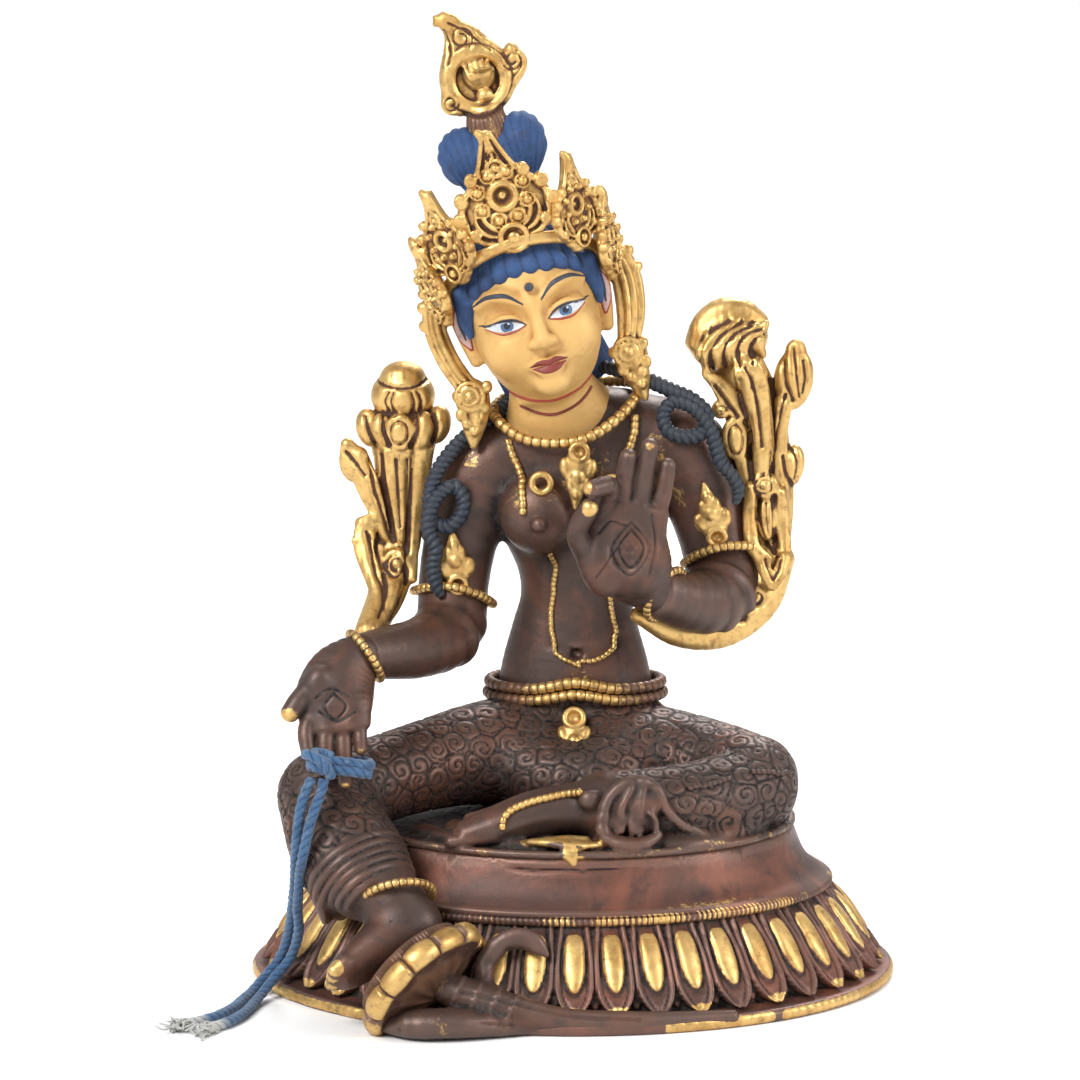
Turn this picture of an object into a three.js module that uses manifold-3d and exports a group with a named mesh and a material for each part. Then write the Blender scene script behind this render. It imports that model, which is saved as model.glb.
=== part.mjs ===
// A seated goddess on a lotus base: cast copper, gilded on the ornament and painted on face and hair.
// Millimetres, +Z up, +X to the viewer's right, the front towards -Y, origin at the middle of the underside.
import * as THREE from "three";
import { mergeVertices } from "three/addons/utils/BufferGeometryUtils.js";
import Module from "manifold-3d";

const wasm = await Module();
wasm.setup();

// The lotus base. Widths run along X, depths along Y.
const BASE_WIDTH = 142.8;
const BASE_DEPTH = 120;
const BASE_HEIGHT = 34; // up to the plane on which the figure sits
const RIM_THICKNESS = 2.8;
const RIM_BEVEL = 1.8;
const PETAL_FOOT_HEIGHT = 3.6; // where the petals' lower tips end
const PETAL_INSET = 5; // from the rim's edge back to the petals
const PETAL_BULGE = 1.2; // the slope under the petals swells by this much
const BEAD_RING_WIDTH = 113;
const BEAD_RING_DEPTH = 89.4;
const BEAD_RING_HEIGHT = 21.5;
const BEAD_RING_THICKNESS = 2;
const DRUM_WIDTH = 105;
const DRUM_DEPTH = 87;
const DRUM_BEVEL = 0.8;
const DRUM_TAPER = 3.4; // the drum is narrower at its top by this much all round
const PETAL_COUNT = 42; // if they ran all the way round
const PETALS_LEFT_OUT_BEHIND = 11; // the back of the base is plain
const PETAL_THICKNESS = 2;

// The figure.
const FIGURE_HEIGHT = 177.6; // from the seat to the finial's tip
const SEAT_THICKNESS = 1.8;
const SEAT_INSET = 0.6; // from the drum's edge to the seat plate's
const CLEARANCE = 0.3; // between pieces that are made apart
const HEAD_ROLL = -15.5; // degrees, the top towards the viewer's left
const HEAD_YAW = 3;

// The small lotus under the lowered foot, cast with the base.
const FOOT_LOTUS_RADIUS = 15.8;
const FOOT_LOTUS_DEPTH = 8.5;
const FOOT_LOTUS_PETALS = 12;
const STAMEN_HEIGHT = 2.4;
const STAMEN_INSET = 3.2;

const CORD_DIAMETER = 2.2;

const PAINT = {
  copper: { color: 0x4a352d, roughness: 0.5, metalness: 0.75 },
  gilt: { color: 0xc8963c, roughness: 0.4, metalness: 0.9 },
  cotton: { color: 0x3d6ea3, roughness: 0.95, metalness: 0 },
};

const vector = (p) => new THREE.Vector3(...p);
const radians = THREE.MathUtils.degToRad;
const FULL_TURN = 2 * Math.PI;
const SIDES = [-1, 1];

const WORLD = new THREE.Matrix4();
const UNIT = FIGURE_HEIGHT / 177.6; // the pose and the carving below are drawn at this height
const FIGURE = new THREE.Matrix4()
  .makeTranslation(0, 0, BASE_HEIGHT)
  .scale(new THREE.Vector3(UNIT, UNIT, UNIT));
const HEAD = FIGURE.clone()
  .multiply(new THREE.Matrix4().makeTranslation(-8.4, 4, 111.7))
  .multiply(new THREE.Matrix4().makeRotationY(radians(HEAD_ROLL)))
  .multiply(new THREE.Matrix4().makeRotationZ(radians(HEAD_YAW)));

// A closed three.js geometry as a solid, its faces turned outwards.
function solid(geometry, frame = WORLD) {
  geometry.deleteAttribute("normal");
  geometry.deleteAttribute("uv");
  geometry.applyMatrix4(frame);
  const merged = mergeVertices(geometry, 1e-4);
  const vertProperties = merged.attributes.position.array;
  const triVerts = new Uint32Array(merged.index.array);
  const corner = (i) => new THREE.Vector3().fromArray(vertProperties, 3 * triVerts[i]);
  let volume = 0;
  for (let i = 0; i < triVerts.length; i += 3)
    volume += corner(i).dot(corner(i + 1).cross(corner(i + 2)));
  if (volume < 0)
    for (let i = 0; i < triVerts.length; i += 3)
      [triVerts[i + 1], triVerts[i + 2]] = [triVerts[i + 2], triVerts[i + 1]];
  return new wasm.Manifold(new wasm.Mesh({ numProp: 3, vertProperties, triVerts }));
}

const join = (solids) => solids.reduce((whole, one) => whole.add(one));

// A closed skin: place(turn, row) gives its points, turn once round, the first and last row one point each.
function skin(frame, columns, rows, place) {
  const geometry = new THREE.SphereGeometry(1, columns, rows);
  const position = geometry.getAttribute("position");
  for (let row = 0, i = 0; row <= rows; row++)
    for (let column = 0; column <= columns; column++, i++)
      position.setXYZ(i, ...place((column % columns) / columns, row).toArray());
  return solid(geometry, frame);
}

// An upright body of oval rings, given from one end to the other as half width, half depth and height.
function turned(frame, columns, outline, scallop = () => 1) {
  return skin(frame, columns, outline.length - 1, (turn, row) => {
    const [width, depth, height] = outline[row];
    const angle = turn * FULL_TURN;
    const reach = scallop(angle, height);
    return new THREE.Vector3(width * Math.cos(angle) * reach, depth * Math.sin(angle) * reach, height);
  });
}

// A limb: oval rings on a smooth spine, closed by a dome at each end.
// A station is x, y, z, half width and half height; the width lies square to the direction up.
function limb(frame, stations, { sides = 8, steps = 5, up = [0, 0, 1], domes = [0, 0.8], caps = [1, 2] } = {}) {
  const spine = new THREE.CatmullRomCurve3(stations.map((s) => vector(s.slice(0, 3))));
  const girth = new THREE.CatmullRomCurve3(stations.map((s) => new THREE.Vector3(s[3], s[4], 0)));
  const ring = (along, past, dome) => {
    const tangent = spine.getTangent(along);
    const across = vector(up).cross(tangent).normalize();
    const size = girth.getPoint(along);
    const lift = Math.sin((past * Math.PI) / 2) * Math.min(size.x, size.y) * dome;
    const scale = Math.abs(past) === 1 ? 0 : Math.cos((past * Math.PI) / 2);
    return {
      centre: spine.getPoint(along).addScaledVector(tangent, lift),
      across: across.clone().multiplyScalar(size.x * scale),
      over: tangent.clone().cross(across).multiplyScalar(size.y * scale),
    };
  };
  const count = (n) => Array.from({ length: n }, (_, i) => i);
  const rings = [
    ...count(caps[0]).map((i) => ring(0, i / caps[0] - 1, domes[0])),
    ...count(steps + 1).map((i) => ring(i / steps, 0, 0)),
    ...count(caps[1]).map((i) => ring(1, (i + 1) / caps[1], domes[1])),
  ];
  return skin(frame, sides, rings.length - 1, (turn, row) =>
    rings[row].centre
      .clone()
      .addScaledVector(rings[row].across, Math.cos(turn * FULL_TURN))
      .addScaledVector(rings[row].over, Math.sin(turn * FULL_TURN)),
  );
}

// A rounded lump, turned by degrees about X, Y and Z.
function ball(frame, centre, radii, { sides = 8, rows = 5, turn = [0, 0, 0] } = {}) {
  const geometry = new THREE.SphereGeometry(1, sides, rows).rotateX(Math.PI / 2).scale(...radii);
  geometry.applyMatrix4(new THREE.Matrix4().makeRotationFromEuler(new THREE.Euler(...turn.map(radians))));
  return solid(geometry.translate(...centre), frame);
}

// A closed ring of round wire through points.
function hoop(frame, points, radius, { sides = 4, steps = 16 } = {}) {
  const loop = new THREE.CatmullRomCurve3(points.map(vector), true);
  const { normals, binormals } = loop.computeFrenetFrames(steps, true);
  const geometry = new THREE.TorusGeometry(1, 0.4, sides, steps);
  const position = geometry.getAttribute("position");
  for (let side = 0, i = 0; side <= sides; side++)
    for (let step = 0; step <= steps; step++, i++) {
      const angle = ((side % sides) / sides) * FULL_TURN;
      const point = loop
        .getPointAt((step % steps) / steps)
        .addScaledVector(normals[step % steps], radius * Math.cos(angle))
        .addScaledVector(binormals[step % steps], radius * Math.sin(angle));
      position.setXYZ(i, ...point.toArray());
    }
  return solid(geometry, frame);
}

// An open length of wire through points.
const wire = (frame, points, radius, options = {}) =>
  limb(
    frame,
    points.map((p) => [...p, radius, radius]),
    { sides: 5, steps: 2 * (points.length - 1), caps: [1, 1], up: [0.1, 1, 0.1], ...options },
  );

// THE BASE

const petalFoot = [BASE_WIDTH / 2 - PETAL_INSET, BASE_DEPTH / 2 - PETAL_INSET, PETAL_FOOT_HEIGHT];
const petalHead = [BEAD_RING_WIDTH / 2, BEAD_RING_DEPTH / 2, BEAD_RING_HEIGHT - BEAD_RING_THICKNESS / 2];

// The slope that carries the petals, from their foot to their head: half width, half depth and height.
function petalSlope(share) {
  const bulge = Math.sin(share * Math.PI) * PETAL_BULGE;
  const [width, depth, height] = petalFoot.map((foot, i) => THREE.MathUtils.lerp(foot, petalHead[i], share));
  return [width + bulge, depth + bulge, height];
}

// The base's outline from the underside up, grown outwards by a clearance where one is asked for.
function baseOutline(grow = 0) {
  const oval = (width, depth) => (inset, height) => [width / 2 - inset + grow, depth / 2 - inset + grow, height];
  const rim = oval(BASE_WIDTH, BASE_DEPTH);
  const bead = oval(BEAD_RING_WIDTH, BEAD_RING_DEPTH);
  const drum = oval(DRUM_WIDTH, DRUM_DEPTH);
  const beadTop = BEAD_RING_HEIGHT + BEAD_RING_THICKNESS / 2;
  return [
    [0, 0, 0],
    rim(RIM_BEVEL, 0),
    rim(0, RIM_THICKNESS * 0.4),
    rim(0, RIM_THICKNESS * 0.8),
    rim(RIM_BEVEL, RIM_THICKNESS),
    ...[0, 0.5, 1].map(petalSlope),
    bead(-BEAD_RING_THICKNESS / 4, BEAD_RING_HEIGHT),
    bead(0, beadTop),
    drum(0, beadTop + DRUM_BEVEL),
    drum(DRUM_TAPER, BASE_HEIGHT),
    [0, 0, BASE_HEIGHT],
  ];
}

const BASE_SIDES = 32;
const baseBody = (grow) => turned(WORLD, BASE_SIDES, baseOutline(grow));

// The ring of petals: each rises to a ridge above its middle and is pointed at its lower tip.
const PETAL_RELIEF = [
  { share: 0.02, ridge: 0.35, valley: -1.2 },
  { share: 0.5, ridge: PETAL_THICKNESS, valley: -0.1 },
  { share: 0.94, ridge: PETAL_THICKNESS * 0.6, valley: -0.6 },
];

function petals() {
  const columns = 2 * PETAL_COUNT;
  return skin(WORLD, columns, PETAL_RELIEF.length + 1, (turn, row) => {
    const { share, ridge, valley } = PETAL_RELIEF[row - 1] ?? { share: row ? 0.8 : 0.2 };
    const [halfWidth, halfDepth, z] = petalSlope(share);
    if (ridge === undefined) return new THREE.Vector3(0, 0, z);
    const column = Math.round(turn * columns);
    const fromBack = Math.min(column, columns - column) / 2;
    const raised = column % 2 === 0 && fromBack > PETALS_LEFT_OUT_BEHIND / 2;
    const grow = raised ? ridge : valley - (fromBack > PETALS_LEFT_OUT_BEHIND / 2 ? 0 : 2);
    const walk = new THREE.EllipseCurve(0, 0, halfWidth + grow, halfDepth + grow, Math.PI / 2, Math.PI / 2 + FULL_TURN);
    const { x, y } = walk.getPointAt(turn);
    return new THREE.Vector3(x, y, z);
  });
}

// The small lotus stands on the sole of the lowered foot: its top faces along this normal.
const LOTUS_NORMAL = vector([-0.65, 0.49, 0.58]).normalize();
const SOLE = vector([-35.5, -51, -20.6]).applyMatrix4(FIGURE);
const lotusFrame = new THREE.Matrix4().compose(
  SOLE.clone().addScaledVector(LOTUS_NORMAL, -STAMEN_HEIGHT - CLEARANCE),
  new THREE.Quaternion().setFromUnitVectors(new THREE.Vector3(0, 0, 1), LOTUS_NORMAL),
  new THREE.Vector3(1, 1, 1),
);

// A scalloped cup of petals with the drum of stamens on top.
function footLotus() {
  const ring = (radius, height) => [radius, radius, height];
  const outline = [
    ring(0, STAMEN_HEIGHT),
    ring(FOOT_LOTUS_RADIUS - STAMEN_INSET, STAMEN_HEIGHT),
    ring(FOOT_LOTUS_RADIUS - STAMEN_INSET, 0.2),
    ring(FOOT_LOTUS_RADIUS, -0.4),
    ring(FOOT_LOTUS_RADIUS + 0.4, -3),
    ring(FOOT_LOTUS_RADIUS - 3, -4.6),
    ring(FOOT_LOTUS_RADIUS * 0.4, -FOOT_LOTUS_DEPTH * 0.8),
    ring(0, -FOOT_LOTUS_DEPTH),
  ];
  const scallop = (angle, height) =>
    height < 0 ? 0.94 + 0.06 * Math.cos(angle * FOOT_LOTUS_PETALS) : 1;
  return turned(lotusFrame, 2 * FOOT_LOTUS_PETALS, outline, scallop);
}

// The stem that carries the small lotus and runs on along the front of the base, with its leaves.
// Its places are taken from the lotus and from the front of the base's rim.
function footLotusStem() {
  const front = (x, y, z, width, height) => [x, y - BASE_DEPTH / 2, z, width, height];
  const branch = (stations) =>
    limb(WORLD, stations, { sides: 6, steps: stations.length - 1, up: [0.1, 1, 0.05], caps: [1, 1] });
  return [
    branch([
      [SOLE.x + 6.5, SOLE.y - 4.4, SOLE.z - 3.4, 4.2, 4.2],
      front(-21, 3.4, 7.4, 4, 4),
      front(-13.5, 2.4, 5.4, 3.8, 3.6),
      front(-4, 2.6, 3.6, 3, 2.8),
      front(12, 3.2, 2.6, 2.6, 2.3),
      front(34, 8.6, 2.4, 1.8, 2),
    ]),
    branch([
      front(-39, 0, 3, 2.4, 2.4),
      front(-32, -3, 3.4, 4.4, 3.4),
      front(-22, -1.4, 3.2, 3.8, 3.2),
      front(-12, 1.4, 2.4, 2.2, 2.4),
    ]),
    branch([
      front(-14.6, 3.4, 5, 2.8, 2.4),
      front(-19, 6.8, 10.6, 2.2, 2.2),
      front(-18, 10, 16, 2.4, 2),
      front(-13.4, 11.2, 19, 2.6, 1.9),
      front(-8, 10.6, 17.4, 1.6, 1.5),
    ]),
  ];
}

const belowGround = solid(
  new THREE.BoxGeometry(4 * BASE_WIDTH, 4 * BASE_DEPTH, BASE_HEIGHT).translate(0, 0, -BASE_HEIGHT / 2),
);
const base = join([baseBody(), petals(), footLotus(), ...footLotusStem()]).subtract(belowGround);

// THE FIGURE

const UPRIGHT = { up: [0, 1, 0] };

const torso = limb(
  FIGURE,
  [
    [0.8, 14, 3, 20, 16],
    [0.6, 14, 20, 19, 13],
    [0.5, 14, 32, 16.6, 11],
    [0.5, 13.8, 40, 14.2, 9.8],
    [0.7, 13.5, 48, 12.3, 9],
    [1.1, 13, 56, 13.6, 9.6],
    [1.3, 12.5, 65, 17.4, 11.2],
    [1.2, 12.2, 76, 20, 11],
    [0.8, 12.2, 85, 18.6, 9.6],
    [-0.6, 12, 91, 12, 8],
  ],
  { sides: 12, steps: 7, up: [0, 1, 0], domes: [0, 0.4], caps: [1, 1] },
);
const breasts = [
  ball(FIGURE, [-7.4, 3.6, 68.6], [9, 8.2, 9.2], { sides: 10, rows: 6 }),
  ball(FIGURE, [10, 3.8, 69.4], [8.8, 8, 9.2], { sides: 8, rows: 5 }),
];
const neck = limb(
  FIGURE,
  [
    [-6.6, 6, 104, 7.8, 7.6],
    [-5.4, 6.8, 97, 8.8, 8.2],
    [-3.6, 8.6, 91.6, 11.6, 9],
    [-2, 10.4, 86, 16.6, 10],
  ],
  { sides: 8, steps: 3, caps: [1, 1], ...UPRIGHT },
);

// The arm lowered over the knee, and the arm bent up in front of the chest.
const ARM = { sides: 8, steps: 7, up: [0, 1, 0.2], caps: [1, 1] };
const loweredArm = limb(
  FIGURE,
  [
    [-9, 12.4, 82, 8, 8.4],
    [-18, 12, 78, 9.4, 9.4],
    [-23.6, 11.4, 66, 8.4, 8.8],
    [-26.4, 9, 52.4, 7.8, 8.2],
    [-27.4, 3, 42.8, 7.6, 7.8],
    [-33.4, -7, 40.4, 6.7, 6.6],
    [-40.6, -16, 40.8, 5.8, 5.8],
    [-46, -22, 41.2, 4.9, 4.8],
  ],
  ARM,
);
const raisedArm = limb(
  FIGURE,
  [
    [13, 12.4, 86, 8, 8.6],
    [23.6, 12, 82, 9.6, 9.6],
    [29.8, 11.4, 69, 8.8, 9],
    [33, 8.4, 56, 8.2, 8.4],
    [31.6, 0.6, 50, 7.6, 7.4],
    [25.4, -6.6, 50.4, 6.6, 6.4],
    [18.4, -13, 53.4, 5.4, 5],
  ],
  ARM,
);

// A finger through points, thinning a little to its tip.
function finger(points, radius) {
  const stations = points.map((p, i) => [...p, radius * (1.1 - 0.1 * i), radius * (1.1 - 0.1 * i)]);
  return limb(FIGURE, stations, { sides: 5, steps: 2, up: [0.1, 1, 0.1], caps: [1, 1] });
}
const PALM = { sides: 8, steps: 3, up: [0, 1, 0], caps: [1, 1] };
const loweredHand = [
  limb(
    FIGURE,
    [
      [-45.4, -22, 41.4, 4.8, 4.4],
      [-49.8, -27, 38, 7.6, 4.2],
      [-51.6, -30.6, 33.4, 8.6, 3.8],
      [-51, -33.4, 27.6, 7.2, 3],
    ],
    PALM,
  ),
  finger([[-56.8, -32.4, 30], [-57.8, -35.4, 27], [-57.4, -36.6, 23.6]], 1.8),
  finger([[-53.4, -33.8, 28], [-53.2, -36.2, 23], [-52.6, -37, 19.2]], 2),
  finger([[-49.6, -33.6, 28], [-49.3, -36, 22], [-48.9, -36.8, 16.4]], 1.8),
  finger([[-46.2, -32.6, 29.4], [-45.9, -34.8, 26.4], [-45.7, -35.6, 23.8]], 1.6),
  finger([[-54.4, -29.6, 36.4], [-58.2, -32.4, 34.4], [-60.8, -34.2, 31]], 2.5),
];
const raisedHand = [
  limb(
    FIGURE,
    [
      [18.2, -13, 53.6, 4.8, 4.4],
      [13.6, -15.6, 58.8, 8.4, 5],
      [10.6, -17.2, 66, 9.6, 4.2],
      [12, -18.2, 73.6, 8.8, 3.2],
    ],
    PALM,
  ),
  finger([[9.8, -18.6, 73], [11, -19.4, 79.6], [11.8, -19.6, 84.6]], 2.2),
  finger([[14, -18.4, 74], [15.4, -19, 81], [16.4, -19, 86.6]], 2.2),
  finger([[18, -17.8, 72], [19.6, -18, 78], [20.3, -17.8, 82.2]], 2.1),
  finger([[6.6, -18.2, 73.4], [8, -23, 79.6], [4.4, -25.6, 78.6]], 2.3),
  finger([[3.4, -18.2, 61.4], [1, -22, 68.6], [3.6, -25, 74.6]], 2.4),
];

// The legs: one let down in front of the base, the other folded flat on the seat.
const LEG = { sides: 8, steps: 4, caps: [1, 1] };
const loweredLeg = [
  limb(
    FIGURE,
    [
      [-8, 10, 13.6, 12, 12.6],
      [-18, 5, 14.4, 11.8, 11.6],
      [-31, -4, 13.6, 10.2, 10],
      [-43, -14, 12, 9.6, 9.4],
      [-54.2, -24, 10, 10, 9.8],
    ],
    { ...LEG, caps: [1, 2] },
  ),
  limb(
    FIGURE,
    [
      [-54.2, -22.6, 11, 9.8, 9.8],
      [-51.4, -30, 4.4, 11.2, 10.6],
      [-47.6, -36, -0.8, 12.2, 10],
      [-43.6, -40.4, -5, 10.6, 8.4],
    ],
    LEG,
  ),
  limb(FIGURE, [[-45, -40, -4.5, 8.2, 7.8], [-38.6, -43.8, -8.6, 7.4, 7], [-35, -45.6, -13, 6.6, 6.2]], {
    ...LEG,
    steps: 2,
  }),
];
const loweredFoot = [
  limb(
    FIGURE,
    [
      [-33.6, -46, -12.6, 5.4, 5.6],
      [-39.5, -48.6, -15.4, 6, 5.6],
      [-45, -51.3, -19, 6, 4.6],
      [-49.4, -53.6, -22, 5.8, 3.4],
    ],
    { ...LEG, steps: 3, up: LOTUS_NORMAL.toArray() },
  ),
  ...[-2, -1, 0, 1, 2].map((place) => {
    const start = [-48.6, -52.8 - 1.9 * place, -21.8 + 1.55 * place];
    const reach = 4.6 - 0.5 * Math.abs(place + 1);
    const tip = [start[0] - 0.76 * reach, start[1] - 0.4 * reach, start[2] - 0.51 * reach];
    return limb(FIGURE, [[...start, 1.9, 1.9], [...tip, 1.6, 1.5]], { sides: 5, steps: 1, caps: [1, 1], ...UPRIGHT });
  }),
];
const foldedLeg = [
  limb(
    FIGURE,
    [
      [8, 10, 13.2, 12, 12],
      [18, 6, 13.2, 12, 11.2],
      [30, 0, 12, 11.4, 10.4],
      [39.4, -8, 10.2, 11.2, 10.4],
    ],
    { ...LEG, caps: [1, 2] },
  ),
  limb(
    FIGURE,
    [
      [39.6, -9, 9.6, 10.4, 9.8],
      [29, -18, 8.4, 9.8, 8.8],
      [16, -23.4, 8.2, 9.2, 8.2],
      [5, -25.6, 8.6, 8.2, 7.8],
      [-3, -27, 8.6, 6, 5.8],
    ],
    LEG,
  ),
  limb(
    FIGURE,
    [
      [-2, -27, 8.4, 5.6, 5.6],
      [-9, -28.4, 7.6, 5, 5.2],
      [-16, -30, 5.8, 5.2, 4.4],
      [-24.6, -31.6, 3.6, 3, 2.4],
    ],
    { ...LEG, steps: 3 },
  ),
];

// The skirt: its lap between the thighs, its hem behind the lowered calf, and the folds on the seat.
const FOLD = { sides: 6, steps: 3, caps: [1, 1] };
const skirt = [
  limb(FIGURE, [[-12, 4, 14.4, 12, 9], [0.5, -3, 10.6, 12, 9], [12, 4, 14.4, 12, 9]], { ...FOLD, sides: 8 }),
  limb(
    FIGURE,
    [
      [-55, -20, 8, 5, 8],
      [-56, -26, 0, 4.4, 8],
      [-54, -32, -7, 3.6, 6.6],
      [-51, -37, -12, 2, 3.4],
    ],
    { ...FOLD, up: [0, 1, 0.2] },
  ),
  limb(FIGURE, [[-14, -22, 2, 8, 2.6], [4, -30, 2.6, 7, 3], [22, -28, 3, 7, 3], [35, -20, 2.4, 6, 2.6]], FOLD),
  wire(FIGURE, [[19, -31.4, 13.4], [12, -33.6, 15], [8.4, -35, 10.4], [9.4, -36, 5], [16, -36, 3.2]], 1.6, {
    sides: 4,
    steps: 4,
  }),
  limb(FIGURE, [[-9, -35.6, 2.6, 4, 1.2], [-1, -38, 2.6, 4.4, 1.5], [5, -37, 3, 2.4, 1]], { ...FOLD, steps: 2 }),
];

// The plate under the figure, cut to the top of the drum that it sits on.
const seat = (inset, lift) => [
  DRUM_WIDTH / 2 - DRUM_TAPER - inset,
  DRUM_DEPTH / 2 - DRUM_TAPER - inset,
  BASE_HEIGHT + SEAT_THICKNESS * lift,
];
const seatPlate = turned(WORLD, BASE_SIDES, [
  [0, 0, BASE_HEIGHT],
  seat(0, 0),
  seat(SEAT_INSET, 1),
  [0, 0, BASE_HEIGHT + SEAT_THICKNESS],
]);

// A flat-ended band round a limb: where its middle is, the way that the limb runs there, and its radius.
function cuff([x, y, z], axis, radius, width) {
  const end = (side) => [x, y, z].map((v, i) => v + (side * width * axis[i]) / 2).concat(radius, radius);
  return limb(FIGURE, [end(-1), end(1)], { sides: 8, steps: 1, caps: [1, 1], domes: [0, 0], up: [0.3, 1, 0.2] });
}
const bands = [
  cuff([-26.2, 7.6, 50.2], [0.16, 0.22, 0.96], 9, 2),
  cuff([-45.2, -22, 41.2], [0.8, 0.3, 0.5], 6, 1.8),
  cuff([33, 7.7, 60.2], [-0.17, 0.21, 0.96], 9, 2),
  cuff([20, -12, 53], [0.75, -0.5, -0.42], 6.4, 1.8),
  cuff([-37.8, -45.2, -7], [-0.17, 0.6, 0.79], 8, 1.8),
];

// Jewellery on the body.
const waist = FIGURE.clone().multiply(new THREE.Matrix4().makeTranslation(0.6, 14, 0));
const pendant = (stations) => limb(FIGURE, stations, { sides: 6, steps: 2, caps: [1, 1], ...UPRIGHT });
const LINK = { sides: 3, steps: 2 };
const bodyJewels = [
  turned(waist, 12, [
    [0, 0, 25.2],
    [19.4, 13.4, 26.6],
    [18, 12.2, 28.1],
    [18.8, 13, 29.6],
    [0, 0, 31],
  ]),
  pendant([[0.4, 1.4, 24, 2.6, 1.6], [0.4, -1.6, 19, 2, 1.6], [0.4, -3.6, 14.4, 0.8, 0.8]]),
  hoop(
    FIGURE,
    [
      [-3, -1.6, 84.8],
      [-11.5, 0.4, 85.6],
      [-18, 6, 89],
      [-14.6, 15, 92],
      [-2, 19.5, 94],
      [10, 16.6, 96],
      [15, 8, 95.6],
      [9.6, 1, 89.6],
      [3.4, -1, 86],
    ],
    1.7,
    { steps: 14 },
  ),
  pendant([[0.6, 1.4, 84, 2.6, 1.8], [0.9, -1.4, 77, 2.9, 2], [1.2, -2.4, 71.4, 0.9, 1]]),
  wire(FIGURE, [[-15.5, 2, 83.8], [-12.4, 0, 78.6], [-8.8, -3.4, 71.4]], 1, LINK),
  wire(FIGURE, [[14.4, 2.8, 91.4], [12.6, 1, 83], [8.4, -2.6, 73.4]], 1, LINK),
  wire(FIGURE, [[-4.8, 4, 58], [-6.8, 4.6, 46], [-5, 4.4, 38.6], [0.6, 3.6, 36.6], [6.4, 4.2, 37.8], [11.4, 6.2, 40.2]], 1, {
    ...LINK,
    steps: 5,
  }),
];
const armJewel = (x, y, z) =>
  pendant([[x, y + 1.6, z + 6, 0.9, 1], [x, y + 0.8, z + 1.6, 2.4, 1.9], [x, y + 0.6, z - 4.6, 3.2, 2.2]]);

// A lock of hair that falls over a shoulder, twisting once into a loop.
const tress = (points, loop) => [
  wire(FIGURE, points, 2, { steps: 6, sides: 4 }),
  hoop(FIGURE, loop, 1.7, { steps: 6 }),
];
const tresses = [
  ...tress(
    [[-12, 13, 92], [-19.5, 10.4, 89], [-27, 6, 82.6], [-32, 4.2, 73], [-31.8, 3, 65], [-30.4, 1.6, 58], [-29.8, 1, 53.4]],
    [[-32, 3.4, 77], [-27.6, 2.4, 77.6], [-25.8, 2.4, 74], [-29, 2.2, 70], [-32.4, 3.2, 72]],
  ),
  ...tress(
    [[9, 12, 99], [18, 9, 97.6], [25, 6.6, 94], [31.6, 4, 89], [33.6, 2.8, 83.6], [36.4, 3.4, 77.6], [36.4, 3.4, 73]],
    [[28.6, 4, 93], [24, 3.4, 93], [22.6, 3.2, 89.6], [26.6, 2.8, 86.6], [31.6, 3, 88]],
  ),
];

// THE HEAD, in its own frame: +X to its side, -Y to its face, +Z to the crown of the skull.
const grown = (stations, grow) => stations.map(([x, y, z, a, b]) => [x, y, z, a + grow, b + grow]);
const skull = (grow) => limb(
  HEAD,
  grown([
    [0, 1.5, 22, 8, 8.5],
    [0, 1.2, 18, 12.6, 13.6],
    [0, 1, 11, 15, 16.8],
    [0, 0.6, 3.6, 15.4, 17.4],
    [0, -1, -3, 14.6, 16],
    [0, -3, -8.6, 12.2, 13.4],
    [0, -5.4, -13, 8.6, 10.4],
    [0, -7.4, -15.4, 5, 6.4],
  ], grow),
  { sides: 12, steps: 7, up: [0, 1, 0], domes: [0.6, 0.25], caps: [1, 1] },
);
const ear = (side, grow) =>
  limb(HEAD, grown([[side * 15, 4, 9, 1.4, 2.4], [side * 15.4, 3, 3, 1.6, 3], [side * 15, 2, -7.6, 1.2, 1.8]], grow), {
    steps: 2,
    sides: 6,
    caps: [1, 1],
    ...UPRIGHT,
  });
const FEATURE = { sides: 6, rows: 4 };
const face = [
  limb(HEAD, [[0, -15.8, 6, 1, 1], [0, -17, 1, 1.4, 1.6], [0, -17.4, -3.2, 2.8, 2.2]], {
    steps: 2,
    sides: 6,
    caps: [1, 1],
    ...UPRIGHT,
  }),
  ball(HEAD, [0, -14.4, -8.2], [3.8, 2.4, 1.9], FEATURE),
  ...SIDES.flatMap((side) => [
    ball(HEAD, [side * 6.8, -14.4, 2.4], [3.6, 1.9, 2], { ...FEATURE, turn: [0, -6 * side, 22 * side] }),
    ear(side, 0),
  ]),
];

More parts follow.
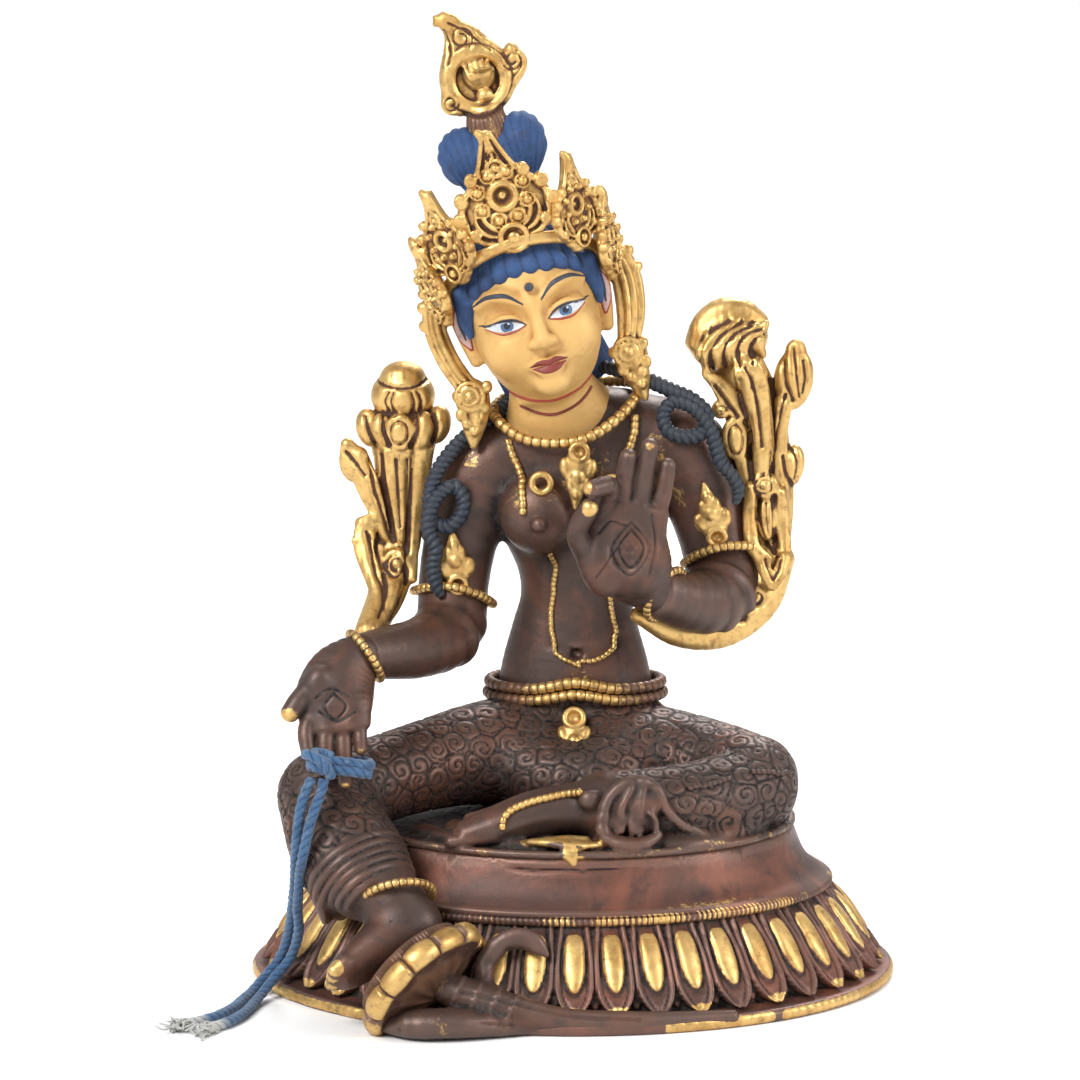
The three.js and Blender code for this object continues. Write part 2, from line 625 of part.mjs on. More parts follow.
// The hair: a cap cut along the hairline, the nape, a two-lobed topknot, and the finial above it.
const HAIR_CENTRE = [0, 1.8, 7];
const HAIR_SIZE = [16.6, 18.4, 17.8];
const hairCap = (grow) =>
  ball(
    HEAD,
    HAIR_CENTRE,
    HAIR_SIZE.map((r) => r + grow),
    { sides: 12, rows: 8 },
  );
const hairline = new THREE.BoxGeometry(60, 60, 60).translate(0, 0, -30).rotateX(radians(-38)).translate(0, -17, 15.6);
const belowHairline = solid(hairline, HEAD);
const LOCK = { sides: 8, steps: 2, caps: [1, 1], ...UPRIGHT };
const nape = (grow) => limb(HEAD, grown([[0, 6, 8, 14, 11], [0, 8.6, -5, 12.4, 7], [2, 9.6, -17, 13, 5]], grow), LOCK);
const hair = [
  hairCap(0).subtract(belowHairline),
  nape(0),
  limb(HEAD, [[0, 3, 20, 9, 8], [0.4, 4, 27, 7.4, 7], [0.8, 4.4, 34, 7.6, 6.4]], LOCK),
  ball(HEAD, [-4.4, 4.4, 38], [5.9, 5.4, 6.8], { sides: 8, rows: 6, turn: [0, -18, 0] }),
  ball(HEAD, [6.6, 4.4, 37.2], [5.7, 5.4, 7.3], { sides: 8, rows: 6, turn: [0, 14, 0] }),
];
const finial = [
  limb(HEAD, [[1.2, 4.4, 41, 3.8, 3.6], [1.4, 4.4, 44.2, 4.6, 4.2], [1.6, 4.4, 47.6, 3.4, 3]], { ...LOCK, sides: 6 }),
  hoop(
    HEAD,
    Array.from({ length: 8 }, (_, i) => {
      const angle = (i / 8) * FULL_TURN;
      return [2.2 + 6.2 * Math.cos(angle), 4.4, 53.4 + 5.8 * Math.sin(angle)];
    }),
    2.5,
    { sides: 4, steps: 10 },
  ),
  ball(HEAD, [2.4, 4.4, 53.6], [4.6, 2.2, 5.2], FEATURE),
  ball(HEAD, [10, 4.4, 53.8], [3, 2.6, 4.2], FEATURE),
  ball(HEAD, [-5.8, 4.4, 51], [2.6, 2.4, 3], FEATURE),
  limb(
    HEAD,
    [
      [1.6, 4.4, 58, 6.4, 2.8],
      [0.9, 4.4, 62.4, 4.2, 2.4],
      [0.2, 4.4, 65.4, 2.4, 1.9],
      [-2.6, 4.4, 66.2, 1.2, 1.2],
    ],
    { sides: 6, steps: 3, caps: [1, 1], ...UPRIGHT },
  ),
];

// THE CROWN, made apart: a band, five leaves, the ribbons at its sides and the ear pendants.

// One leaf: lobed along its edges, swelling to a lens, leaning out from the band.
function leaf(angle, reach, foot, height, halfWidth, lean) {
  const frame = HEAD.clone()
    .multiply(new THREE.Matrix4().makeRotationZ(radians(angle)))
    .multiply(new THREE.Matrix4().makeTranslation(0, -reach, foot))
    .multiply(new THREE.Matrix4().makeRotationX(radians(lean)));
  const outline = [
    [0, 0],
    [0.5, 0.1],
    [1, 0.3],
    [0.8, 0.45],
    [0.72, 0.56],
    [0.32, 0.7],
    [0.34, 0.84],
    [0, 1],
  ];
  return skin(frame, 6, outline.length - 1, (turn, row) => {
    const [belly, along] = outline[row];
    const across = halfWidth * belly * Math.cos(turn * FULL_TURN);
    const over = (0.8 + belly) * (belly > 0) * Math.sin(turn * FULL_TURN);
    return new THREE.Vector3(across, over + 0.03 * across ** 2, height * along);
  });
}

const bandHeight = (front) => 4.5 + 14.5 * front ** 0.75;
const crownBand = hoop(
  HEAD,
  Array.from({ length: 20 }, (_, i) => {
    const angle = (i / 20) * FULL_TURN;
    const front = Math.max(0, -Math.sin(angle));
    const z = bandHeight(front);
    const inward = Math.sqrt(1 - (0.86 * (z - HAIR_CENTRE[2]) ** 2) / (HAIR_SIZE[2] + 2) ** 2);
    return [18.2 * Math.cos(angle), HAIR_CENTRE[1] + 19.8 * Math.sin(angle) * (front > 0 ? inward : 1) ** 0.8, z];
  }),
  1.7,
  { steps: 20 },
);

// The fluted ribbon and the ear pendant at one side; the pendants hang straight down while the head leans.
function ribbon(side) {
  const swing = side < 0 ? -2.6 : 0.6;
  const earring = [side * 18, -0.6, -13];
  return [
    limb(
      HEAD,
      [
        [side * 19, 2, 12, 2.4, 3.6],
        [side * 21.8, 2.6, 4, 2.2, 3.6],
        [side * 20.6, 1.6, -5, 2.2, 3.2],
        [side * 18, 0.4, -11.4, 2.2, 2.6],
      ],
      { sides: 6, steps: 3, caps: [1, 1], ...UPRIGHT },
    ),
    ball(HEAD, earring, [3.9, 3, 4.3], { sides: 8, rows: 4 }),
    limb(
      HEAD,
      [
        [earring[0], -0.6, -15, 3.6, 2.6],
        [earring[0] + swing / 2, -1, -19.2, 2.6, 2],
        [earring[0] + swing, -1, -23.2, 0.9, 0.9],
      ],
      { sides: 6, steps: 2, caps: [1, 1], ...UPRIGHT },
    ),
  ];
}
const crownLeaves = [
  leaf(0, 14.2, 18.4, 26.4, 10.4, 8),
  ...SIDES.map((side) => leaf(48 * side, 18.2, 14.6, 20.4, 7.8, 8)),
  ...SIDES.map((side) => leaf(72 * side, 20.4, 6.4, 19, 7, 6)),
];

// What the crown keeps clear of: the head, its hair grown by the clearance.
const headForm = join([skull, hairCap, nape].map((form) => form(CLEARANCE)).concat(SIDES.map((side) => ear(side, CLEARANCE))));

// THE SHOULDER LOTUSES, cast with the figure: stems, leaves and a bloom in one openwork plate.
const LEAFY = { sides: 4, steps: 3, up: [0, 1, 0], caps: [1, 1] };
const STALK = { sides: 6, steps: 5, up: [0, 1, 0], caps: [1, 1] };
const bloom = (x, y, outline) =>
  turned(FIGURE.clone().multiply(new THREE.Matrix4().makeTranslation(x, y, 0)), 14, outline, (angle, height) =>
    height > 102 || height < 93 ? 1 + 0.06 * Math.cos(7 * angle) : 1,
  );
const loweredLotus = [
  limb(FIGURE, [[-45, -10, 44, 3, 3], [-41, 2, 51, 4.4, 3.4], [-38, 9, 61, 5.6, 3.4], [-37, 11, 74, 6.6, 3.8], [-38, 12, 84, 7, 5]], {
    ...STALK,
    up: [0, 1, 0.3],
  }),
  limb(FIGURE, [[-43, 5, 53, 2.4, 2.4], [-45.6, 7, 60, 3.2, 2.8], [-47.2, 8.4, 65, 2.4, 2], [-45.4, 8, 69.6, 1.4, 1.6]], LEAFY),
  ball(FIGURE, [-41, 5.4, 62], [4, 2.6, 4.6], FEATURE),
  limb(FIGURE, [[-41, 11, 68, 2.4, 2], [-44, 11.6, 75, 3, 2.4], [-48.6, 12, 82, 3.8, 2.2], [-50.6, 12, 87, 1.4, 1.2]], LEAFY),
  bloom(-37.8, 12, [
    [0, 0, 81],
    [6.4, 5.4, 82.6],
    [10, 7.6, 86.6],
    [9.8, 7.4, 91.4],
    [6.6, 5.8, 93.4],
    [7.4, 6.4, 97.6],
    [5.4, 4.8, 101],
    [0, 0, 102.6],
  ]),
];
const raisedLotus = [
  limb(FIGURE, [[15, -9, 47, 2, 2], [23, -5.6, 43, 3, 2.4], [33, 0, 43.4, 4.4, 3], [41, 5, 49.4, 5, 3.4], [44, 9, 58, 5, 3.6]], {
    ...STALK,
    up: [0, 0.4, 1],
  }),
  limb(FIGURE, [[43, 9, 54, 3.8, 3], [43.8, 10.6, 66, 5, 3.4], [42.4, 11.6, 80, 6.6, 3.6], [38, 12, 94, 6.6, 3.6], [35.4, 11.6, 102, 6, 4]], STALK),
  limb(FIGURE, [[41.8, 8, 77, 2.6, 2.4], [41, 7.4, 90, 3.2, 2.8], [38.4, 7.4, 99, 3.8, 2.8]], LEAFY),
  limb(FIGURE, [[44.8, 7, 57, 2.4, 2.4], [42, 7, 67, 2.8, 2.6], [43.4, 7.4, 75, 3, 2.4]], LEAFY),
  limb(FIGURE, [[42.4, 12, 79, 2.6, 2.4], [46, 12, 88, 3, 2.6], [48.8, 12, 97.6, 4.2, 3.4], [50.2, 12, 103.6, 1.4, 1.4]], LEAFY),
  limb(FIGURE, [[43.6, 11, 65, 2.6, 2.4], [47, 12, 75, 3, 2.4], [49, 12, 82.6, 3.4, 2.8], [49.8, 12, 87, 1.4, 1.4]], LEAFY),
  bloom(34.6, 11, [
    [0, 0, 98],
    [5.8, 4.8, 100],
    [8.4, 6.2, 103.6],
    [9.2, 6.8, 108],
    [7.6, 5.6, 112.6],
    [0, 0, 113.6],
  ]),
];

// Everything under the sole, close to the foot.
const underSole = solid(
  new THREE.BoxGeometry(3 * FOOT_LOTUS_RADIUS, 3 * FOOT_LOTUS_RADIUS, BASE_HEIGHT).translate(
    0,
    0,
    STAMEN_HEIGHT + CLEARANCE - BASE_HEIGHT / 2,
  ),
  lotusFrame,
);

const figure = join([
  torso,
  ...breasts,
  neck,
  loweredArm,
  raisedArm,
  ...loweredHand,
  ...raisedHand,
  ...loweredLeg,
  ...loweredFoot,
  ...foldedLeg,
  ...skirt,
  seatPlate,
  ...bodyJewels,
  ...bands,
  armJewel(-26, 0.4, 61.4),
  armJewel(30.6, 1.2, 71.6),
  ...tresses,
  ...loweredLotus,
  ...raisedLotus,
])
  .subtract(baseBody(CLEARANCE))
  .subtract(underSole)
  .add(join([skull(0), ...face, ...hair, ...finial]));

const crown = join([crownBand, ...crownLeaves, ...SIDES.flatMap(ribbon)]).subtract(headForm);

// THE CORD, looped round two fingers of the lowered hand and knotted, its two ends lying on the ground.
const LOOP = [
  [-53.4, -41.2, 56.2],
  [-48.4, -41.2, 55.6],
  [-43.9, -38.4, 54.4],
  [-44.6, -33.6, 54.2],
  [-50, -32, 54],
  [-55.4, -33.6, 53.8],
  [-56.4, -37.8, 54.2],
];
const KNOT = [-54.4, -42.4, 56.2];
const KNOT_SIZE = [2.9, 2.3, 2.8];
const cordKnot = hoop(WORLD, LOOP, CORD_DIAMETER / 2, { sides: 5, steps: 12 }).add(ball(WORLD, KNOT, KNOT_SIZE));

const STRANDS = [
  [
    [-55.9, -43, 52.6],
    [-57.3, -43.6, 50],
    [-58.3, -44, 46.6],
    [-58.9, -44, 43.2],
    [-59.3, -43.6, 39.6],
    [-59.7, -41.8, 35.4],
    [-60, -38.8, 30.9],
    [-60.4, -35.4, 26.2],
    [-61, -31.6, 21.4],
    [-61.7, -28.2, 16.6],
    [-62.8, -25.2, 12],
    [-64.4, -23.2, 7.9],
    [-67, -23.4, 4.6],
    [-69.8, -26.6, 2],
    [-72, -33, 1.25],
    [-74, -40.6, 1.25],
    [-77.4, -47.6, 1.25],
    [-82.6, -52.8, 1.25],
  ],
  [
    [-53.4, -43.2, 52.4],
    [-54, -44, 49.8],
    [-55.2, -44.6, 46.8],
    [-56.3, -45.8, 43.4], [-57.2, -46, 39.6], [-58.1, -45.2, 35.4],
    [-58.8, -42, 31.4],
    [-59.3, -38.6, 26.4],
    [-59.7, -34.4, 21.6],
    [-59.6, -30.8, 16.8],
    [-60.4, -27.8, 12.6],
    [-62, -26, 8.5],
    [-65, -26.4, 4.9],
    [-67.6, -30, 2.2],
    [-69.4, -36.6, 1.25],
    [-71, -44, 1.25],
    [-73.6, -51, 1.25],
    [-77.6, -56.8, 1.25],
  ],
];

function cordTube(points) {
  const section = new THREE.Shape().absarc(0, 0, CORD_DIAMETER / 2, 0, FULL_TURN);
  const extrudePath = new THREE.CatmullRomCurve3(points.map(vector));
  const steps = Math.round(extrudePath.getLength() / (3 * CORD_DIAMETER));
  return solid(new THREE.ExtrudeGeometry(section, { steps, curveSegments: 4, extrudePath }));
}

// THE PIECES

function meshOf(name, made, { color, roughness, metalness }) {
  const { vertProperties, triVerts } = made.getMesh();
  const geometry = new THREE.BufferGeometry()
    .setAttribute("position", new THREE.BufferAttribute(vertProperties, 3))
    .setIndex(new THREE.BufferAttribute(triVerts, 1));
  geometry.computeVertexNormals();
  const mesh = new THREE.Mesh(geometry, new THREE.MeshStandardMaterial({ color, roughness, metalness }));
  mesh.name = name;
  return mesh;
}

const group = new THREE.Group();
group.add(
  meshOf("lotus_base", base, PAINT.copper),
  meshOf("figure", figure, PAINT.copper),
  meshOf("crown", crown, PAINT.gilt),
  meshOf("cord_knot", cordKnot, PAINT.cotton),
  ...STRANDS.map((points, i) => meshOf("cord_strand_" + (i + 1), cordTube(points), PAINT.cotton)),
);

export default group;
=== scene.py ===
# %% [markdown]
# A seated goddess in cast copper, gilded on her ornaments and painted on face and hair.
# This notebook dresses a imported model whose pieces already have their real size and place. Every form here is
# drawn in millimetres in the model's own frame (+Z up, +X to the viewer's right, the front towards -Y) and is
# turned into metres only when it becomes a mesh.

# %% Load the fixed frame
import math

import bpy
import numpy as np
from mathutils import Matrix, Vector
from mathutils.bvhtree import BVHTree


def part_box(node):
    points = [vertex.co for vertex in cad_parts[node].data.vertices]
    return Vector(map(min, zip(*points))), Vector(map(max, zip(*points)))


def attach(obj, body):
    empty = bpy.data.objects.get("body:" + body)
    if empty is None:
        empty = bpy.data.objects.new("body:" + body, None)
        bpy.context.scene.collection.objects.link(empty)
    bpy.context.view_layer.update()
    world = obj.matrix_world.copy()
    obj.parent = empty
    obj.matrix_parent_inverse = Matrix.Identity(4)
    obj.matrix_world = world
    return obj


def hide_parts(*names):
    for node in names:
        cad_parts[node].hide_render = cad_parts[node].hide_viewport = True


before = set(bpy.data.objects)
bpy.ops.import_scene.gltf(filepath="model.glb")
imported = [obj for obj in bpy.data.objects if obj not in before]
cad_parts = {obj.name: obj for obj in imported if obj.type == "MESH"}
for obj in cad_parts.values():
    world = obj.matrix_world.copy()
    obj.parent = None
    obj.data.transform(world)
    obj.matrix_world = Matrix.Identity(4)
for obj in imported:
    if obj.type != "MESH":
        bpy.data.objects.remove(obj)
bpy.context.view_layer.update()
MM = 0.001
SEAT_HEIGHT = float(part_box("lotus_base")[1][2] / MM)
print("nodes:", sorted(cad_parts), "seat at", round(SEAT_HEIGHT, 2), "mm")

# %% [markdown]
# The camera comes first, because everything after it is judged through it. The lens is long, as for a
# studio picture of a small object, and looks a little down. The floor is a pale sweep, and three large soft
# lamps stand round it, so that metal has broad shapes to mirror.

# %% Camera
CAMERA_TARGET = (-7.3, 0, 97)
CAMERA_DISTANCE = 1200
CAMERA_ELEVATION = math.radians(9.5)
CAMERA_FIELD = 237.6  # how much of the object's plane the square picture takes in, in millimetres


def place_camera():
    data = bpy.data.cameras.new("camera")
    data.sensor_width = data.sensor_height = 36
    data.sensor_fit = "HORIZONTAL"
    data.lens = data.sensor_width * CAMERA_DISTANCE / CAMERA_FIELD
    data.clip_start = 0.05
    camera = bpy.data.objects.new("camera", data)
    back = Vector((0, -math.cos(CAMERA_ELEVATION), math.sin(CAMERA_ELEVATION)))
    camera.location = (Vector(CAMERA_TARGET) + CAMERA_DISTANCE * back) * MM
    camera.rotation_euler = back.to_track_quat("Z", "Y").to_euler()
    bpy.context.scene.collection.objects.link(camera)
    bpy.context.scene.camera = camera
    return camera


camera = place_camera()
print("camera", [round(v, 3) for v in camera.location], "lens", round(camera.data.lens, 1))

# %% [markdown]
# Two small helpers carry the rest of the notebook. The first turns arrays of corners and faces into a
# Blender mesh, with named numbers on its corners that the materials read later. A very fine mesh loses
# triangles there where it is nearly flat. The second helper draws a smooth line through a few chosen
# points: the tangent at each point leans towards its nearer neighbour, so the line doesn't overshoot.

# %% Mesh and path helpers
FINE_MESH = 10000  # faces; a mesh with more of them is thinned out
THINNED_SHARE = 0.54  # of its triangles


def thin_out(piece):
    """Takes triangles away where a fine mesh is nearly flat, and leaves them on its relief."""
    piece.modifiers.new("thin out", "DECIMATE").ratio = THINNED_SHARE
    graph = bpy.context.evaluated_depsgraph_get()
    thinned = bpy.data.meshes.new_from_object(
        piece.evaluated_get(graph), preserve_all_data_layers=True, depsgraph=graph,
    )
    piece.modifiers.clear()
    piece.data = thinned


def make_mesh(name, corners, faces, material, attributes=None):
    """A mesh object from corners in millimetres and faces that all have as many corners as each other."""
    corners = np.asarray(corners, np.float32) * MM
    faces = np.asarray(faces, np.int32)
    mesh = bpy.data.meshes.new(name)
    mesh.vertices.add(len(corners))
    mesh.vertices.foreach_set("co", corners.ravel())
    mesh.loops.add(faces.size)
    mesh.loops.foreach_set("vertex_index", faces.ravel())
    mesh.polygons.add(len(faces))
    mesh.polygons.foreach_set("loop_start", np.arange(0, faces.size, faces.shape[1], dtype=np.int32))
    mesh.update(calc_edges=True)
    mesh.polygons.foreach_set("use_smooth", np.full(len(faces), True))
    for label, values in (attributes or {}).items():
        layer = mesh.attributes.new(label, "FLOAT", "POINT")
        layer.data.foreach_set("value", np.asarray(values, np.float32))
    mesh.materials.append(material)
    piece = bpy.data.objects.new(name, mesh)
    bpy.context.scene.collection.objects.link(piece)
    if len(faces) > FINE_MESH:
        thin_out(piece)
    return piece


def dress(piece, node=None):
    """Lets a piece ride on the one body, and stand for a node if it has one."""
    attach(piece, "root")
    if node:
        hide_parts(node)
    print(f"{piece.name}: {len(piece.data.polygons)} faces")
    return piece


def unit(vectors):
    """Vectors of length one."""
    vectors = np.asarray(vectors, float)
    return vectors / np.maximum(np.linalg.norm(vectors, axis=-1, keepdims=True), 1e-9)


def smooth_path(points, count, closed=False):
    """count rows on a smooth line through the given rows; further columns, such as widths, go along."""
    points = np.asarray(points, float)
    if closed:
        points = np.vstack([points[-2:], points, points[:3]])
    chords = np.maximum(np.linalg.norm(np.diff(points[:, :3], axis=0), axis=1), 1e-6)
    knots = np.concatenate([[0], np.cumsum(chords)])
    slopes = np.diff(points, axis=0) / chords[:, None]
    tangents = np.vstack([slopes[:1], slopes[:1], slopes[1:]])
    before, after = chords[:-1, None], chords[1:, None]
    tangents[1:-1] = (slopes[:-1] * after + slopes[1:] * before) / (before + after)
    if closed:
        where = np.linspace(knots[2], knots[-3], count, endpoint=False)
    else:
        where = np.linspace(0, knots[-1], count)
    span = np.clip(np.searchsorted(knots, where, side="right") - 1, 0, len(chords) - 1)
    length = chords[span][:, None]
    t = (where - knots[span])[:, None] / length
    start = (2 * t**3 - 3 * t**2 + 1) * points[span] + (t**3 - 2 * t**2 + t) * length * tangents[span]
    end = (3 * t**2 - 2 * t**3) * points[span + 1] + (t**3 - t**2) * length * tangents[span + 1]
    return start + end


def turn_matrix(x=0, y=0, z=0):
    """A rotation by degrees about X, then Y, then Z."""
    a, b, c = (math.radians(v) for v in (x, y, z))
    about_x = np.array([[1, 0, 0], [0, math.cos(a), -math.sin(a)], [0, math.sin(a), math.cos(a)]])
    about_y = np.array([[math.cos(b), 0, math.sin(b)], [0, 1, 0], [-math.sin(b), 0, math.cos(b)]])
    about_z = np.array([[math.cos(c), -math.sin(c), 0], [math.sin(c), math.cos(c), 0], [0, 0, 1]])
    return about_z @ about_y @ about_x


class Place:
    """A frame that drawing coordinates are in: a turn and an origin."""

    def __init__(self, origin=(0, 0, 0), turn=None):
        self.origin = np.array(origin, float)
        self.turn = np.eye(3) if turn is None else np.asarray(turn, float)

    def point(self, points):
        return np.asarray(points, float) @ self.turn.T + self.origin

    def stations(self, rows):
        rows = np.array(rows, float)
        rows[:, :3] = self.point(rows[:, :3])
        return rows

    def inside(self, origin=(0, 0, 0), turn=None):
        """A frame drawn within this one."""
        inner = np.eye(3) if turn is None else turn
        return Place(self.point(origin), self.turn @ inner)


WORLD = Place()
FIGURE = Place((0, 0, SEAT_HEIGHT))
HEAD = FIGURE.inside((-8.4, 4, 111.7), turn_matrix(y=-15.5) @ turn_matrix(z=3))
print("the head's middle is at", HEAD.origin.round(1), "mm")

# %% [markdown]
# The cast parts are modelled like wax: rounded forms pressed into one block, each melting a little into its
# neighbours. A block is a grid of distances to the surface. A form is added by a smooth minimum, cut away
# by a smooth maximum, and the skin is drawn where the distance is nought. That gives one closed mesh with
# soft joins, which boolean cuts of separate solids wouldn't.

# %% The block of wax
FAR = 99.0
PAD = 3  # grid cells kept round a form


def soft_min(a, b, blend):
    """The smaller of two distances, rounded off where they are close."""
    if blend <= 0:
        return np.minimum(a, b)
    mix = np.clip(0.5 + 0.5 * (b - a) / blend, 0, 1)
    return b + (a - b) * mix - blend * mix * (1 - mix)


class Wax:
    """A grid of distances between two corners, with a step in millimetres."""

    def __init__(self, low, high, step):
        self.low = np.array(low, np.float32)
        self.step = np.float32(step)
        self.shape = np.ceil((np.array(high) - self.low) / step).astype(int) + 1
        self.field = np.full(self.shape, FAR, np.float32)

    def block(self, low, high):
        """The part of the grid between two corners, as slices and coordinates."""
        first = np.clip(np.floor((np.array(low) - self.low) / self.step).astype(int) - PAD, 0, self.shape - 1)
        last = np.clip(np.ceil((np.array(high) - self.low) / self.step).astype(int) + PAD + 1, 1, self.shape)
        slices = tuple(slice(a, b) for a, b in zip(first, last))
        axes = [self.low[i] + self.step * np.arange(first[i], last[i], dtype=np.float32) for i in range(3)]
        return slices, np.ix_(*axes)

    def press(self, slices, values, blend, cut=False):
        if cut:
            self.field[slices] = -soft_min(-self.field[slices], values, blend)
        else:
            self.field[slices] = soft_min(self.field[slices], values, blend)

    def limb(self, stations, up=(0, 0, 1), blend=1.5, steps=10, domes=(0.9, 0.9), cut=False, place=None):
        """An oval limb through stations of x, y, z, half width and half height; its width lies across up."""
        place = place or FIGURE
        path = smooth_path(place.stations(stations), steps + 1)
        centres, sizes = path[:, :3], path[:, 3:5]
        along = unit(np.gradient(centres, axis=0))
        across = unit(np.cross(place.turn @ np.array(up, float), along))
        over = np.cross(along, across)
        lengths = np.linalg.norm(np.diff(centres, axis=0), axis=1)
        reach = sizes.max() * 1.05 + blend + self.step
        slices, _ = self.block(centres.min(0) - reach, centres.max(0) + reach)
        nearest = np.full(self.field[slices].shape, FAR, np.float32)
        corner = [s.start for s in slices]
        for i in range(steps):
            low = np.minimum(centres[i], centres[i + 1]) - reach
            high = np.maximum(centres[i], centres[i + 1]) + reach
            part, (x, y, z) = self.block(low, high)
            a, b = centres[i].astype(np.float32), centres[i + 1].astype(np.float32)
            axis = b - a
            x, y, z = x - a[0], y - a[1], z - a[2]
            t = (x * axis[0] + y * axis[1] + z * axis[2]) / np.float32(axis @ axis)
            beyond = t - np.clip(t, 0, 1)
            t = t - beyond
            length = np.float32(lengths[i])

            def component(first, last):
                start = x * first[0] + y * first[1] + z * first[2]
                end = (x - axis[0]) * last[0] + (y - axis[1]) * last[1] + (z - axis[2]) * last[2]
                return start + (end - start) * t

            wide = sizes[i, 0] + (sizes[i + 1, 0] - sizes[i, 0]) * t
            tall = sizes[i, 1] + (sizes[i + 1, 1] - sizes[i, 1]) * t
            behind = lengths[:i].sum() + sizes[0].min() * domes[0]
            ahead = lengths[i + 1 :].sum() + sizes[-1].min() * domes[1]
            round_end = np.minimum(np.minimum(wide, tall), np.where(beyond < 0, behind, ahead))
            u = component(across[i], across[i + 1]) / wide
            v = component(over[i], over[i + 1]) / tall
            w = beyond * length / round_end
            size = np.sqrt(u * u + v * v + w * w) + 1e-6
            steep = np.sqrt((u / wide) ** 2 + (v / tall) ** 2 + (w / round_end) ** 2) + 1e-6
            here = tuple(slice(s.start - c, s.stop - c) for s, c in zip(part, corner))
            nearest[here] = np.minimum(nearest[here], (size - 1) * size / steep)
        self.press(slices, nearest, blend, cut)

    def tube(self, points, radius, **options):
        """A round limb of one thickness, or of a thickness for each point."""
        radii = np.broadcast_to(radius, len(points))
        self.limb([[*p, r, r] for p, r in zip(points, radii)], **{"up": (0.13, 0.31, 1), **options})

    def ball(self, centre, radii, turn=None, blend=1.5, cut=False, place=None):
        """An oval lump."""
        place = (place or FIGURE).inside(centre, turn)
        radii = np.broadcast_to(np.array(radii, np.float32), 3)
        reach = np.abs(place.turn) @ radii + blend + self.step
        slices, (x, y, z) = self.block(place.origin - reach, place.origin + reach)
        x, y, z = (c - np.float32(o) for c, o in zip((x, y, z), place.origin))
        local = [x * axis[0] + y * axis[1] + z * axis[2] for axis in place.turn.T.astype(np.float32)]
        size = np.sqrt(sum((c / r) ** 2 for c, r in zip(local, radii))) + 1e-6
        steep = np.sqrt(sum((c / r**2) ** 2 for c, r in zip(local, radii))) + 1e-6
        self.press(slices, (size - 1) * size / steep, blend, cut)

    def slice_off(self, point, outward, blend=0.4, place=None):
        """Cuts away everything beyond a plane."""
        place = place or FIGURE
        origin = place.point(point)
        normal = place.turn @ unit(outward)
        slices, (x, y, z) = self.block(self.low, self.low + self.step * self.shape)
        height = (x - origin[0]) * normal[0] + (y - origin[1]) * normal[1] + (z - origin[2]) * normal[2]
        self.press(slices, -height.astype(np.float32), blend, cut=True)

    def skin(self, relax=2):
        """The corners and faces of the surface, drawn through the cells where the distance changes sign."""
        field = self.field
        for axis in range(3):
            edge = [slice(None)] * 3
            for end in (0, -1):
                edge[axis] = end
                field[tuple(edge)] = np.maximum(field[tuple(edge)], 0.01)
        inside = field < 0
        near = [slice(None, -1), slice(1, None)]
        offsets = [(i, j, k) for i in (0, 1) for j in (0, 1) for k in (0, 1)]
        filled = sum(inside[near[i], near[j], near[k]].astype(np.int8) for i, j, k in offsets)
        cells = np.argwhere((filled > 0) & (filled < 8))
        number = np.full(filled.shape, -1, np.int32)
        number[tuple(cells.T)] = np.arange(len(cells))
        values = np.stack([field[tuple((cells + offset).T)] for offset in offsets], axis=1)
        total = np.zeros((len(cells), 3))
        hits = np.zeros(len(cells))
        for a, first in enumerate(offsets):
            for b, second in enumerate(offsets):
                step = np.array(second) - first
                if step.min() < 0 or step.sum() != 1:
                    continue
                crossing = (values[:, a] < 0) != (values[:, b] < 0)
                share = values[:, a] / np.where(crossing, values[:, a] - values[:, b], 1)
                total += np.where(crossing[:, None], np.array(first) + share[:, None] * step, 0)
                hits += crossing
        corners = self.low + self.step * (cells + total / hits[:, None])
        faces = []
        for axis in range(3):
            shifted = np.roll(inside, -1, axis)
            change = inside != shifted
            lead = [slice(1, -1)] * 3
            lead[axis] = slice(0, -1)
            ends = np.argwhere(change[tuple(lead)]) + [0 if i == axis else 1 for i in range(3)]
            one, two = (np.eye(3, dtype=int)[(axis + n) % 3] for n in (1, 2))
            ring = [ends, ends - one, ends - one - two, ends - two]
            quads = np.stack([number[tuple(cell.T)] for cell in ring], axis=1)
            leaving = inside[tuple(ends.T)]
            quads[~leaving] = quads[~leaving][:, ::-1]
            faces.append(quads)
        faces = np.vstack(faces)
        corners = relaxed(corners, faces, relax)
        print(f"  skin: {len(corners)} corners, {2 * len(faces)} triangles")
        return corners, faces


def neighbour_mean(values, faces):
    """Each corner's mean over the corners that share an edge with it."""
    links = np.vstack([faces[:, [i, (i + 1) % faces.shape[1]]] for i in range(faces.shape[1])])
    both = np.vstack([links, links[:, ::-1]])
    count = np.maximum(np.bincount(both[:, 0], minlength=len(values)), 1)
    values = values.reshape(len(values), -1)
    sums = [
        np.bincount(both[:, 0], values[both[:, 1], i], len(values)) / count for i in range(values.shape[1])
    ]
    return np.stack(sums, axis=1)


def relaxed(corners, faces, rounds):
    """Corners smoothed without shrinking: each round pulls in and then pushes back out."""
    for _ in range(rounds):
        for pull in (0.5, -0.52):
            corners = corners + pull * (neighbour_mean(corners, faces) - corners)
    return corners


def normals_of(corners, faces):
    """Outward normals at the corners of a mesh of four-sided faces."""
    a, b, c, d = (corners[faces[:, i]] for i in range(4))
    normal = np.cross(c - a, d - b)
    total = np.stack(
        [sum(np.bincount(faces[:, i], normal[:, k], len(corners)) for i in range(4)) for k in range(3)],
        axis=1
    )
    return unit(total)


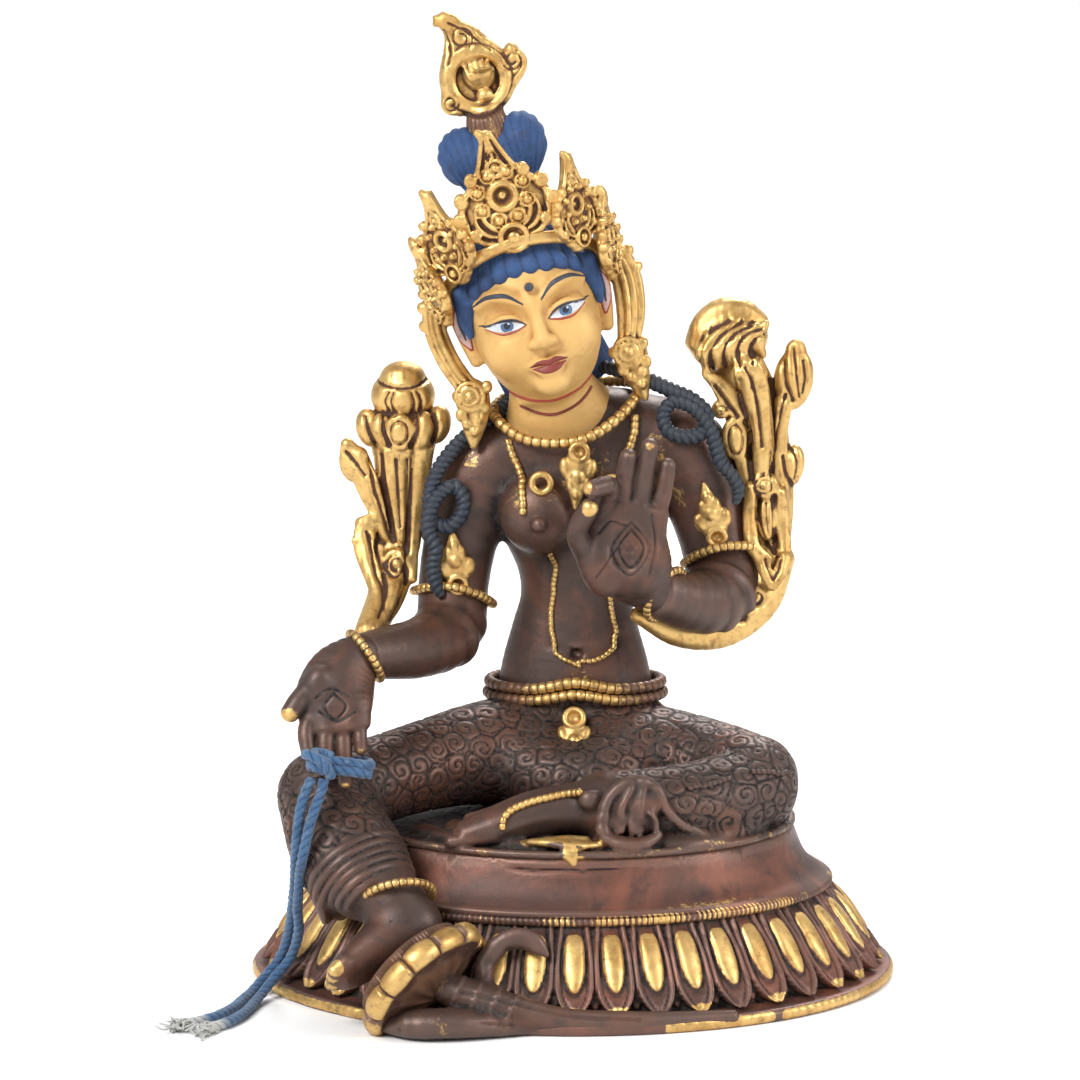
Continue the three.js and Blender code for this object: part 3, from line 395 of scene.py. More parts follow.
def hollows(corners, faces, reach=24, depth=0.35):
    """How far each corner lies in a hollow: 0 on a ridge, 0.5 on a plain stretch and 1 in a crease."""
    smooth = corners
    for _ in range(reach):
        smooth = smooth + 0.6 * (neighbour_mean(smooth, faces) - smooth)
    height = np.einsum("ij,ij->i", corners - smooth, normals_of(corners, faces))
    return np.clip(0.5 - 0.5 * height / depth, 0, 1)


def to_lines(points, lines):
    """The distance from each point to the nearest of several lines, each given as rows of x, y and z."""
    nearest = np.full(len(points), FAR)
    for line in lines:
        line = np.asarray(line, float)
        reach = 4.0
        close = np.all((points > line.min(0) - reach) & (points < line.max(0) + reach), axis=1)
        part = points[close]
        best = np.full(len(part), FAR)
        for a, b in zip(line[:-1], line[1:]):
            axis = b - a
            t = np.clip((part - a) @ axis / max(axis @ axis, 1e-9), 0, 1)
            best = np.minimum(best, np.linalg.norm(part - a - t[:, None] * axis, axis=1))
        nearest[close] = np.minimum(nearest[close], best)
    return nearest


print("wax tools ready")

# %% [markdown]
# Materials are node trees. A small helper adds a node, fills its sockets with values or with other nodes'
# outputs, and gives back the output, so a tree reads as a few nested lines.

# %% Node helpers


class Tree:
    """Short ways to add and join nodes."""

    def __init__(self, tree):
        self.tree = tree

    def add(self, kind, output=0, settings=None, **inputs):
        node = self.tree.nodes.new(kind)
        for name, value in (settings or {}).items():
            setattr(node, name, value)
        for name, value in inputs.items():
            socket = node.inputs[int(name[1:])] if name[0] == "_" else node.inputs[name.replace("_", " ")]
            if isinstance(value, bpy.types.NodeSocket):
                self.tree.links.new(value, socket)
            else:
                socket.default_value = value
        return node.outputs[output]

    def math(self, operation, a, b):
        return self.add("ShaderNodeMath", settings={"operation": operation}, _0=a, _1=b)

    def mix(self, share, a, b, blend="MIX"):
        return self.add("ShaderNodeMix", 2, {"data_type": "RGBA", "blend_type": blend}, _0=share, _6=a, _7=b)

    def ramp(self, value, low, high, start=0.0, end=1.0):
        """Values from start to end, with soft ends, as the input goes from low to high."""
        settings = {"interpolation_type": "SMOOTHSTEP"}
        return self.add("ShaderNodeMapRange", 0, settings, _0=value, _1=low, _2=high, _3=start, _4=end)

    def noise(self, scale, detail=4.0, roughness=0.6, distortion=0.0):
        where = self.add("ShaderNodeTexCoord", "Object")
        return self.add(
            "ShaderNodeTexNoise", "Fac", Vector=where, Scale=scale, Detail=detail, Roughness=roughness,
            Distortion=distortion,
        )

    def attribute(self, name):
        return self.add("ShaderNodeAttribute", "Fac", {"attribute_name": name})

    def group(self, group, **inputs):
        return self.add("ShaderNodeGroup", settings={"node_tree": group}, **inputs)


def new_group(name, inputs, outputs, build):
    """A shader node group with named number or colour sockets; build(tree, inputs) returns its outputs."""
    group = bpy.data.node_groups.new(name, "ShaderNodeTree")
    for label, default in inputs.items():
        kind = "NodeSocketColor" if isinstance(default, tuple) else "NodeSocketFloat"
        socket = group.interface.new_socket(label, in_out="INPUT", socket_type=kind)
        socket.default_value = default
    for label, kind in outputs.items():
        group.interface.new_socket(label, in_out="OUTPUT", socket_type="NodeSocket" + kind)
    entry = group.nodes.new("NodeGroupInput")
    leave = group.nodes.new("NodeGroupOutput")
    for socket, made in zip(leave.inputs, build(Tree(group), entry.outputs)):
        group.links.new(made, socket)
    return group


def new_material(name, build, **shader):
    """A material with one Principled shader; build(tree, sockets) links what varies over the surface."""
    material = bpy.data.materials.new(name)
    material.use_nodes = True
    principled = material.node_tree.nodes["Principled BSDF"]
    for label, value in shader.items():
        principled.inputs[label.replace("_", " ")].default_value = value
    tree = Tree(material.node_tree)
    for label, made in build(tree).items():
        material.node_tree.links.new(made, principled.inputs[label])
    return material


def colour(red, green, blue):
    """A linear colour from the screen values, 0 to 255, that a picture editor shows."""
    screen = (red, green, blue)
    return tuple(((v / 255 + 0.055) / 1.055) ** 2.4 if v > 10 else v / 3294 for v in screen) + (1.0,)


print("node helpers ready")

# %% [markdown]
# Four effects return in nearly every finish, so each is a node group. Wear takes a mask and breaks its edge
# up with noise. Patina mixes three tones in clouds. Shade and dust fill the hollows: a darker colour
# multiplied in there is painted shade, and pale specks in it are dust. Grain is the height of a cast and
# hand-rubbed surface: fine pits and a slow unevenness.

# %% Node groups


def build_wear(tree, inputs):
    blotch = tree.noise(inputs["Scale"], 5.0, 0.65, 0.6)
    fine = tree.noise(tree.math("MULTIPLY", inputs["Scale"], 5.0), 3.0, 0.6)
    uneven = tree.math("ADD", tree.math("MULTIPLY", blotch, 0.7), tree.math("MULTIPLY", fine, 0.3))
    ragged = tree.math("MULTIPLY", tree.math("SUBTRACT", uneven, 0.5), inputs["Breakup"])
    pushed = tree.math("ADD", inputs["Mask"], ragged)
    low = tree.math("SUBTRACT", inputs["Level"], inputs["Softness"])
    high = tree.math("ADD", inputs["Level"], inputs["Softness"])
    return [tree.ramp(pushed, low, high)]


def build_patina(tree, inputs):
    slow = tree.noise(inputs["Scale"], 6.0, 0.62, 0.8)
    quick = tree.noise(tree.math("MULTIPLY", inputs["Scale"], 4.3), 5.0, 0.7, 0.3)
    first = tree.mix(tree.ramp(slow, 0.42, 0.66), inputs["Ground"], inputs["Cloud"])
    return [tree.mix(tree.ramp(quick, 0.5, 0.74, 0.0, 0.75), first, inputs["Fleck"])]


def build_shade_and_dust(tree, inputs):
    # The darker colour multiplied into the deep hollows is painted shade; the pale specks scattered there are
    # dust.
    patchy = tree.noise(220.0, 5.0, 0.6)
    deep = tree.ramp(tree.math("ADD", inputs["Hollow"], tree.math("MULTIPLY", patchy, 0.16)), 0.6, 0.98)
    film = tree.mix(deep, (1.0, 1.0, 1.0, 1.0), inputs["Film"])
    shaded = tree.mix(1.0, inputs["Color"], film, "MULTIPLY")
    speck = tree.ramp(tree.noise(420.0, 5.0, 0.7), 0.42, 0.72)
    dusty = tree.math("MULTIPLY", tree.math("MULTIPLY", deep, speck), inputs["Dustiness"])
    return [tree.mix(dusty, shaded, inputs["Dust"])]


def build_grain(tree, inputs):
    pits = tree.noise(inputs["Scale"], 4.0, 0.7)
    slow = tree.noise(tree.math("MULTIPLY", inputs["Scale"], 0.16), 3.0, 0.5)
    return [tree.math("MULTIPLY", tree.math("ADD", tree.math("MULTIPLY", pits, 0.35), slow), inputs["Depth"])]


WEAR = new_group(
    "worn edge", {"Mask": 0.5, "Scale": 300.0, "Breakup": 0.6, "Level": 0.5, "Softness": 0.06},
    {"Mask": "Float"},
    build_wear,
)
PATINA = new_group(
    "cloudy patina",
    {"Ground": (0.1, 0.1, 0.1, 1), "Cloud": (0.2, 0.2, 0.2, 1), "Fleck": (0.3, 0.3, 0.3, 1), "Scale": 60.0},
    {"Color": "Color"},
    build_patina,
)
# Painted shade in the hollows, with pale dust in them.
SHADE_AND_DUST = new_group(
    "shade and dust in the hollows",
    {
        "Color": (0.5, 0.5, 0.5, 1), "Hollow": 0.5, "Film": (0.2, 0.2, 0.2, 1), "Dust": (0.4, 0.4, 0.4, 1),
        "Dustiness": 0.5,
    },
    {"Color": "Color"},
    build_shade_and_dust,
)
GRAIN = new_group("cast grain", {"Scale": 1500.0, "Depth": 1.0}, {"Height": "Float"}, build_grain)
print("groups:", [g.name for g in bpy.data.node_groups])

# %% [markdown]
# Patinated copper and gilding share one build. Both are cast copper: where the gilt mask is high and not
# rubbed through, the surface is gold, and in the deep hollows it gives way to brown as painted shade;
# elsewhere it is brown, clouded with red copper, darkened in the hollows by painted shade with pale dust in
# it, and a little brighter on the ridges, partly where hands have polished them and partly as a painted
# sheen. The mask and the hollows come from the mesh.

# %% Copper and gilding
GILT_LIGHT = colour(212, 176, 112)
GILT_DEEP = colour(188, 148, 88)
GILT_RUBBED = colour(120, 86, 58)


def metal_bump(tree, scale, depth, distance=0.0003):
    height = tree.group(GRAIN, Scale=scale, Depth=depth)
    return tree.add("ShaderNodeBump", Height=height, Strength=0.5, Distance=distance)


def cast_metal(name, ground, cloud, fleck, film, dust, dustiness, level, breakup=0.55, scale=55.0):
    """Copper with a gilt mask: level is how much mask the gilding needs to have lasted."""

    def build(tree):
        hollow, gilt = tree.attribute("hollow"), tree.attribute("gilt")
        patina = tree.group(PATINA, Ground=ground, Cloud=cloud, Fleck=fleck, Scale=scale)
        # Painted shade and pale dust in the hollows of the bare metal.
        shaded = tree.group(SHADE_AND_DUST, Color=patina, Hollow=hollow, Film=film, Dust=dust, Dustiness=dustiness)
        # Brighter on the ridges: partly metal rubbed by hands, partly a painted sheen.
        rub_and_sheen = tree.ramp(hollow, 0.46, 0.16, 0.0, 0.3)
        bare = tree.mix(rub_and_sheen, shaded, colour(128, 102, 90))
        # In the deep hollows the gold gives way to brown: painted shade there, not wear.
        worn = tree.math("SUBTRACT", gilt, tree.ramp(hollow, 0.58, 0.95, 0.0, 0.75))
        gold_share = tree.group(WEAR, Mask=worn, Scale=330.0, Breakup=breakup, Level=level, Softness=0.07)
        gold = tree.group(PATINA, Ground=GILT_LIGHT, Cloud=GILT_DEEP, Fleck=GILT_RUBBED, Scale=120.0)
        # Painted shade in brown in the hollows of the gold, and dust in them.
        gold = tree.group(
            SHADE_AND_DUST, Color=gold, Hollow=hollow, Film=colour(124, 84, 54), Dust=colour(104, 82, 62),
            Dustiness=0.4,
        )
        rough = tree.ramp(tree.noise(210.0), 0.35, 0.7, 0.36, 0.54)
        bare_rough = tree.ramp(hollow, 0.35, 0.85, 0.43, 0.72)
        gilt_part = tree.math("MULTIPLY", rough, gold_share)
        bare_part = tree.math("MULTIPLY", bare_rough, tree.math("SUBTRACT", 1.0, gold_share))
        return {
            "Base Color": tree.mix(gold_share, bare, gold),
            "Metallic": tree.ramp(gold_share, 0.0, 1.0, 0.4, 0.86),
            "Roughness": tree.math("ADD", gilt_part, bare_part),
            "Normal": metal_bump(tree, 1500.0, 1.0),
        }

    return new_material(name, build)


# The fourth colour of each is the painted shade in its hollows, the fifth the dust that lies there.
COPPER = cast_metal(
    "patinated copper", colour(70, 53, 47), colour(94, 62, 49), colour(50, 41, 39), colour(84, 76, 74),
    colour(112, 103, 97), 0.45, 0.42, 0.9,
)
RED_COPPER = cast_metal(
    "red patinated copper", colour(80, 54, 46), colour(118, 71, 55), colour(52, 41, 38), colour(84, 72, 68),
    colour(110, 100, 92), 0.45, 0.42, 0.8, 40.0,
)
GILDING = cast_metal(
    "gilding", colour(96, 68, 52), colour(116, 80, 54), colour(74, 56, 48), colour(186, 164, 150),
    colour(104, 88, 76), 0.35, 0.38, 0.72,
)
print("metals:", COPPER.name, RED_COPPER.name, GILDING.name)

# %% [markdown]
# The paints are mineral colours in a matt binder. They cloud a little, take painted shade in the hollows, and
# keep almost no shine. Face gold is powdered gold in glue: it has a soft metallic warmth but no mirror in it.

# %% Paints


def paint(
    name, ground, cloud, fleck, roughness, metallic=0.0, depth=0.6, scale=90.0,
    film=(0.35, 0.33, 0.33, 1.0),
):
    def build(tree):
        mottled = tree.group(PATINA, Ground=ground, Cloud=cloud, Fleck=fleck, Scale=scale)
        # Painted shade in the hollows, in the shade colour, and a little dust of the ground colour.
        shaded = tree.group(
            SHADE_AND_DUST, Color=mottled, Hollow=tree.attribute("hollow"), Film=film, Dust=ground, Dustiness=0.3
        )
        return {
            "Base Color": shaded,
            "Roughness": tree.ramp(tree.noise(240.0), 0.3, 0.7, roughness - 0.06, roughness + 0.08),
            "Normal": metal_bump(tree, 1300.0, depth, 0.0002),
        }

    return new_material(name, build, Metallic=metallic)


# Its last colour is the brown of the painted shade in the face's hollows.
FACE_GOLD = paint(
    "face gold", colour(202, 162, 98), colour(194, 150, 86), colour(178, 134, 76), 0.58, 0.2, 0.4, 60.0,
    (0.55, 0.38, 0.25, 1.0),
)
HAIR_BLUE = paint("hair blue", colour(40, 70, 114), colour(32, 56, 98), colour(34, 44, 68), 0.74)
INDIGO = paint("indigo", colour(42, 48, 56), colour(36, 44, 58), colour(52, 53, 56), 0.6, 0.15)
BROW_INK = paint("brow ink", colour(50, 54, 64), colour(42, 48, 62), colour(66, 66, 68), 0.6)
EYE_WHITE = paint("eye white", colour(196, 198, 200), colour(182, 188, 196), colour(172, 176, 182), 0.45)
IRIS_BLUE = paint("iris blue", colour(74, 104, 142), colour(60, 90, 130), colour(48, 74, 110), 0.4)
PUPIL_INK = paint("pupil ink", colour(22, 28, 44), colour(18, 22, 34), colour(30, 34, 46), 0.35)
LIP_RED = paint("lip red", colour(118, 44, 36), colour(104, 36, 32), colour(90, 34, 30), 0.5)
LINE_RED = paint("line red", colour(150, 56, 36), colour(134, 48, 34), colour(112, 44, 34), 0.55)
EAR_PINK = paint("ear pink", colour(190, 158, 152), colour(168, 136, 132), colour(120, 108, 106), 0.55)
print("paints:", [m.name for m in bpy.data.materials])

# %% [markdown]
# The cord is cotton twine, dyed blue and faded unevenly, with its bare ends bleached to grey-white. Cotton
# has no shine, but loose fibres catch light at grazing angles, which the sheen of the shader gives.

# %% Cotton


def build_cotton(tree):
    faded = tree.group(
        PATINA, Ground=colour(56, 90, 126), Cloud=colour(46, 76, 110), Fleck=colour(104, 124, 138),
        Scale=150.0,
    )
    worn = tree.mix(tree.ramp(tree.attribute("bleached"), 0.2, 0.8), faded, colour(168, 168, 164))
    # Painted shade between the plies and round the knot, without dust.
    shaded = tree.group(
        SHADE_AND_DUST, Color=worn, Hollow=tree.attribute("hollow"), Film=colour(120, 130, 150), Dust=worn,
        Dustiness=0.0
    )
    fibres = tree.noise(5200.0, 3.0, 0.7)
    return {
        "Base Color": shaded,
        "Normal": tree.add("ShaderNodeBump", Height=fibres, Strength=0.6, Distance=0.0002),
    }


COTTON = new_material(
    "faded blue cotton", build_cotton, Roughness=0.95, Sheen_Weight=0.25, Sheen_Roughness=0.5,
)
print("cloth:", COTTON.name)

# %% [markdown]
# The studio: a pale sweep that curves up behind, so no horizon shows, a broad key light from the upper
# left, a weaker one from the right, one from above and behind to draw the outline, and an even pale
# surround.

# %% Stage and light


def build_sweep(tree):
    return {"Base Color": tree.mix(tree.noise(2.0), (0.86, 0.86, 0.86, 1), (0.9, 0.9, 0.9, 1))}


def make_stage():
    half, back, rise, bend = 2600.0, 900.0, 2200.0, 700.0  # millimetres
    arc = [(back + bend * math.sin(a), bend * (1 - math.cos(a))) for a in np.linspace(0, math.pi / 2, 14)]
    profile = [(-half, 0.0), (0.0, 0.0), *arc, (back + bend, rise)]
    corners = [(x, y, z) for y, z in profile for x in (-half, half)]
    faces = [(2 * i, 2 * i + 1, 2 * i + 3, 2 * i + 2) for i in range(len(profile) - 1)]
    sweep = make_mesh("studio_sweep", corners, faces, new_material("pale sweep", build_sweep, Roughness=0.8))


def make_lamp(name, place, size, power):
    data = bpy.data.lights.new(name, "AREA")
    data.shape, data.size, data.energy = "DISK", size * MM, power
    lamp = bpy.data.objects.new(name, data)
    lamp.location = Vector(place) * MM
    lamp.rotation_euler = (Vector(place) - Vector(HEART)).to_track_quat("Z", "Y").to_euler()
    bpy.context.scene.collection.objects.link(lamp)


make_stage()
HEART = (0, 0, 100)  # where the lamps are aimed
make_lamp("key_light", (-620, -760, 820), 560, 15.0)
make_lamp("side_light", (860, -420, 520), 520, 5.5)
make_lamp("rim_light", (220, 760, 900), 500, 9.0)
world = bpy.data.worlds.new("even surround")
world.use_nodes = True
surround = world.node_tree.nodes["Background"].inputs
surround["Color"].default_value = (1.0, 1.0, 1.0, 1.0)
surround["Strength"].default_value = 0.6
bpy.context.scene.world = world
bpy.context.scene.view_settings.view_transform = "Standard"

# %% [markdown]
# Cords, beads, ropes and wires are all tubes along a line whose thickness changes along it and round it.
# One helper sweeps a ring of corners along the line without twisting it, and closes both ends with a point.
# A ply is a lobe of the section that winds round as it goes along; a bead is a swelling that repeats.

# %% Swept tubes


def carried_frames(path, closed=False):
    """Two directions square to a line at each of its points, carried along it without twist."""
    along = unit(np.roll(path, -1, 0) - np.roll(path, 1, 0) if closed else np.gradient(path, axis=0))
    across = np.empty_like(path)
    across[0] = unit(np.cross(along[0], (0.21, 0.93, 0.31)))
    for i in range(1, len(path)):
        across[i] = unit(across[i - 1] - along[i] * (across[i - 1] @ along[i]))
    if closed:
        last = unit(across[-1] - along[0] * (across[-1] @ along[0]))
        drift = math.atan2(np.dot(np.cross(last, across[0]), along[0]), last @ across[0])
        share = np.arange(len(path))[:, None] / len(path) * drift
        across = across * np.cos(share) + np.cross(along, across) * np.sin(share)
    return along, across, np.cross(along, across)


def swept(path, radius_at, sides, closed=False):
    """Corners, faces and hollows of a tube; radius_at(length along, angle round) gives radius and hollow."""
    path = np.asarray(path, float)
    _, across, over = carried_frames(path, closed)
    travel = np.concatenate([[0], np.cumsum(np.linalg.norm(np.diff(path, axis=0), axis=1))])
    angle = np.arange(sides) / sides * 2 * math.pi
    radius, hollow = radius_at(travel[:, None], angle[None, :])
    radius, hollow = (np.broadcast_to(v, (len(path), sides)) for v in (radius, hollow))
    ring = np.cos(angle)[None, :, None] * across[:, None] + np.sin(angle)[None, :, None] * over[:, None]
    corners = (path[:, None] + radius[..., None] * ring).reshape(-1, 3)
    rows = len(path) if closed else len(path) - 1
    i, j = np.meshgrid(np.arange(rows), np.arange(sides), indexing="ij")
    here, there = i * sides, (i + 1) % len(path) * sides
    nextj = (j + 1) % sides
    faces = np.stack([here + j, here + nextj, there + nextj, there + j], axis=-1).reshape(-1, 4)
    if not closed:
        tips = len(corners) + np.array([0, 1])
        corners = np.vstack([corners, path[0], path[-1]])
        hollow = np.append(hollow.ravel(), [0.5, 0.5])
        side = np.arange(0, sides, 2)
        first = np.stack([np.full(len(side), tips[0]), (side + 2) % sides, side + 1, side], axis=1)
        last = (len(path) - 1) * sides + side
        end = np.stack(
            [np.full(len(side), tips[1]), last, last + 1, last - side + (side + 2) % sides], axis=1,
        )
        faces = np.vstack([faces, first, end])
    return corners, faces, np.asarray(hollow).ravel()


def merged(parts):
    """Several (corners, faces, ...) as one, with the faces renumbered."""
    parts = [tuple(np.asarray(a) for a in part) for part in parts]
    starts = np.cumsum([0] + [len(part[0]) for part in parts[:-1]])
    faces = np.vstack([part[1] + start for part, start in zip(parts, starts)])
    others = [np.concatenate([part[i] for part in parts]) for i in range(2, len(parts[0]))]
    return (np.vstack([part[0] for part in parts]), faces, *others)


def line_length(path):
    return float(np.linalg.norm(np.diff(np.asarray(path)[:, :3], axis=0), axis=1).sum())


def plied(radius, plies, pitch, depth=0.16, wobble=0.0):
    """The section of a rope: as many lobes as plies, winding once round in one pitch."""

    def at(travel, angle):
        turn = angle - travel / pitch * 2 * math.pi
        lobe = np.abs(np.cos(turn * plies / 2))
        uneven = 1 + wobble * np.sin(travel * 0.9 + 2 * np.sin(travel * 0.37))
        # The second value is high in the grooves between the plies, where painted shade goes.
        return radius * uneven * (1 - depth + depth * lobe**0.7), 0.95 - 0.6 * lobe**0.6

    return at


print("tube helper ready")

# %% [markdown]
# A length of faded cotton twine is looped round two fingers of the lowered hand and knotted, and its two
# ends hang down the calf, pass the petals and lie on the ground. Its route repeats the one that the model
# was packed with. The twine is three plies wound round each other, so the tube has three winding lobes, and
# each end is frayed into loose bleached yarns.

# %% The cord
CORD_DIAMETER = 2.2
CORD_LOOP = [
    (-53.4, -41.2, 56.2), (-48.4, -41.2, 55.6), (-43.9, -38.4, 54.4), (-44.6, -33.6, 54.2), (-50, -32, 54),
    (-55.4, -33.6, 53.8), (-56.4, -37.8, 54.2),
]
CORD_HITCH = [(-57.4, -42, 57.6), (-56.6, -44.2, 58), (-54.6, -45, 57), (-52.6, -44.4, 55), (-52, -43.2, 53)]
CORD_KNOT = np.array((-54.4, -42.4, 56.2))
STRANDS = [
    [
        (-55.9, -43, 52.6), (-57.3, -43.6, 50), (-58.3, -44, 46.6), (-58.9, -44, 43.2),
        (-59.3, -43.6, 39.6), (-59.7, -41.8, 35.4), (-60, -38.8, 30.9), (-60.4, -35.4, 26.2),
        (-61, -31.6, 21.4), (-61.7, -28.2, 16.6), (-62.8, -25.2, 12), (-64.4, -23.2, 7.9),
        (-67, -23.4, 4.6), (-69.8, -26.6, 2), (-72, -33, 1.25), (-74, -40.6, 1.25), (-77.4, -47.6, 1.25),
        (-82.6, -52.8, 1.25),
    ],
    [
        (-53.4, -43.2, 52.4), (-54, -44, 49.8), (-55.2, -44.6, 46.8), (-56.3, -45.8, 43.4),
        (-57.2, -46, 39.6), (-58.1, -45.2, 35.4), (-58.8, -42, 31.4), (-59.3, -38.6, 26.4),
        (-59.7, -34.4, 21.6), (-59.6, -30.8, 16.8), (-60.4, -27.8, 12.6), (-62, -26, 8.5),
        (-65, -26.4, 4.9), (-67.6, -30, 2.2), (-69.4, -36.6, 1.25), (-71, -44, 1.25), (-73.6, -51, 1.25),
        (-77.6, -56.8, 1.25),
    ],
]
TWINE = plied(CORD_DIAMETER / 2 + 0.05, 3, 6.2, 0.2, 0.03)
ROPE_STEP = 0.4


def bleaching(corners, end, reach):
    """1 at a bare end of the cord, fading to 0 over the reach."""
    return np.clip(1.25 - np.linalg.norm(corners - np.array(end), axis=1) / reach, 0, 1)


def make_strand(number, points):
    path = smooth_path(points, int(line_length(points) / ROPE_STEP))
    corners, faces, hollow = swept(path, TWINE, 24)
    values = {"hollow": hollow, "bleached": bleaching(corners, path[-1], 6.0)}
    strand = make_mesh(f"cord_strand_{number}_twine", corners, faces, COTTON, values)
    return dress(strand, f"cord_strand_{number}"), path


def make_tuft(number, path, seed, spread=2.0, length=3.6, yarns=46):
    """Loose yarns that fan out from a bare end and curl back on themselves, none lower than the ground."""
    random = np.random.default_rng(seed)
    ahead = unit(path[-1] - path[-4])
    parts = []
    for _ in range(yarns):
        aside = random.normal(0, 1, 3) * (1, 1, 0.55)
        reach = length * random.uniform(0.45, 1.0)
        start = path[-1] - ahead * 1.6 + aside * 0.35
        middle = path[-1] + ahead * reach * 0.45 + aside * spread * 0.42
        tip = path[-1] + ahead * reach + random.normal(0, spread * 0.5, 3) * (1, 1, 0.6)
        curl = tip + unit(random.normal(0, 1, 3)) * 1.5
        yarn = smooth_path([start, middle, tip, curl], 12)
        yarn[:, 2] = np.maximum(yarn[:, 2], 0.35)
        parts.append(swept(yarn, lambda travel, angle: (0.26, 0.4), 6))
    corners, faces, hollow = merged(parts)
    values = {"hollow": hollow, "bleached": np.ones(len(corners))}
    return dress(make_mesh(f"cord_tuft_{number}", corners, faces, COTTON, values))


def make_knot():
    """The loop round the fingers, doubled on its near side, and the wraps of the knot that closes it."""
    loop = smooth_path(CORD_LOOP, 110, closed=True)
    second = smooth_path([p + np.array((0.2, -0.5, -1.75)) for p in np.array(CORD_LOOP)[:3]], 34)
    turns = np.linspace(0, 2.3 * 2 * math.pi, 70)
    wraps = np.stack([1.65 * np.cos(turns), 1.5 * np.sin(turns), 1.9 - turns * 0.27], axis=1)
    wraps = CORD_KNOT + wraps @ turn_matrix(y=24).T
    hitch = smooth_path(CORD_HITCH, 40)
    parts = [swept(loop, TWINE, 24, closed=True)]
    parts += [swept(line, TWINE, 24) for line in (second, wraps, hitch)]
    corners, faces, hollow = merged(parts)
    values = {"hollow": hollow, "bleached": np.zeros(len(corners))}
    return dress(make_mesh("cord_knot_twine", corners, faces, COTTON, values), "cord_knot")


knot = make_knot()
for number, points in enumerate(STRANDS, 1):
    strand, path = make_strand(number, points)
    tuft = make_tuft(number, path, seed=number)
    print("strand", number, "is", round(line_length(path), 1), "mm long")

# %% [markdown]
# The base is a lotus: a rim on the ground, a slope of petals that point down and outwards, a ring of beads,
# and the drum on which the figure sits. On the real one this is a hollow casting with the petals chased
# into it. It could be one petal copied round, but each petal melts into the slope, so the base is one skin
# instead: a profile carried round an oval, pushed in and out by a relief that is worked out in each petal's
# own measures.

# %% The base's sizes
RIM_HALF = np.array((71.4, 60.0))  # half width and half depth
PETAL_FOOT = np.array((66.4, 55.0, 3.6))
PETAL_HEAD = np.array((56.5, 44.7, 20.5))
DRUM_FOOT = np.array((52.5, 43.5, 23.3))
DRUM_HEAD = np.array((49.1, 40.1, SEAT_HEIGHT))
PETAL_BULGE = 1.2
PETAL_COUNT = 42
PLAIN_BEHIND = 11  # this many petals are left out at the back
COLUMNS_PER_PETAL = 20
RIM_RADIUS = 66.0  # of a round rim as long as the oval one
PETAL_ROWS = 56
PETAL_HALF_WIDTH = 4.15


def soft_step(value, low, high):
    t = np.clip((value - low) / (high - low), 0, 1)
    return t * t * (3 - 2 * t)


def bell(value, centre, width):
    return np.exp(-(((value - centre) / width) ** 2))


def oval_turns(count):
    """Angles that step evenly round the oval of the petals, from the middle of the back."""
    fine = np.linspace(0, 2 * math.pi, 2001) + math.pi / 2
    middle = (PETAL_FOOT[:2] + PETAL_HEAD[:2]) / 2
    walk = np.stack([middle[0] * np.cos(fine), middle[1] * np.sin(fine)], axis=1)
    travel = np.concatenate([[0], np.cumsum(np.linalg.norm(np.diff(walk, axis=0), axis=1))])
    return np.interp(np.arange(count) / count * travel[-1], travel, fine), travel[-1]


columns = PETAL_COUNT * COLUMNS_PER_PETAL
turns, petal_walk = oval_turns(columns)
PETAL_PITCH = petal_walk / PETAL_COUNT
print("one petal every", round(PETAL_PITCH, 2), "mm, over", columns, "columns")

# %% [markdown]
# A petal's relief: inside its outline it lifts off the slope, most at the tip, which curls out to a point.
# Its edge is a raised border with a groove inside, and in its middle stands a long gilded boss. Between two
# petals the point of one behind them shows.

# %% Petal relief


def petal_relief(across, along, seed):
    """Height and gilt mask at a place across a petal, in millimetres, and along it, from head 0 to tip 1."""
    half = PETAL_HALF_WIDTH * (0.86 + 0.14 * soft_step(along, 0, 0.4))
    closing = np.clip((along - 0.62) / 0.38, 0, 1)
    half = half * np.sqrt(np.clip(1 - closing**1.7, 0, 1))
    edge = half - np.abs(across)
    inside = soft_step(edge, -0.25, 0.35)
    lift = 0.5 + 1.9 * soft_step(along, 0.45, 0.97)
    border = 0.65 * bell(edge, 0.6, 0.4) - 0.45 * bell(edge, 1.4, 0.35)
    ridge = 0.5 * soft_step(along, 0.8, 0.96) * np.clip(1 - np.abs(across) / 1.6, 0, 1)
    power = np.where(along < 0.4, 3.6, 1.9)
    far = np.abs(along - 0.4) / np.where(along < 0.4, 0.33, 0.34)
    boss_reach = (np.abs(across / 2.4) ** power + far**power) ** (1 / power)
    boss = 1.35 * np.sqrt(np.clip(1 - boss_reach**2, 0, 1))
    moat = -0.45 * bell(boss_reach, 1.12, 0.14) * (along < 0.8)
    behind = np.abs(across) - PETAL_PITCH / 2
    spare_half = 1.7 * np.sqrt(np.clip(1 - np.clip((along - 0.6) / 0.36, 0, 1) ** 2, 0, 1))
    spare = 0.9 * soft_step(spare_half - np.abs(behind), -0.3, 0.5) * soft_step(along, 0.45, 0.85) - 0.5
    face = (lift + border + ridge + boss + moat) * inside
    height = np.where(inside > 0.5, face, np.maximum(face - 0.5, spare * (1 - inside)))
    tip = bell(along, 0.93, 0.07) * bell(across, 0, 1.8) * (0.25 + 0.75 * (np.sin(seed * 2.7) > 0.1))
    gilt = np.maximum(
        0.68 * soft_step(boss_reach, 1.06, 0.86), 0.62 * tip + 0.3 * bell(edge, 0.6, 0.5) * (along > 0.7),
    )
    return height, gilt * inside


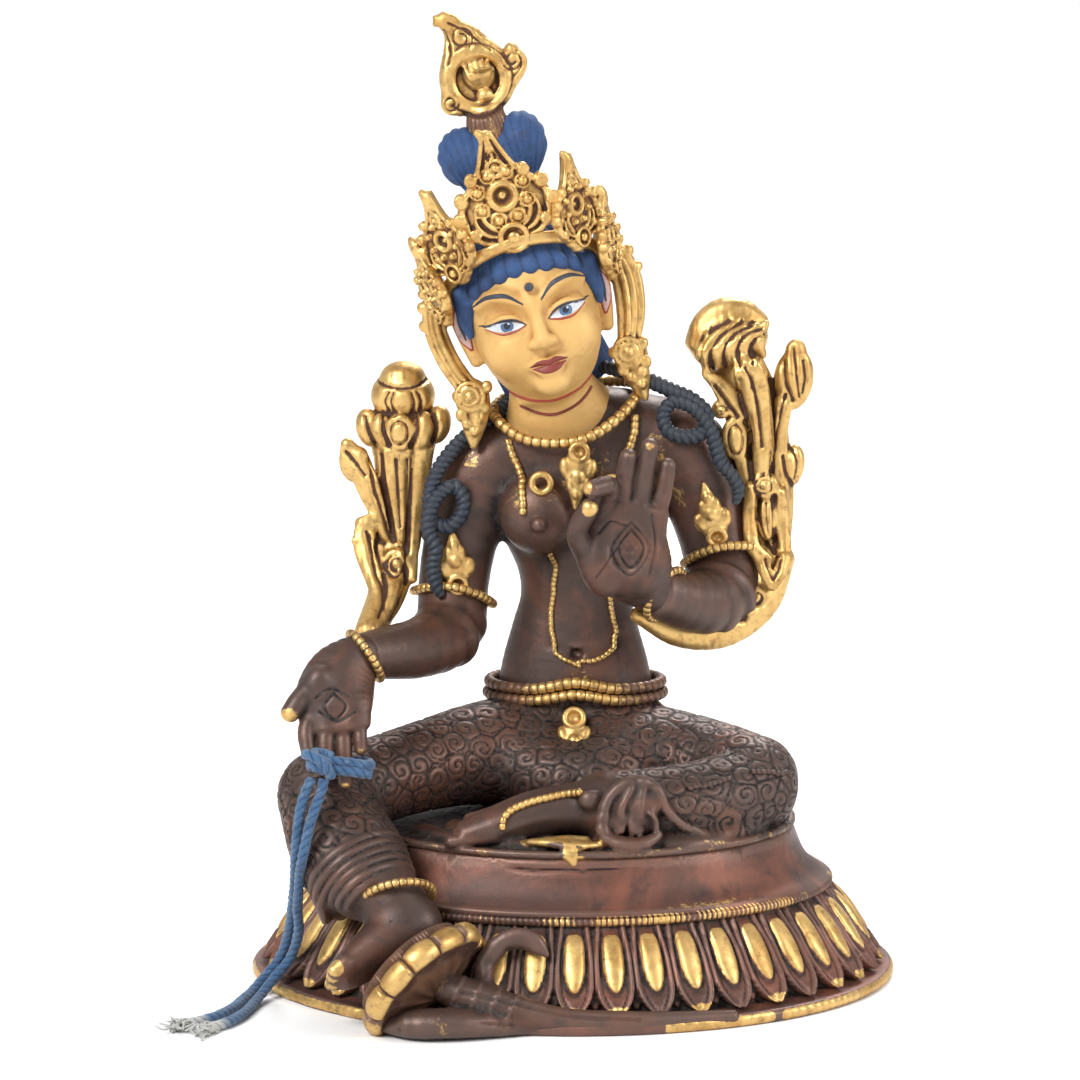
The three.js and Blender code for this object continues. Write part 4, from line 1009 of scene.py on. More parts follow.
def slope_point(share):
    """Half width, half depth and height on the slope, 0 at the petals' feet and 1 at their heads."""
    bulge = PETAL_BULGE * np.sin(share * math.pi)
    row = PETAL_FOOT + (PETAL_HEAD - PETAL_FOOT) * share
    return row + (bulge, bulge, 0)


print("relief at a petal's middle:", petal_relief(np.array(0.0), np.array(0.42), 1)[0].round(2), "mm")

# %% [markdown]
# The profile is a list of rows from the underside to the top. Each row has its half width, half depth and
# height, and its own push outwards and gilt mask for every column. The rim is beaded and gilded where the
# old gilding shows on the real one: flat rungs in front, beads round the right side, nuggets at the left.
# Below the drum's top a casting seam has opened into a fine crack.

# %% The base's rows
PETAL_INDEX = np.arange(columns) / COLUMNS_PER_PETAL
nearest_petal = np.round(PETAL_INDEX)
petal_across = (PETAL_INDEX - nearest_petal) * PETAL_PITCH
from_back = np.minimum(PETAL_INDEX, PETAL_COUNT - PETAL_INDEX)
has_petal = soft_step(from_back, PLAIN_BEHIND / 2 - 0.3, PLAIN_BEHIND / 2 + 0.1)
walk_rim = turns * RIM_RADIUS
rim_x = RIM_HALF[0] * np.cos(turns)
in_front = np.sin(turns) < 0
rungs = in_front * soft_step(rim_x, 19, 20.5) * soft_step(rim_x, 43.6, 42.6)
beaded_right = soft_step(rim_x, 44.5, 45.5) * (np.sin(turns) < 0.55)
nuggets = in_front * soft_step(rim_x, -44, -46)
random = np.random.default_rng(7)
uneven = np.interp(turns, np.linspace(turns[0], turns[-1] + 0.01, 90), random.normal(0, 1, 90))


def rim_row(angle):
    """A point of the rim's rounded edge, at an angle from straight out."""
    out = 1.3 * (math.cos(angle) - 1)
    half = RIM_HALF + out
    face = math.cos(angle * 0.9) ** 2
    bead = 0.34 * np.abs(np.sin(walk_rim * math.pi / 2.3)) ** 0.7
    push = face * (beaded_right * (bead - 0.3) + nuggets * (0.3 * uneven + 0.8 * bead - 0.4))
    push += rungs * face * (-0.1 - 0.16 * (np.abs(np.sin(walk_rim * math.pi / 2.9)) < 0.22))
    gilt = face * (0.95 * rungs + beaded_right * (0.45 + bead * 1.2) + nuggets * (0.75 + 0.25 * uneven))
    gilt += 0.22 * face * in_front
    return [*half, 1.4 + 1.4 * math.sin(angle)], push - 0.1, gilt


base_rows = [([*(RIM_HALF - 3), 0.0], np.zeros(columns), np.zeros(columns))]
base_rows += [rim_row(angle) for angle in np.radians(np.linspace(-88, 88, 11))]
for share in np.linspace(0.25, 0.85, 4):
    ledge = [*(RIM_HALF - 1.6 - 3.2 * share), 2.8 + 0.8 * share**2]
    base_rows.append((ledge, 0.1 * uneven, np.zeros(columns)))
for share in np.linspace(0, 1, PETAL_ROWS):
    height, gilt = petal_relief(petal_across, np.full(columns, 1 - share), nearest_petal)
    plain = 0.5 * math.sin(share * math.pi)
    push = height * has_petal + plain * (1 - has_petal) - 0.3
    base_rows.append((slope_point(share), push, gilt * has_petal))
for angle in np.radians(np.linspace(-80, 80, 7)):
    bead = np.abs(np.sin(walk_rim * 0.85 * math.pi / 1.25)) ** 0.8
    half = PETAL_HEAD[:2] + 0.2 + 0.9 * math.cos(angle)
    push = (0.5 * bead - 0.4) * has_petal * math.cos(angle)
    patchy = np.clip(0.36 + 0.2 * uneven + 0.3 * bell(rim_x, 25, 30), 0, 1)
    base_rows.append(([*half, 21.5 + 1.0 * math.sin(angle)], push, in_front * bead * patchy))
for share in np.linspace(0, 1, 22):
    flare = 3.2 * (1 - share) ** 5
    row = DRUM_FOOT + (DRUM_HEAD - DRUM_FOOT) * share + (flare, flare, 0)
    crack = bell(share, 0.8 + 0.012 * uneven, 0.03) * in_front
    crack = crack * soft_step(rim_x, -22, -16) * soft_step(rim_x, 23, 8)
    push = 0.12 * np.sin(turns * 9 + 4 * share) - 0.7 * crack
    gilt = 0.42 * bell(share, 0.06, 0.1) * in_front * bell(rim_x, 38, 24)
    base_rows.append((row, push - 0.35, gilt))
print(len(base_rows), "rows from the underside to the top")

# %% Build the base


def ring_faces(rings, count):
    """Faces through rings of corners, which the two corners after the rings close below and above."""
    i, j = np.meshgrid(np.arange(rings - 1), np.arange(count), indexing="ij")
    nextj = (j + 1) % count
    sides = np.stack(
        [i * count + j, i * count + nextj, (i + 1) * count + nextj, (i + 1) * count + j], axis=-1,
    )
    even = np.arange(0, count, 2)
    low, high, last = rings * count, rings * count + 1, (rings - 1) * count
    under = np.stack([np.full(len(even), low), (even + 2) % count, even + 1, even], axis=1)
    over = np.stack(
        [np.full(len(even), high), last + even, last + even + 1, last + (even + 2) % count], axis=1,
    )
    return np.vstack([sides.reshape(-1, 4), under, over])


def oval_skin(rows, turns, top, bottom):
    """A closed skin through oval rows, pushed outwards by each row's relief, with its corners' gilt masks."""
    count = len(turns)
    rings, gilts = [], []
    for (half_width, half_depth, height), push, gilt in rows:
        outline = np.stack([half_width * np.cos(turns), half_depth * np.sin(turns)], axis=1)
        outward = unit(outline / (half_width**2, half_depth**2))
        ring = outline + outward * np.asarray(push)[:, None]
        rings.append(np.column_stack([ring, np.full(count, height)]))
        gilts.append(np.broadcast_to(gilt, count))
    corners = np.vstack(rings + [[bottom], [top]])
    return corners, ring_faces(len(rows), count), np.concatenate(gilts + [[0, 0]])


corners, faces, gilt = oval_skin(base_rows, turns, (0, 0, SEAT_HEIGHT - 0.05), (0, 0, 0.0))
values = {"hollow": hollows(corners, faces, 10, 0.3), "gilt": gilt}
lotus = make_mesh("lotus_petals_and_drum", corners, faces, RED_COPPER, values)
dress(lotus, "lotus_base")

# %% [markdown]
# Under the lowered foot is a lotus of its own, tipped so that its top meets the sole. It is a cup of twelve
# gilded petals round a ribbed ring of stamens, dark and spoked below. Like the base it is one skin, carried
# round a circle in the flower's own frame.

# %% The foot's lotus
LOTUS_NORMAL = unit((-0.65, 0.49, 0.58))
SOLE = FIGURE.point((-35.5, -51, -20.6))
STAMEN_HEIGHT = 2.4
STAMEN_RADIUS = 12.8
CUP_RADIUS = 15.3
CUP_PETALS = 12
CUP_COLUMNS = 360
STAMEN_RIBS = 90
lotus_side = unit(np.cross((0.3, 0.2, 1), LOTUS_NORMAL))
LOTUS = Place(
    SOLE - LOTUS_NORMAL * (STAMEN_HEIGHT + 0.3),
    np.stack([lotus_side, np.cross(LOTUS_NORMAL, lotus_side), LOTUS_NORMAL], axis=1),
)


def foot_lotus():
    count = CUP_COLUMNS
    angle = np.arange(count) / count * 2 * math.pi
    lobe = np.abs(np.cos(angle * CUP_PETALS / 2))
    ribs = np.abs(np.sin(angle * STAMEN_RIBS / 2))
    owner = np.round(angle / (2 * math.pi) * CUP_PETALS).astype(int) % CUP_PETALS
    random = np.random.default_rng(12)
    gold_share = random.uniform(0.62, 1.15, CUP_PETALS)[owner]
    jitter = random.normal(0, 0.28, CUP_PETALS)[owner] * lobe
    rows = [(r, STAMEN_HEIGHT, 0) for r in (4.0, 9.0, STAMEN_RADIUS - 0.3)]
    rows += [(STAMEN_RADIUS + 0.3 - 0.4 * ribs, h, 0.12) for h in np.linspace(STAMEN_HEIGHT - 0.2, 0.1, 5)]
    for bend in np.radians(np.linspace(100, -115, 15)):
        thick = 2.1 + 0.6 * lobe**0.5
        reach = CUP_RADIUS + 0.75 * lobe**0.45 - 1.9 + 1.9 * math.cos(bend)
        crease = 0.7 * np.clip(1 - lobe * 3.2, 0, 1)
        gilt = gold_share * (0.2 + 0.6 * lobe**0.5) * (1.0 if math.cos(bend) > -0.15 else 0.3)
        rows.append((reach + jitter - crease, -2.6 + thick * math.sin(bend), gilt))
    for share in np.linspace(0.12, 0.95, 10):
        spoke = 0.45 * np.abs(np.cos(angle * CUP_PETALS / 2)) ** 3 * math.sin(share * math.pi)
        rows.append(((CUP_RADIUS - 2.6) * (1 - share) + 0.2, -4.2 - 3.4 * share**0.8 - spoke, 0))
    rings, gilts = [], []
    for radius, height, gilt in rows[::-1]:
        radius, height = (np.broadcast_to(v, count) for v in (radius, height))
        rings.append(np.stack([radius * np.cos(angle), radius * np.sin(angle), height], axis=1))
        gilts.append(np.broadcast_to(gilt, count))
    corners = LOTUS.point(np.vstack(rings + [[(0, 0, -7.7)], [(0, 0, STAMEN_HEIGHT)]]))
    corners[:, 2] = np.maximum(corners[:, 2], 0)
    return corners, ring_faces(len(rows), count), np.concatenate(gilts + [[0, 0]])


corners, faces, gilt = foot_lotus()
values = {"hollow": hollows(corners, faces, 8, 0.3), "gilt": gilt}
dress(make_mesh("foot_lotus", corners, faces, GILDING, values), "lotus_base")

# %% [markdown]
# The stem that carries this flower springs from the front of the rim. It is banded like a reed, sends up a
# hooked leaf, and lies on along the rim beside a broad leaf that rests on the ground. These forms melt into
# each other, so they are pressed in wax.

# %% The stem and its leaves


def foot_lotus_stem():
    wax = Wax((-50, -70, 0), (42, -40, 26), 0.42)
    reed = [
        (-30.6, -53.6, 11.4, 3.4, 3.4), (-27, -55.4, 9.6, 3.7, 3.7), (-21, -56.6, 7.6, 3.9, 3.9),
        (-13.5, -57.6, 5.4, 3.6, 3.4), (-4, -57.4, 3.4, 2.8, 2.6), (12, -56.8, 2.7, 2.3, 2.2),
        (34, -51.4, 2.5, 1.4, 1.5),
    ]
    wax.limb(reed, up=(0.1, 1, 0.05), steps=16, place=WORLD, blend=0)
    for share in (0.1, 0.16, 0.22, 0.29):
        path = smooth_path(reed, 100)
        ring = path[int(share * 100)]
        wax.ball(ring[:3], (0.5, 4.15, 4.15), turn_matrix(z=-8, y=22), 0.5, place=WORLD)
    wax.limb(
        [(-40, -58.6, 2.4, 1.6, 1.8), (-34, -61.8, 3.4, 3.6, 3.1), (-26, -61.8, 3.6, 4.1, 3.2),
         (-17, -59.8, 2.8, 3.0, 2.6), (-9, -58, 2.2, 1.6, 1.9)],
        up=(0, 0, 1), place=WORLD, blend=1.2,
    )
    wax.limb(
        [(-14.6, -56.6, 5, 2.8, 2.2), (-18.6, -54.2, 9.6, 2.0, 1.9), (-19, -51.6, 14, 2.2, 1.7),
         (-16.6, -50.6, 17.4, 2.3, 1.5)],
        up=(0, 1, 0), place=WORLD, blend=1.6,
    )
    wax.limb(
        [(-18.2, -51, 15, 1.4, 1.6), (-15.4, -50.6, 18.4, 2.0, 1.6), (-11.2, -50.4, 19.2, 2.4, 1.5),
         (-7.6, -51, 17.6, 1.9, 1.3), (-6, -51.4, 16, 0.8, 0.8)],
        up=(0, 1, 0), place=WORLD, blend=0.8,
    )
    wax.ball((-12.6, -52.8, 15.2), (3.2, 2.2, 1.9), turn_matrix(y=-24), 0.8, cut=True, place=WORLD)
    corners, faces = wax.skin()
    veins = [
        smooth_path([(-37, -63.8, 2.8), (-30, -65.4, 4.0), (-22, -64.2, 4.0), (-13, -61.4, 3.0)], 20),
        smooth_path([(-24, -59.9, 9.8), (-12, -60.2, 7.4), (0, -59.6, 4.6), (14, -58.6, 3.4)], 20),
    ]
    normal = normals_of(corners, faces)
    corners = corners - normal * (0.35 * bell(to_lines(corners, veins), 0, 0.5))[:, None]
    corners[:, 2] = np.maximum(corners[:, 2], 0)
    return corners, faces


corners, faces = foot_lotus_stem()
gilt = 0.33 * bell(corners[:, 0], -28, 5)
values = {"hollow": hollows(corners, faces), "gilt": gilt}
dress(make_mesh("foot_lotus_stem", corners, faces, COPPER, values), "lotus_base")

# %% [markdown]
# The legs wear a thin skirt, chased all over with scrolls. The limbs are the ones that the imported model
# has: a spine with an oval section at each station. One leg hangs over the front of the base, the other
# lies folded on the seat; between them the cloth spans the lap, and folds of it spread over the seat plate.

# %% The limbs below the belt
LOWERED_THIGH = [
    (-8, 10, 13.6, 12, 12.6), (-18, 5, 14.4, 11.8, 11.6), (-31, -4, 13.6, 10.2, 10),
    (-43, -14, 12, 9.6, 9.4), (-54.2, -24, 10, 10, 9.8),
]
LOWERED_SHIN = [
    (-54.2, -22.6, 11, 9.8, 9.8), (-51.4, -30, 4.4, 11.2, 10.6), (-47.6, -36, -0.8, 12.2, 10),
    (-43.6, -40.4, -5, 10.6, 8.4),
]
LOWERED_ANKLE = [(-45, -40, -4.5, 8.2, 7.8), (-38.6, -43.8, -8.6, 7.4, 7), (-35, -45.6, -13, 6.6, 6.2)]
LOWERED_FOOT = [
    (-33.6, -46, -12.6, 5.4, 5.6), (-39.5, -48.6, -15.4, 6, 5.6), (-45, -51.3, -19, 6, 4.6),
    (-49.4, -53.6, -22, 5.8, 3.4),
]
FOLDED_THIGH = [
    (8, 10, 13.2, 12, 12), (18, 6, 13.2, 12, 11.2), (30, 0, 12, 11.4, 10.4), (39.4, -8, 10.2, 11.2, 10.4),
]
FOLDED_SHIN = [
    (39.6, -9, 9.6, 10.4, 9.8), (29, -18, 8.4, 9.8, 8.8), (16, -23.4, 8.2, 9.2, 8.2),
    (7, -25.2, 8.6, 8.4, 7.8),
]
FOLDED_FOOT = [
    (6, -25.6, 8.6, 6.6, 6.4), (-2, -27, 8.4, 5.2, 5.4), (-9, -28.4, 7.6, 4.9, 5), (-16, -30, 5.8, 5, 4.2),
    (-23.4, -31.4, 3.8, 3.4, 2.8),
]
SEAT_HALF = (49.1, 40.1)
ANKLET_PLACE = (-37.8, -45.2, -7)


def toe(place):
    """One toe of the lowered foot, -2 the big toe to 2 the little one."""
    start = np.array((-48.6, -52.8 - 1.9 * place, -21.8 + 1.55 * place))
    reach = 4.6 - 0.5 * abs(place + 1)
    return start, start + np.array((-0.76, -0.4, -0.51)) * reach


def model_legs():
    wax = Wax((-70, -62, 9), (54, 44, 66), 0.48)
    hips = [(0.8, 14, 3, 20, 16), (0.6, 14, 14, 19.6, 14), (0.6, 14, 22, 18, 12), (0.6, 14, 29, 16.8, 11.2)]
    wax.limb(hips, up=(0, 1, 0), blend=0, domes=(0.1, 0.1))
    wax.limb(LOWERED_THIGH, blend=5)
    wax.limb(FOLDED_THIGH, blend=5)
    wax.limb([(-12, 4, 14.4, 12, 9), (0.5, -3, 10.6, 12, 9), (12, 4, 14.4, 12, 9)], blend=4)
    wax.limb(LOWERED_SHIN, blend=2.5)
    wax.limb(FOLDED_SHIN, blend=1.6)
    wax.limb(
        [(-55, -20, 8, 5, 8), (-56, -26, 0, 4.4, 8), (-54, -32, -7, 3.6, 6.6), (-51, -37, -12, 2, 3.4)],
        up=(0, 1, 0.2), blend=3,
    )
    wax.limb(
        [(-53.6, -41.4, -2, 2.6, 4), (-54.2, -41, -8, 1.8, 3.4), (-53.4, -40.6, -13, 1, 2)],
        up=(0, 1, 0.2), blend=2.5,
    )
    wax.limb(LOWERED_ANKLE, blend=0.6)
    wax.limb(LOWERED_FOOT, up=tuple(LOTUS_NORMAL), blend=2.5)
    for place in (-2, -1, 0, 1, 2):
        start, tip = toe(place)
        wax.limb(
            [(*start, 2.0, 1.9), (*(start + tip) / 2, 1.75, 1.6), (*tip, 1.7, 1.5)],
            up=(0, 1, 0), blend=0.7, steps=4,
        )
    wax.limb(FOLDED_FOOT, blend=1.4)
    for k in range(4):
        root = (-17 + 0.3 * k, -33 + 1.5 * k, 3.6 + 1.5 * k)
        tip = (-26.6 + 1.3 * k, -33.6 + 1.6 * k, 2.6 + 1.3 * k)
        wax.limb([(*root, 1.7, 1.6), (*tip, 1.5, 1.35)], blend=0.5, steps=3)
    wax.ball((-7, -35.6, 4.4), (7.5, 3.2, 2.4), turn_matrix(y=-14), 1.5, cut=True)
    wax.ball((3.4, -32.4, 11.6), (2.4, 1.8, 2.2), blend=1.5)
    angles = np.linspace(0, 2 * math.pi, 40)
    edge = [(SEAT_HALF[0] * math.cos(a) * 0.985, SEAT_HALF[1] * math.sin(a) * 0.985) for a in angles]
    seat_rim = smooth_path([(*place, 0.9, 1.0, 0.9) for place in edge], 80)
    wax.limb(seat_rim, steps=79, blend=0.4)
    wax.limb(
        [(0, 0, -0.2, 48.2, 39.2), (0, 0, 1.1, 48.2, 39.2)],
        up=(0, 1, 0), blend=0.4, steps=1, domes=(0.02, 0.02),
    )
    return wax


legs_wax = model_legs()
print("legs pressed in", legs_wax.field.size // 1000, "thousand cells")

# %% [markdown]
# Cloth ends lie on the seat: a scarf is knotted round the folded ankle and its loops spread before it, and
# the gilded end of a hem hangs over the seat's edge. Folds of the skirt run out flat like flames. They are
# thin limbs laid close above the plate, so that the wax makes soft valleys between them.

# %% Folds on the seat
SCARF = [
    [(16, -31.6, 15.4, 1.4, 1.2), (11.6, -33.6, 15.6, 1.6, 1.4), (7.6, -34.8, 12.6, 1.5, 1.3),
     (6.2, -35.8, 8, 1.5, 1.3), (7, -36.6, 4.4, 1.7, 1.5), (10.6, -37.2, 2.9, 2.1, 1.7),
     (15, -36.8, 3, 1.9, 1.5),
     (18.4, -35.4, 4.6, 1, 0.9)],
    [(15, -32.6, 16, 1.2, 1.1), (18, -33.4, 14, 1.4, 1.2), (19.8, -33.6, 10, 1.3, 1.2),
     (23.6, -32.4, 6, 1.2, 1.1), (28.6, -30.2, 3.4, 0.9, 0.9)],
    [(12, -34.2, 14.6, 1.7, 1), (9.8, -35.2, 10.6, 2, 1), (9.4, -35.6, 5.6, 1.9, 0.9)],
    [(14.4, -34, 14.4, 1.6, 0.9), (13.4, -35.4, 10, 1.9, 0.9), (13.4, -35.8, 5.2, 1.8, 0.8)],
    [(16.6, -33.4, 13.8, 1.5, 0.8), (17, -34.8, 10, 1.8, 0.8), (17.6, -34.8, 5.6, 1.7, 0.7)],
]
SEAT_FOLDS = [
    [(-26, -17, 2.2, 3, 1.7), (-18, -23.4, 2.2, 3.4, 1.7), (-10, -27.6, 2, 2.4, 1.3), (-4, -31, 1.9, 1.4, 1)],
    [(-20, -13, 2.4, 4, 2.4), (-10, -18, 2.6, 5, 2.6), (0, -20, 2.4, 4, 2)],
    [(-33, -18, 2, 2.6, 1.2), (-28, -24.6, 2, 2.2, 1.2), (-20, -29.2, 1.9, 1.4, 1)],
    [(6, -31.4, 2.4, 5, 2), (16, -30, 2.4, 5, 2), (27, -26.6, 2.6, 5, 2.4), (37, -18, 2.6, 4, 2.6),
     (43, -8, 2.4, 3, 2)],
    [(20, -33.4, 1.9, 1.6, 1.1), (25, -32.6, 2.1, 1.9, 1.3), (30, -29.8, 2.1, 1.4, 1.1),
     (33, -27, 1.9, 0.9, 0.9)],
    [(-2, -33.6, 2, 2.4, 1.2), (4, -34.6, 2, 2.6, 1.2), (10, -33.6, 2.2, 2, 1.3)],
    [(-17, -30.4, 2, 1.8, 1.1), (-12, -33, 2, 2, 1.1), (-6, -34.8, 2, 1.4, 1)],
]
CLOTH_END = [
    [(-9.6, -35.2, 2.9, 1, 0.8), (-5.4, -36.8, 3.2, 1.9, 1), (-1, -37.6, 2.9, 2.4, 1.1),
     (3.4, -37.2, 2.6, 1.4, 0.9), (7, -36, 2.6, 0.8, 0.7)],
    [(-1.2, -38.4, 2.6, 2.2, 1.1), (-0.6, -39.3, 0.6, 1.7, 1.2), (-0.2, -39.6, -1.2, 0.8, 1)],
    [(-6, -36.4, 3.6, 1, 0.7), (-1.6, -36.4, 4, 1.1, 0.7), (3, -35.6, 3.6, 0.8, 0.7)],
]


def press_folds(wax):
    for fold in SEAT_FOLDS:
        wax.limb(fold, blend=1.2, steps=8)
    wax.ball((12.6, -32.7, 9.2), (6.2, 3.3, 6.4), blend=0.8)
    for band in SCARF:
        wax.limb(band, blend=0.6, steps=14)
    for end in CLOTH_END:
        wax.limb(end, blend=0.5, steps=8)
    wax.ball((14.8, -33.4, 15.6), (1.9, 1.6, 1.6), blend=0.6)


press_folds(legs_wax)
legs, leg_faces = legs_wax.skin()

# %% [markdown]
# The chased scrolls are cut into the mesh itself. Each corner of the skin is given a place on its limb: how
# far along it lies and how far round. On that flat map a scatter of motif centres is laid, and each corner
# looks up its nearest centre: a spiral groove winds round it, and where two centres are equally near runs
# the outline of a leaf. The scatter is loosened by seeded random steps, so no two scrolls are alike.

# %% Scrollwork


def limb_map(points, stations):
    """How far along a limb, how far round it and how far from its surface each point is, in millimetres."""
    path = smooth_path(FIGURE.stations(stations), 60)
    centres = path[:, :3]
    along = unit(np.gradient(centres, axis=0))
    across = unit(np.cross((0, 0, 1), along))
    over = np.cross(along, across)
    travel = np.concatenate([[0], np.cumsum(np.linalg.norm(np.diff(centres, axis=0), axis=1))])
    nearest = np.zeros(len(points), int)
    best = np.full(len(points), 1e9)
    for i, centre in enumerate(centres):
        gap = np.sum((points - centre) ** 2, axis=1)
        closer = gap < best
        nearest[closer], best[closer] = i, gap[closer]
    off = points - centres[nearest]
    s = travel[nearest] + np.einsum("ij,ij->i", off, along[nearest])
    u = np.einsum("ij,ij->i", off, across[nearest]) / path[nearest, 3]
    v = np.einsum("ij,ij->i", off, over[nearest]) / path[nearest, 4]
    girth = path[nearest, 3:5].mean(1)
    return s, np.arctan2(v, u) * girth, (np.hypot(u, v) - 1) * girth


def scrollwork(s, a, seed, cell=6.2, pitch=1.6):
    """Relief of scrolls at places s and a on a flat map: height in millimetres, and how deep in a cut."""
    random = np.random.default_rng(seed)
    grid_s = np.arange(s.min() - cell, s.max() + cell, cell * 0.9)
    grid_a = np.arange(a.min() - cell, a.max() + cell, cell * 0.8)
    centre = np.array([(x + (k % 2) * cell * 0.45, y) for k, y in enumerate(grid_a) for x in grid_s])
    centre += random.normal(0, cell * 0.17, centre.shape)
    tight = random.uniform(0.85, 1.35, len(centre))
    spin = random.uniform(0, 2 * math.pi, len(centre))
    hand = random.choice([-1, 1], len(centre))
    first = np.full(len(s), 1e9)
    second = first.copy()
    owner = np.zeros(len(s), int)
    for i, (x, y) in enumerate(centre):
        gap = np.hypot(s - x, a - y)
        closer = gap < first
        second = np.where(closer, first, np.minimum(second, gap))
        owner[closer] = i
        first = np.where(closer, gap, first)
    angle = np.arctan2(a - centre[owner, 1], s - centre[owner, 0]) + spin[owner]
    phase = first / (pitch * tight[owner]) - hand[owner] * angle / (2 * math.pi)
    wave = np.abs((phase % 1) - 0.5) * 2
    fade = 1 - soft_step(first, cell * 0.44, cell * 0.56)
    spiral = soft_step(wave, 0.62, 0.96) * fade
    outline = bell(second - first, 0.0, 0.6)
    veins = soft_step(np.abs(np.sin(angle * 3.5 + first * 1.4)), 0.8, 1) * (1 - fade) * (1 - outline)
    line = np.clip(np.maximum(np.maximum(spiral, outline * 0.9), veins * 0.8), 0, 1)
    swell = 0.14 * bell(first, cell * 0.3, cell * 0.22) + 0.08 * (1 - fade)
    return swell - 0.27 * line, line


# %% Chase the skirt
SKIRT_LIMBS = {
    "lowered thigh": (LOWERED_THIGH, 11), "lowered shin": (LOWERED_SHIN, 12),
    "folded thigh": (FOLDED_THIGH, 13), "folded shin": (FOLDED_SHIN, 14),
}


def chase(corners, faces):
    """Cuts scrolls and bands into the skirt. Gives the corners, the cut lines and the gilt mask."""
    local = corners - FIGURE.origin
    nearest = np.full(len(corners), 3.5)
    height = np.zeros(len(corners))
    line = np.zeros(len(corners))
    for name, (stations, seed) in SKIRT_LIMBS.items():
        s, a, off = limb_map(corners, stations)
        high, cut = scrollwork(s, a, seed)
        if name == "lowered shin":
            end = soft_step(s, 19.5, 20.5)
            bands = np.abs(np.sin((s - 20) * math.pi / 1.9)) ** 0.6
            high = high * (1 - end) + end * (0.5 * bands - 0.2)
            cut = cut * (1 - end) + end * (1 - bands) * 0.8
        if name == "folded shin":
            end = soft_step(s, 35, 36.5)
            high, cut = high * (1 - end), cut * (1 - end)
        mine = np.abs(off) < nearest
        nearest[mine] = np.abs(off)[mine]
        height[mine], line[mine] = high[mine], cut[mine]
    x, y, z = local.T
    dressed = soft_step(nearest, 3.4, 1.2) * soft_step(z, -11, -8)
    for bare, near, far in ((LOWERED_ANKLE[1:] + LOWERED_FOOT, 7.5, 9.5), (FOLDED_FOOT[1:], 6.2, 7.6)):
        for place in bare:
            dressed = dressed * soft_step(np.linalg.norm(local - place[:3], axis=1), near, far)
    lap = soft_step(np.hypot((x - 0.5) / 20, (y + 4) / 16), 1.1, 0.85) * (z > 7) * (1 - dressed)
    high, cut = scrollwork(x, (z + y) * 0.85, 15)
    height, line = height * dressed + high * lap, line * dressed + cut * lap
    return corners + normals_of(corners, faces) * height[:, None], line


legs, leg_line = chase(legs, leg_faces)
local = legs - FIGURE.origin
seat_edge = np.hypot(local[:, 0] / SEAT_HALF[0], local[:, 1] / SEAT_HALF[1])
gilt = 0.34 * bell(seat_edge, 1.0, 0.02) * (local[:, 1] < 0) * (local[:, 2] < 3)
for end in CLOTH_END:
    line = smooth_path([p[:3] for p in end], 12)
    gilt = np.maximum(gilt, 0.85 * soft_step(to_lines(local, [line]), 2.6, 1.2))
for place in (-2, -1, 0, 1, 2):
    tip = toe(place)[1] + (0.3, -0.3, 0.9)
    gilt = np.maximum(gilt, 0.8 * soft_step(np.linalg.norm(local - tip, axis=1), 2.4, 1.4))
gilt = np.maximum(gilt, 0.55 * bell(np.linalg.norm(local - (-41, -50.5, -11.5), axis=1), 0, 2.6))
# The cut lines count as deeper hollows: they take painted shade and pale dust.
leg_hollow = np.clip(hollows(legs, leg_faces, 14, 0.4) + 0.34 * leg_line, 0, 1)
# The seat plate under the legs and folds counts as a deep hollow: painted shade and dust.
seat_dust_and_shade = soft_step(local[:, 2], 4.5, 1.9) * (seat_edge < 0.97)
leg_hollow = np.maximum(leg_hollow, 0.8 * seat_dust_and_shade)
skirt = make_mesh("legs_and_skirt", legs, leg_faces, COPPER, {"hollow": leg_hollow, "gilt": gilt})
dress(skirt, "figure")
print("skirt chased:", round(float(leg_line.mean()), 2), "of it in cut lines")

# %% [markdown]
# The bare body is cast in one with the skirt: a narrow waist, full breasts, and two arms that bend forward
# at the elbow. On the real one hands have rubbed the shoulders and the belly reddish, and old gilding
# clings in patches to the breast. Its gilt mask is therefore a handful of soft spots, and the material
# breaks their edges up.

# %% A helper for the cast pieces


def cast(
    name, corners, faces, material, gilt=0.0, slot="patinated_copper", node="figure", hollow=None, **extra,
):
    """Puts a modelled form in place of a node, with the numbers on its corners that the materials read."""
    hollow = hollows(corners, faces) if hollow is None else hollow
    values = {"hollow": hollow, "gilt": np.broadcast_to(gilt, len(corners)), **extra}
    return dress(make_mesh(name, corners, faces, material, values), node)


def spots(points, centres):
    """A mask of soft spots; each centre has x, y, z, a radius and a strength."""
    total = np.zeros(len(points))
    for *centre, radius, strength in centres:
        distance = np.linalg.norm(points - FIGURE.point(centre), axis=1)
        total = np.maximum(total, strength * bell(distance, 0, radius))
    return total


# %% Torso and arms
TORSO = [
    (0.6, 14, 24, 17.8, 12), (0.5, 14, 32, 16.4, 11), (0.5, 13.8, 40, 14.2, 9.8), (0.7, 13.5, 48, 12.3, 9),
    (1.1, 13, 56, 13.6, 9.6), (1.3, 12.5, 65, 17.4, 11.2), (1.2, 12.2, 76, 20, 11),
    (0.8, 12.2, 85, 18.6, 9.6), (-0.6, 12, 91, 12, 8),
]
LOWERED_ARM = [
    (-9, 12.4, 82, 8, 8.4), (-18, 12, 78, 9.4, 9.4), (-23.6, 11.4, 66, 8.4, 8.8),
    (-26.4, 9, 52.4, 7.8, 8.2), (-27.4, 3, 42.8, 7.6, 7.8), (-33.4, -7, 40.4, 6.7, 6.6),
    (-40.6, -16, 40.8, 5.8, 5.8), (-46, -22, 41.2, 4.9, 4.8),
]
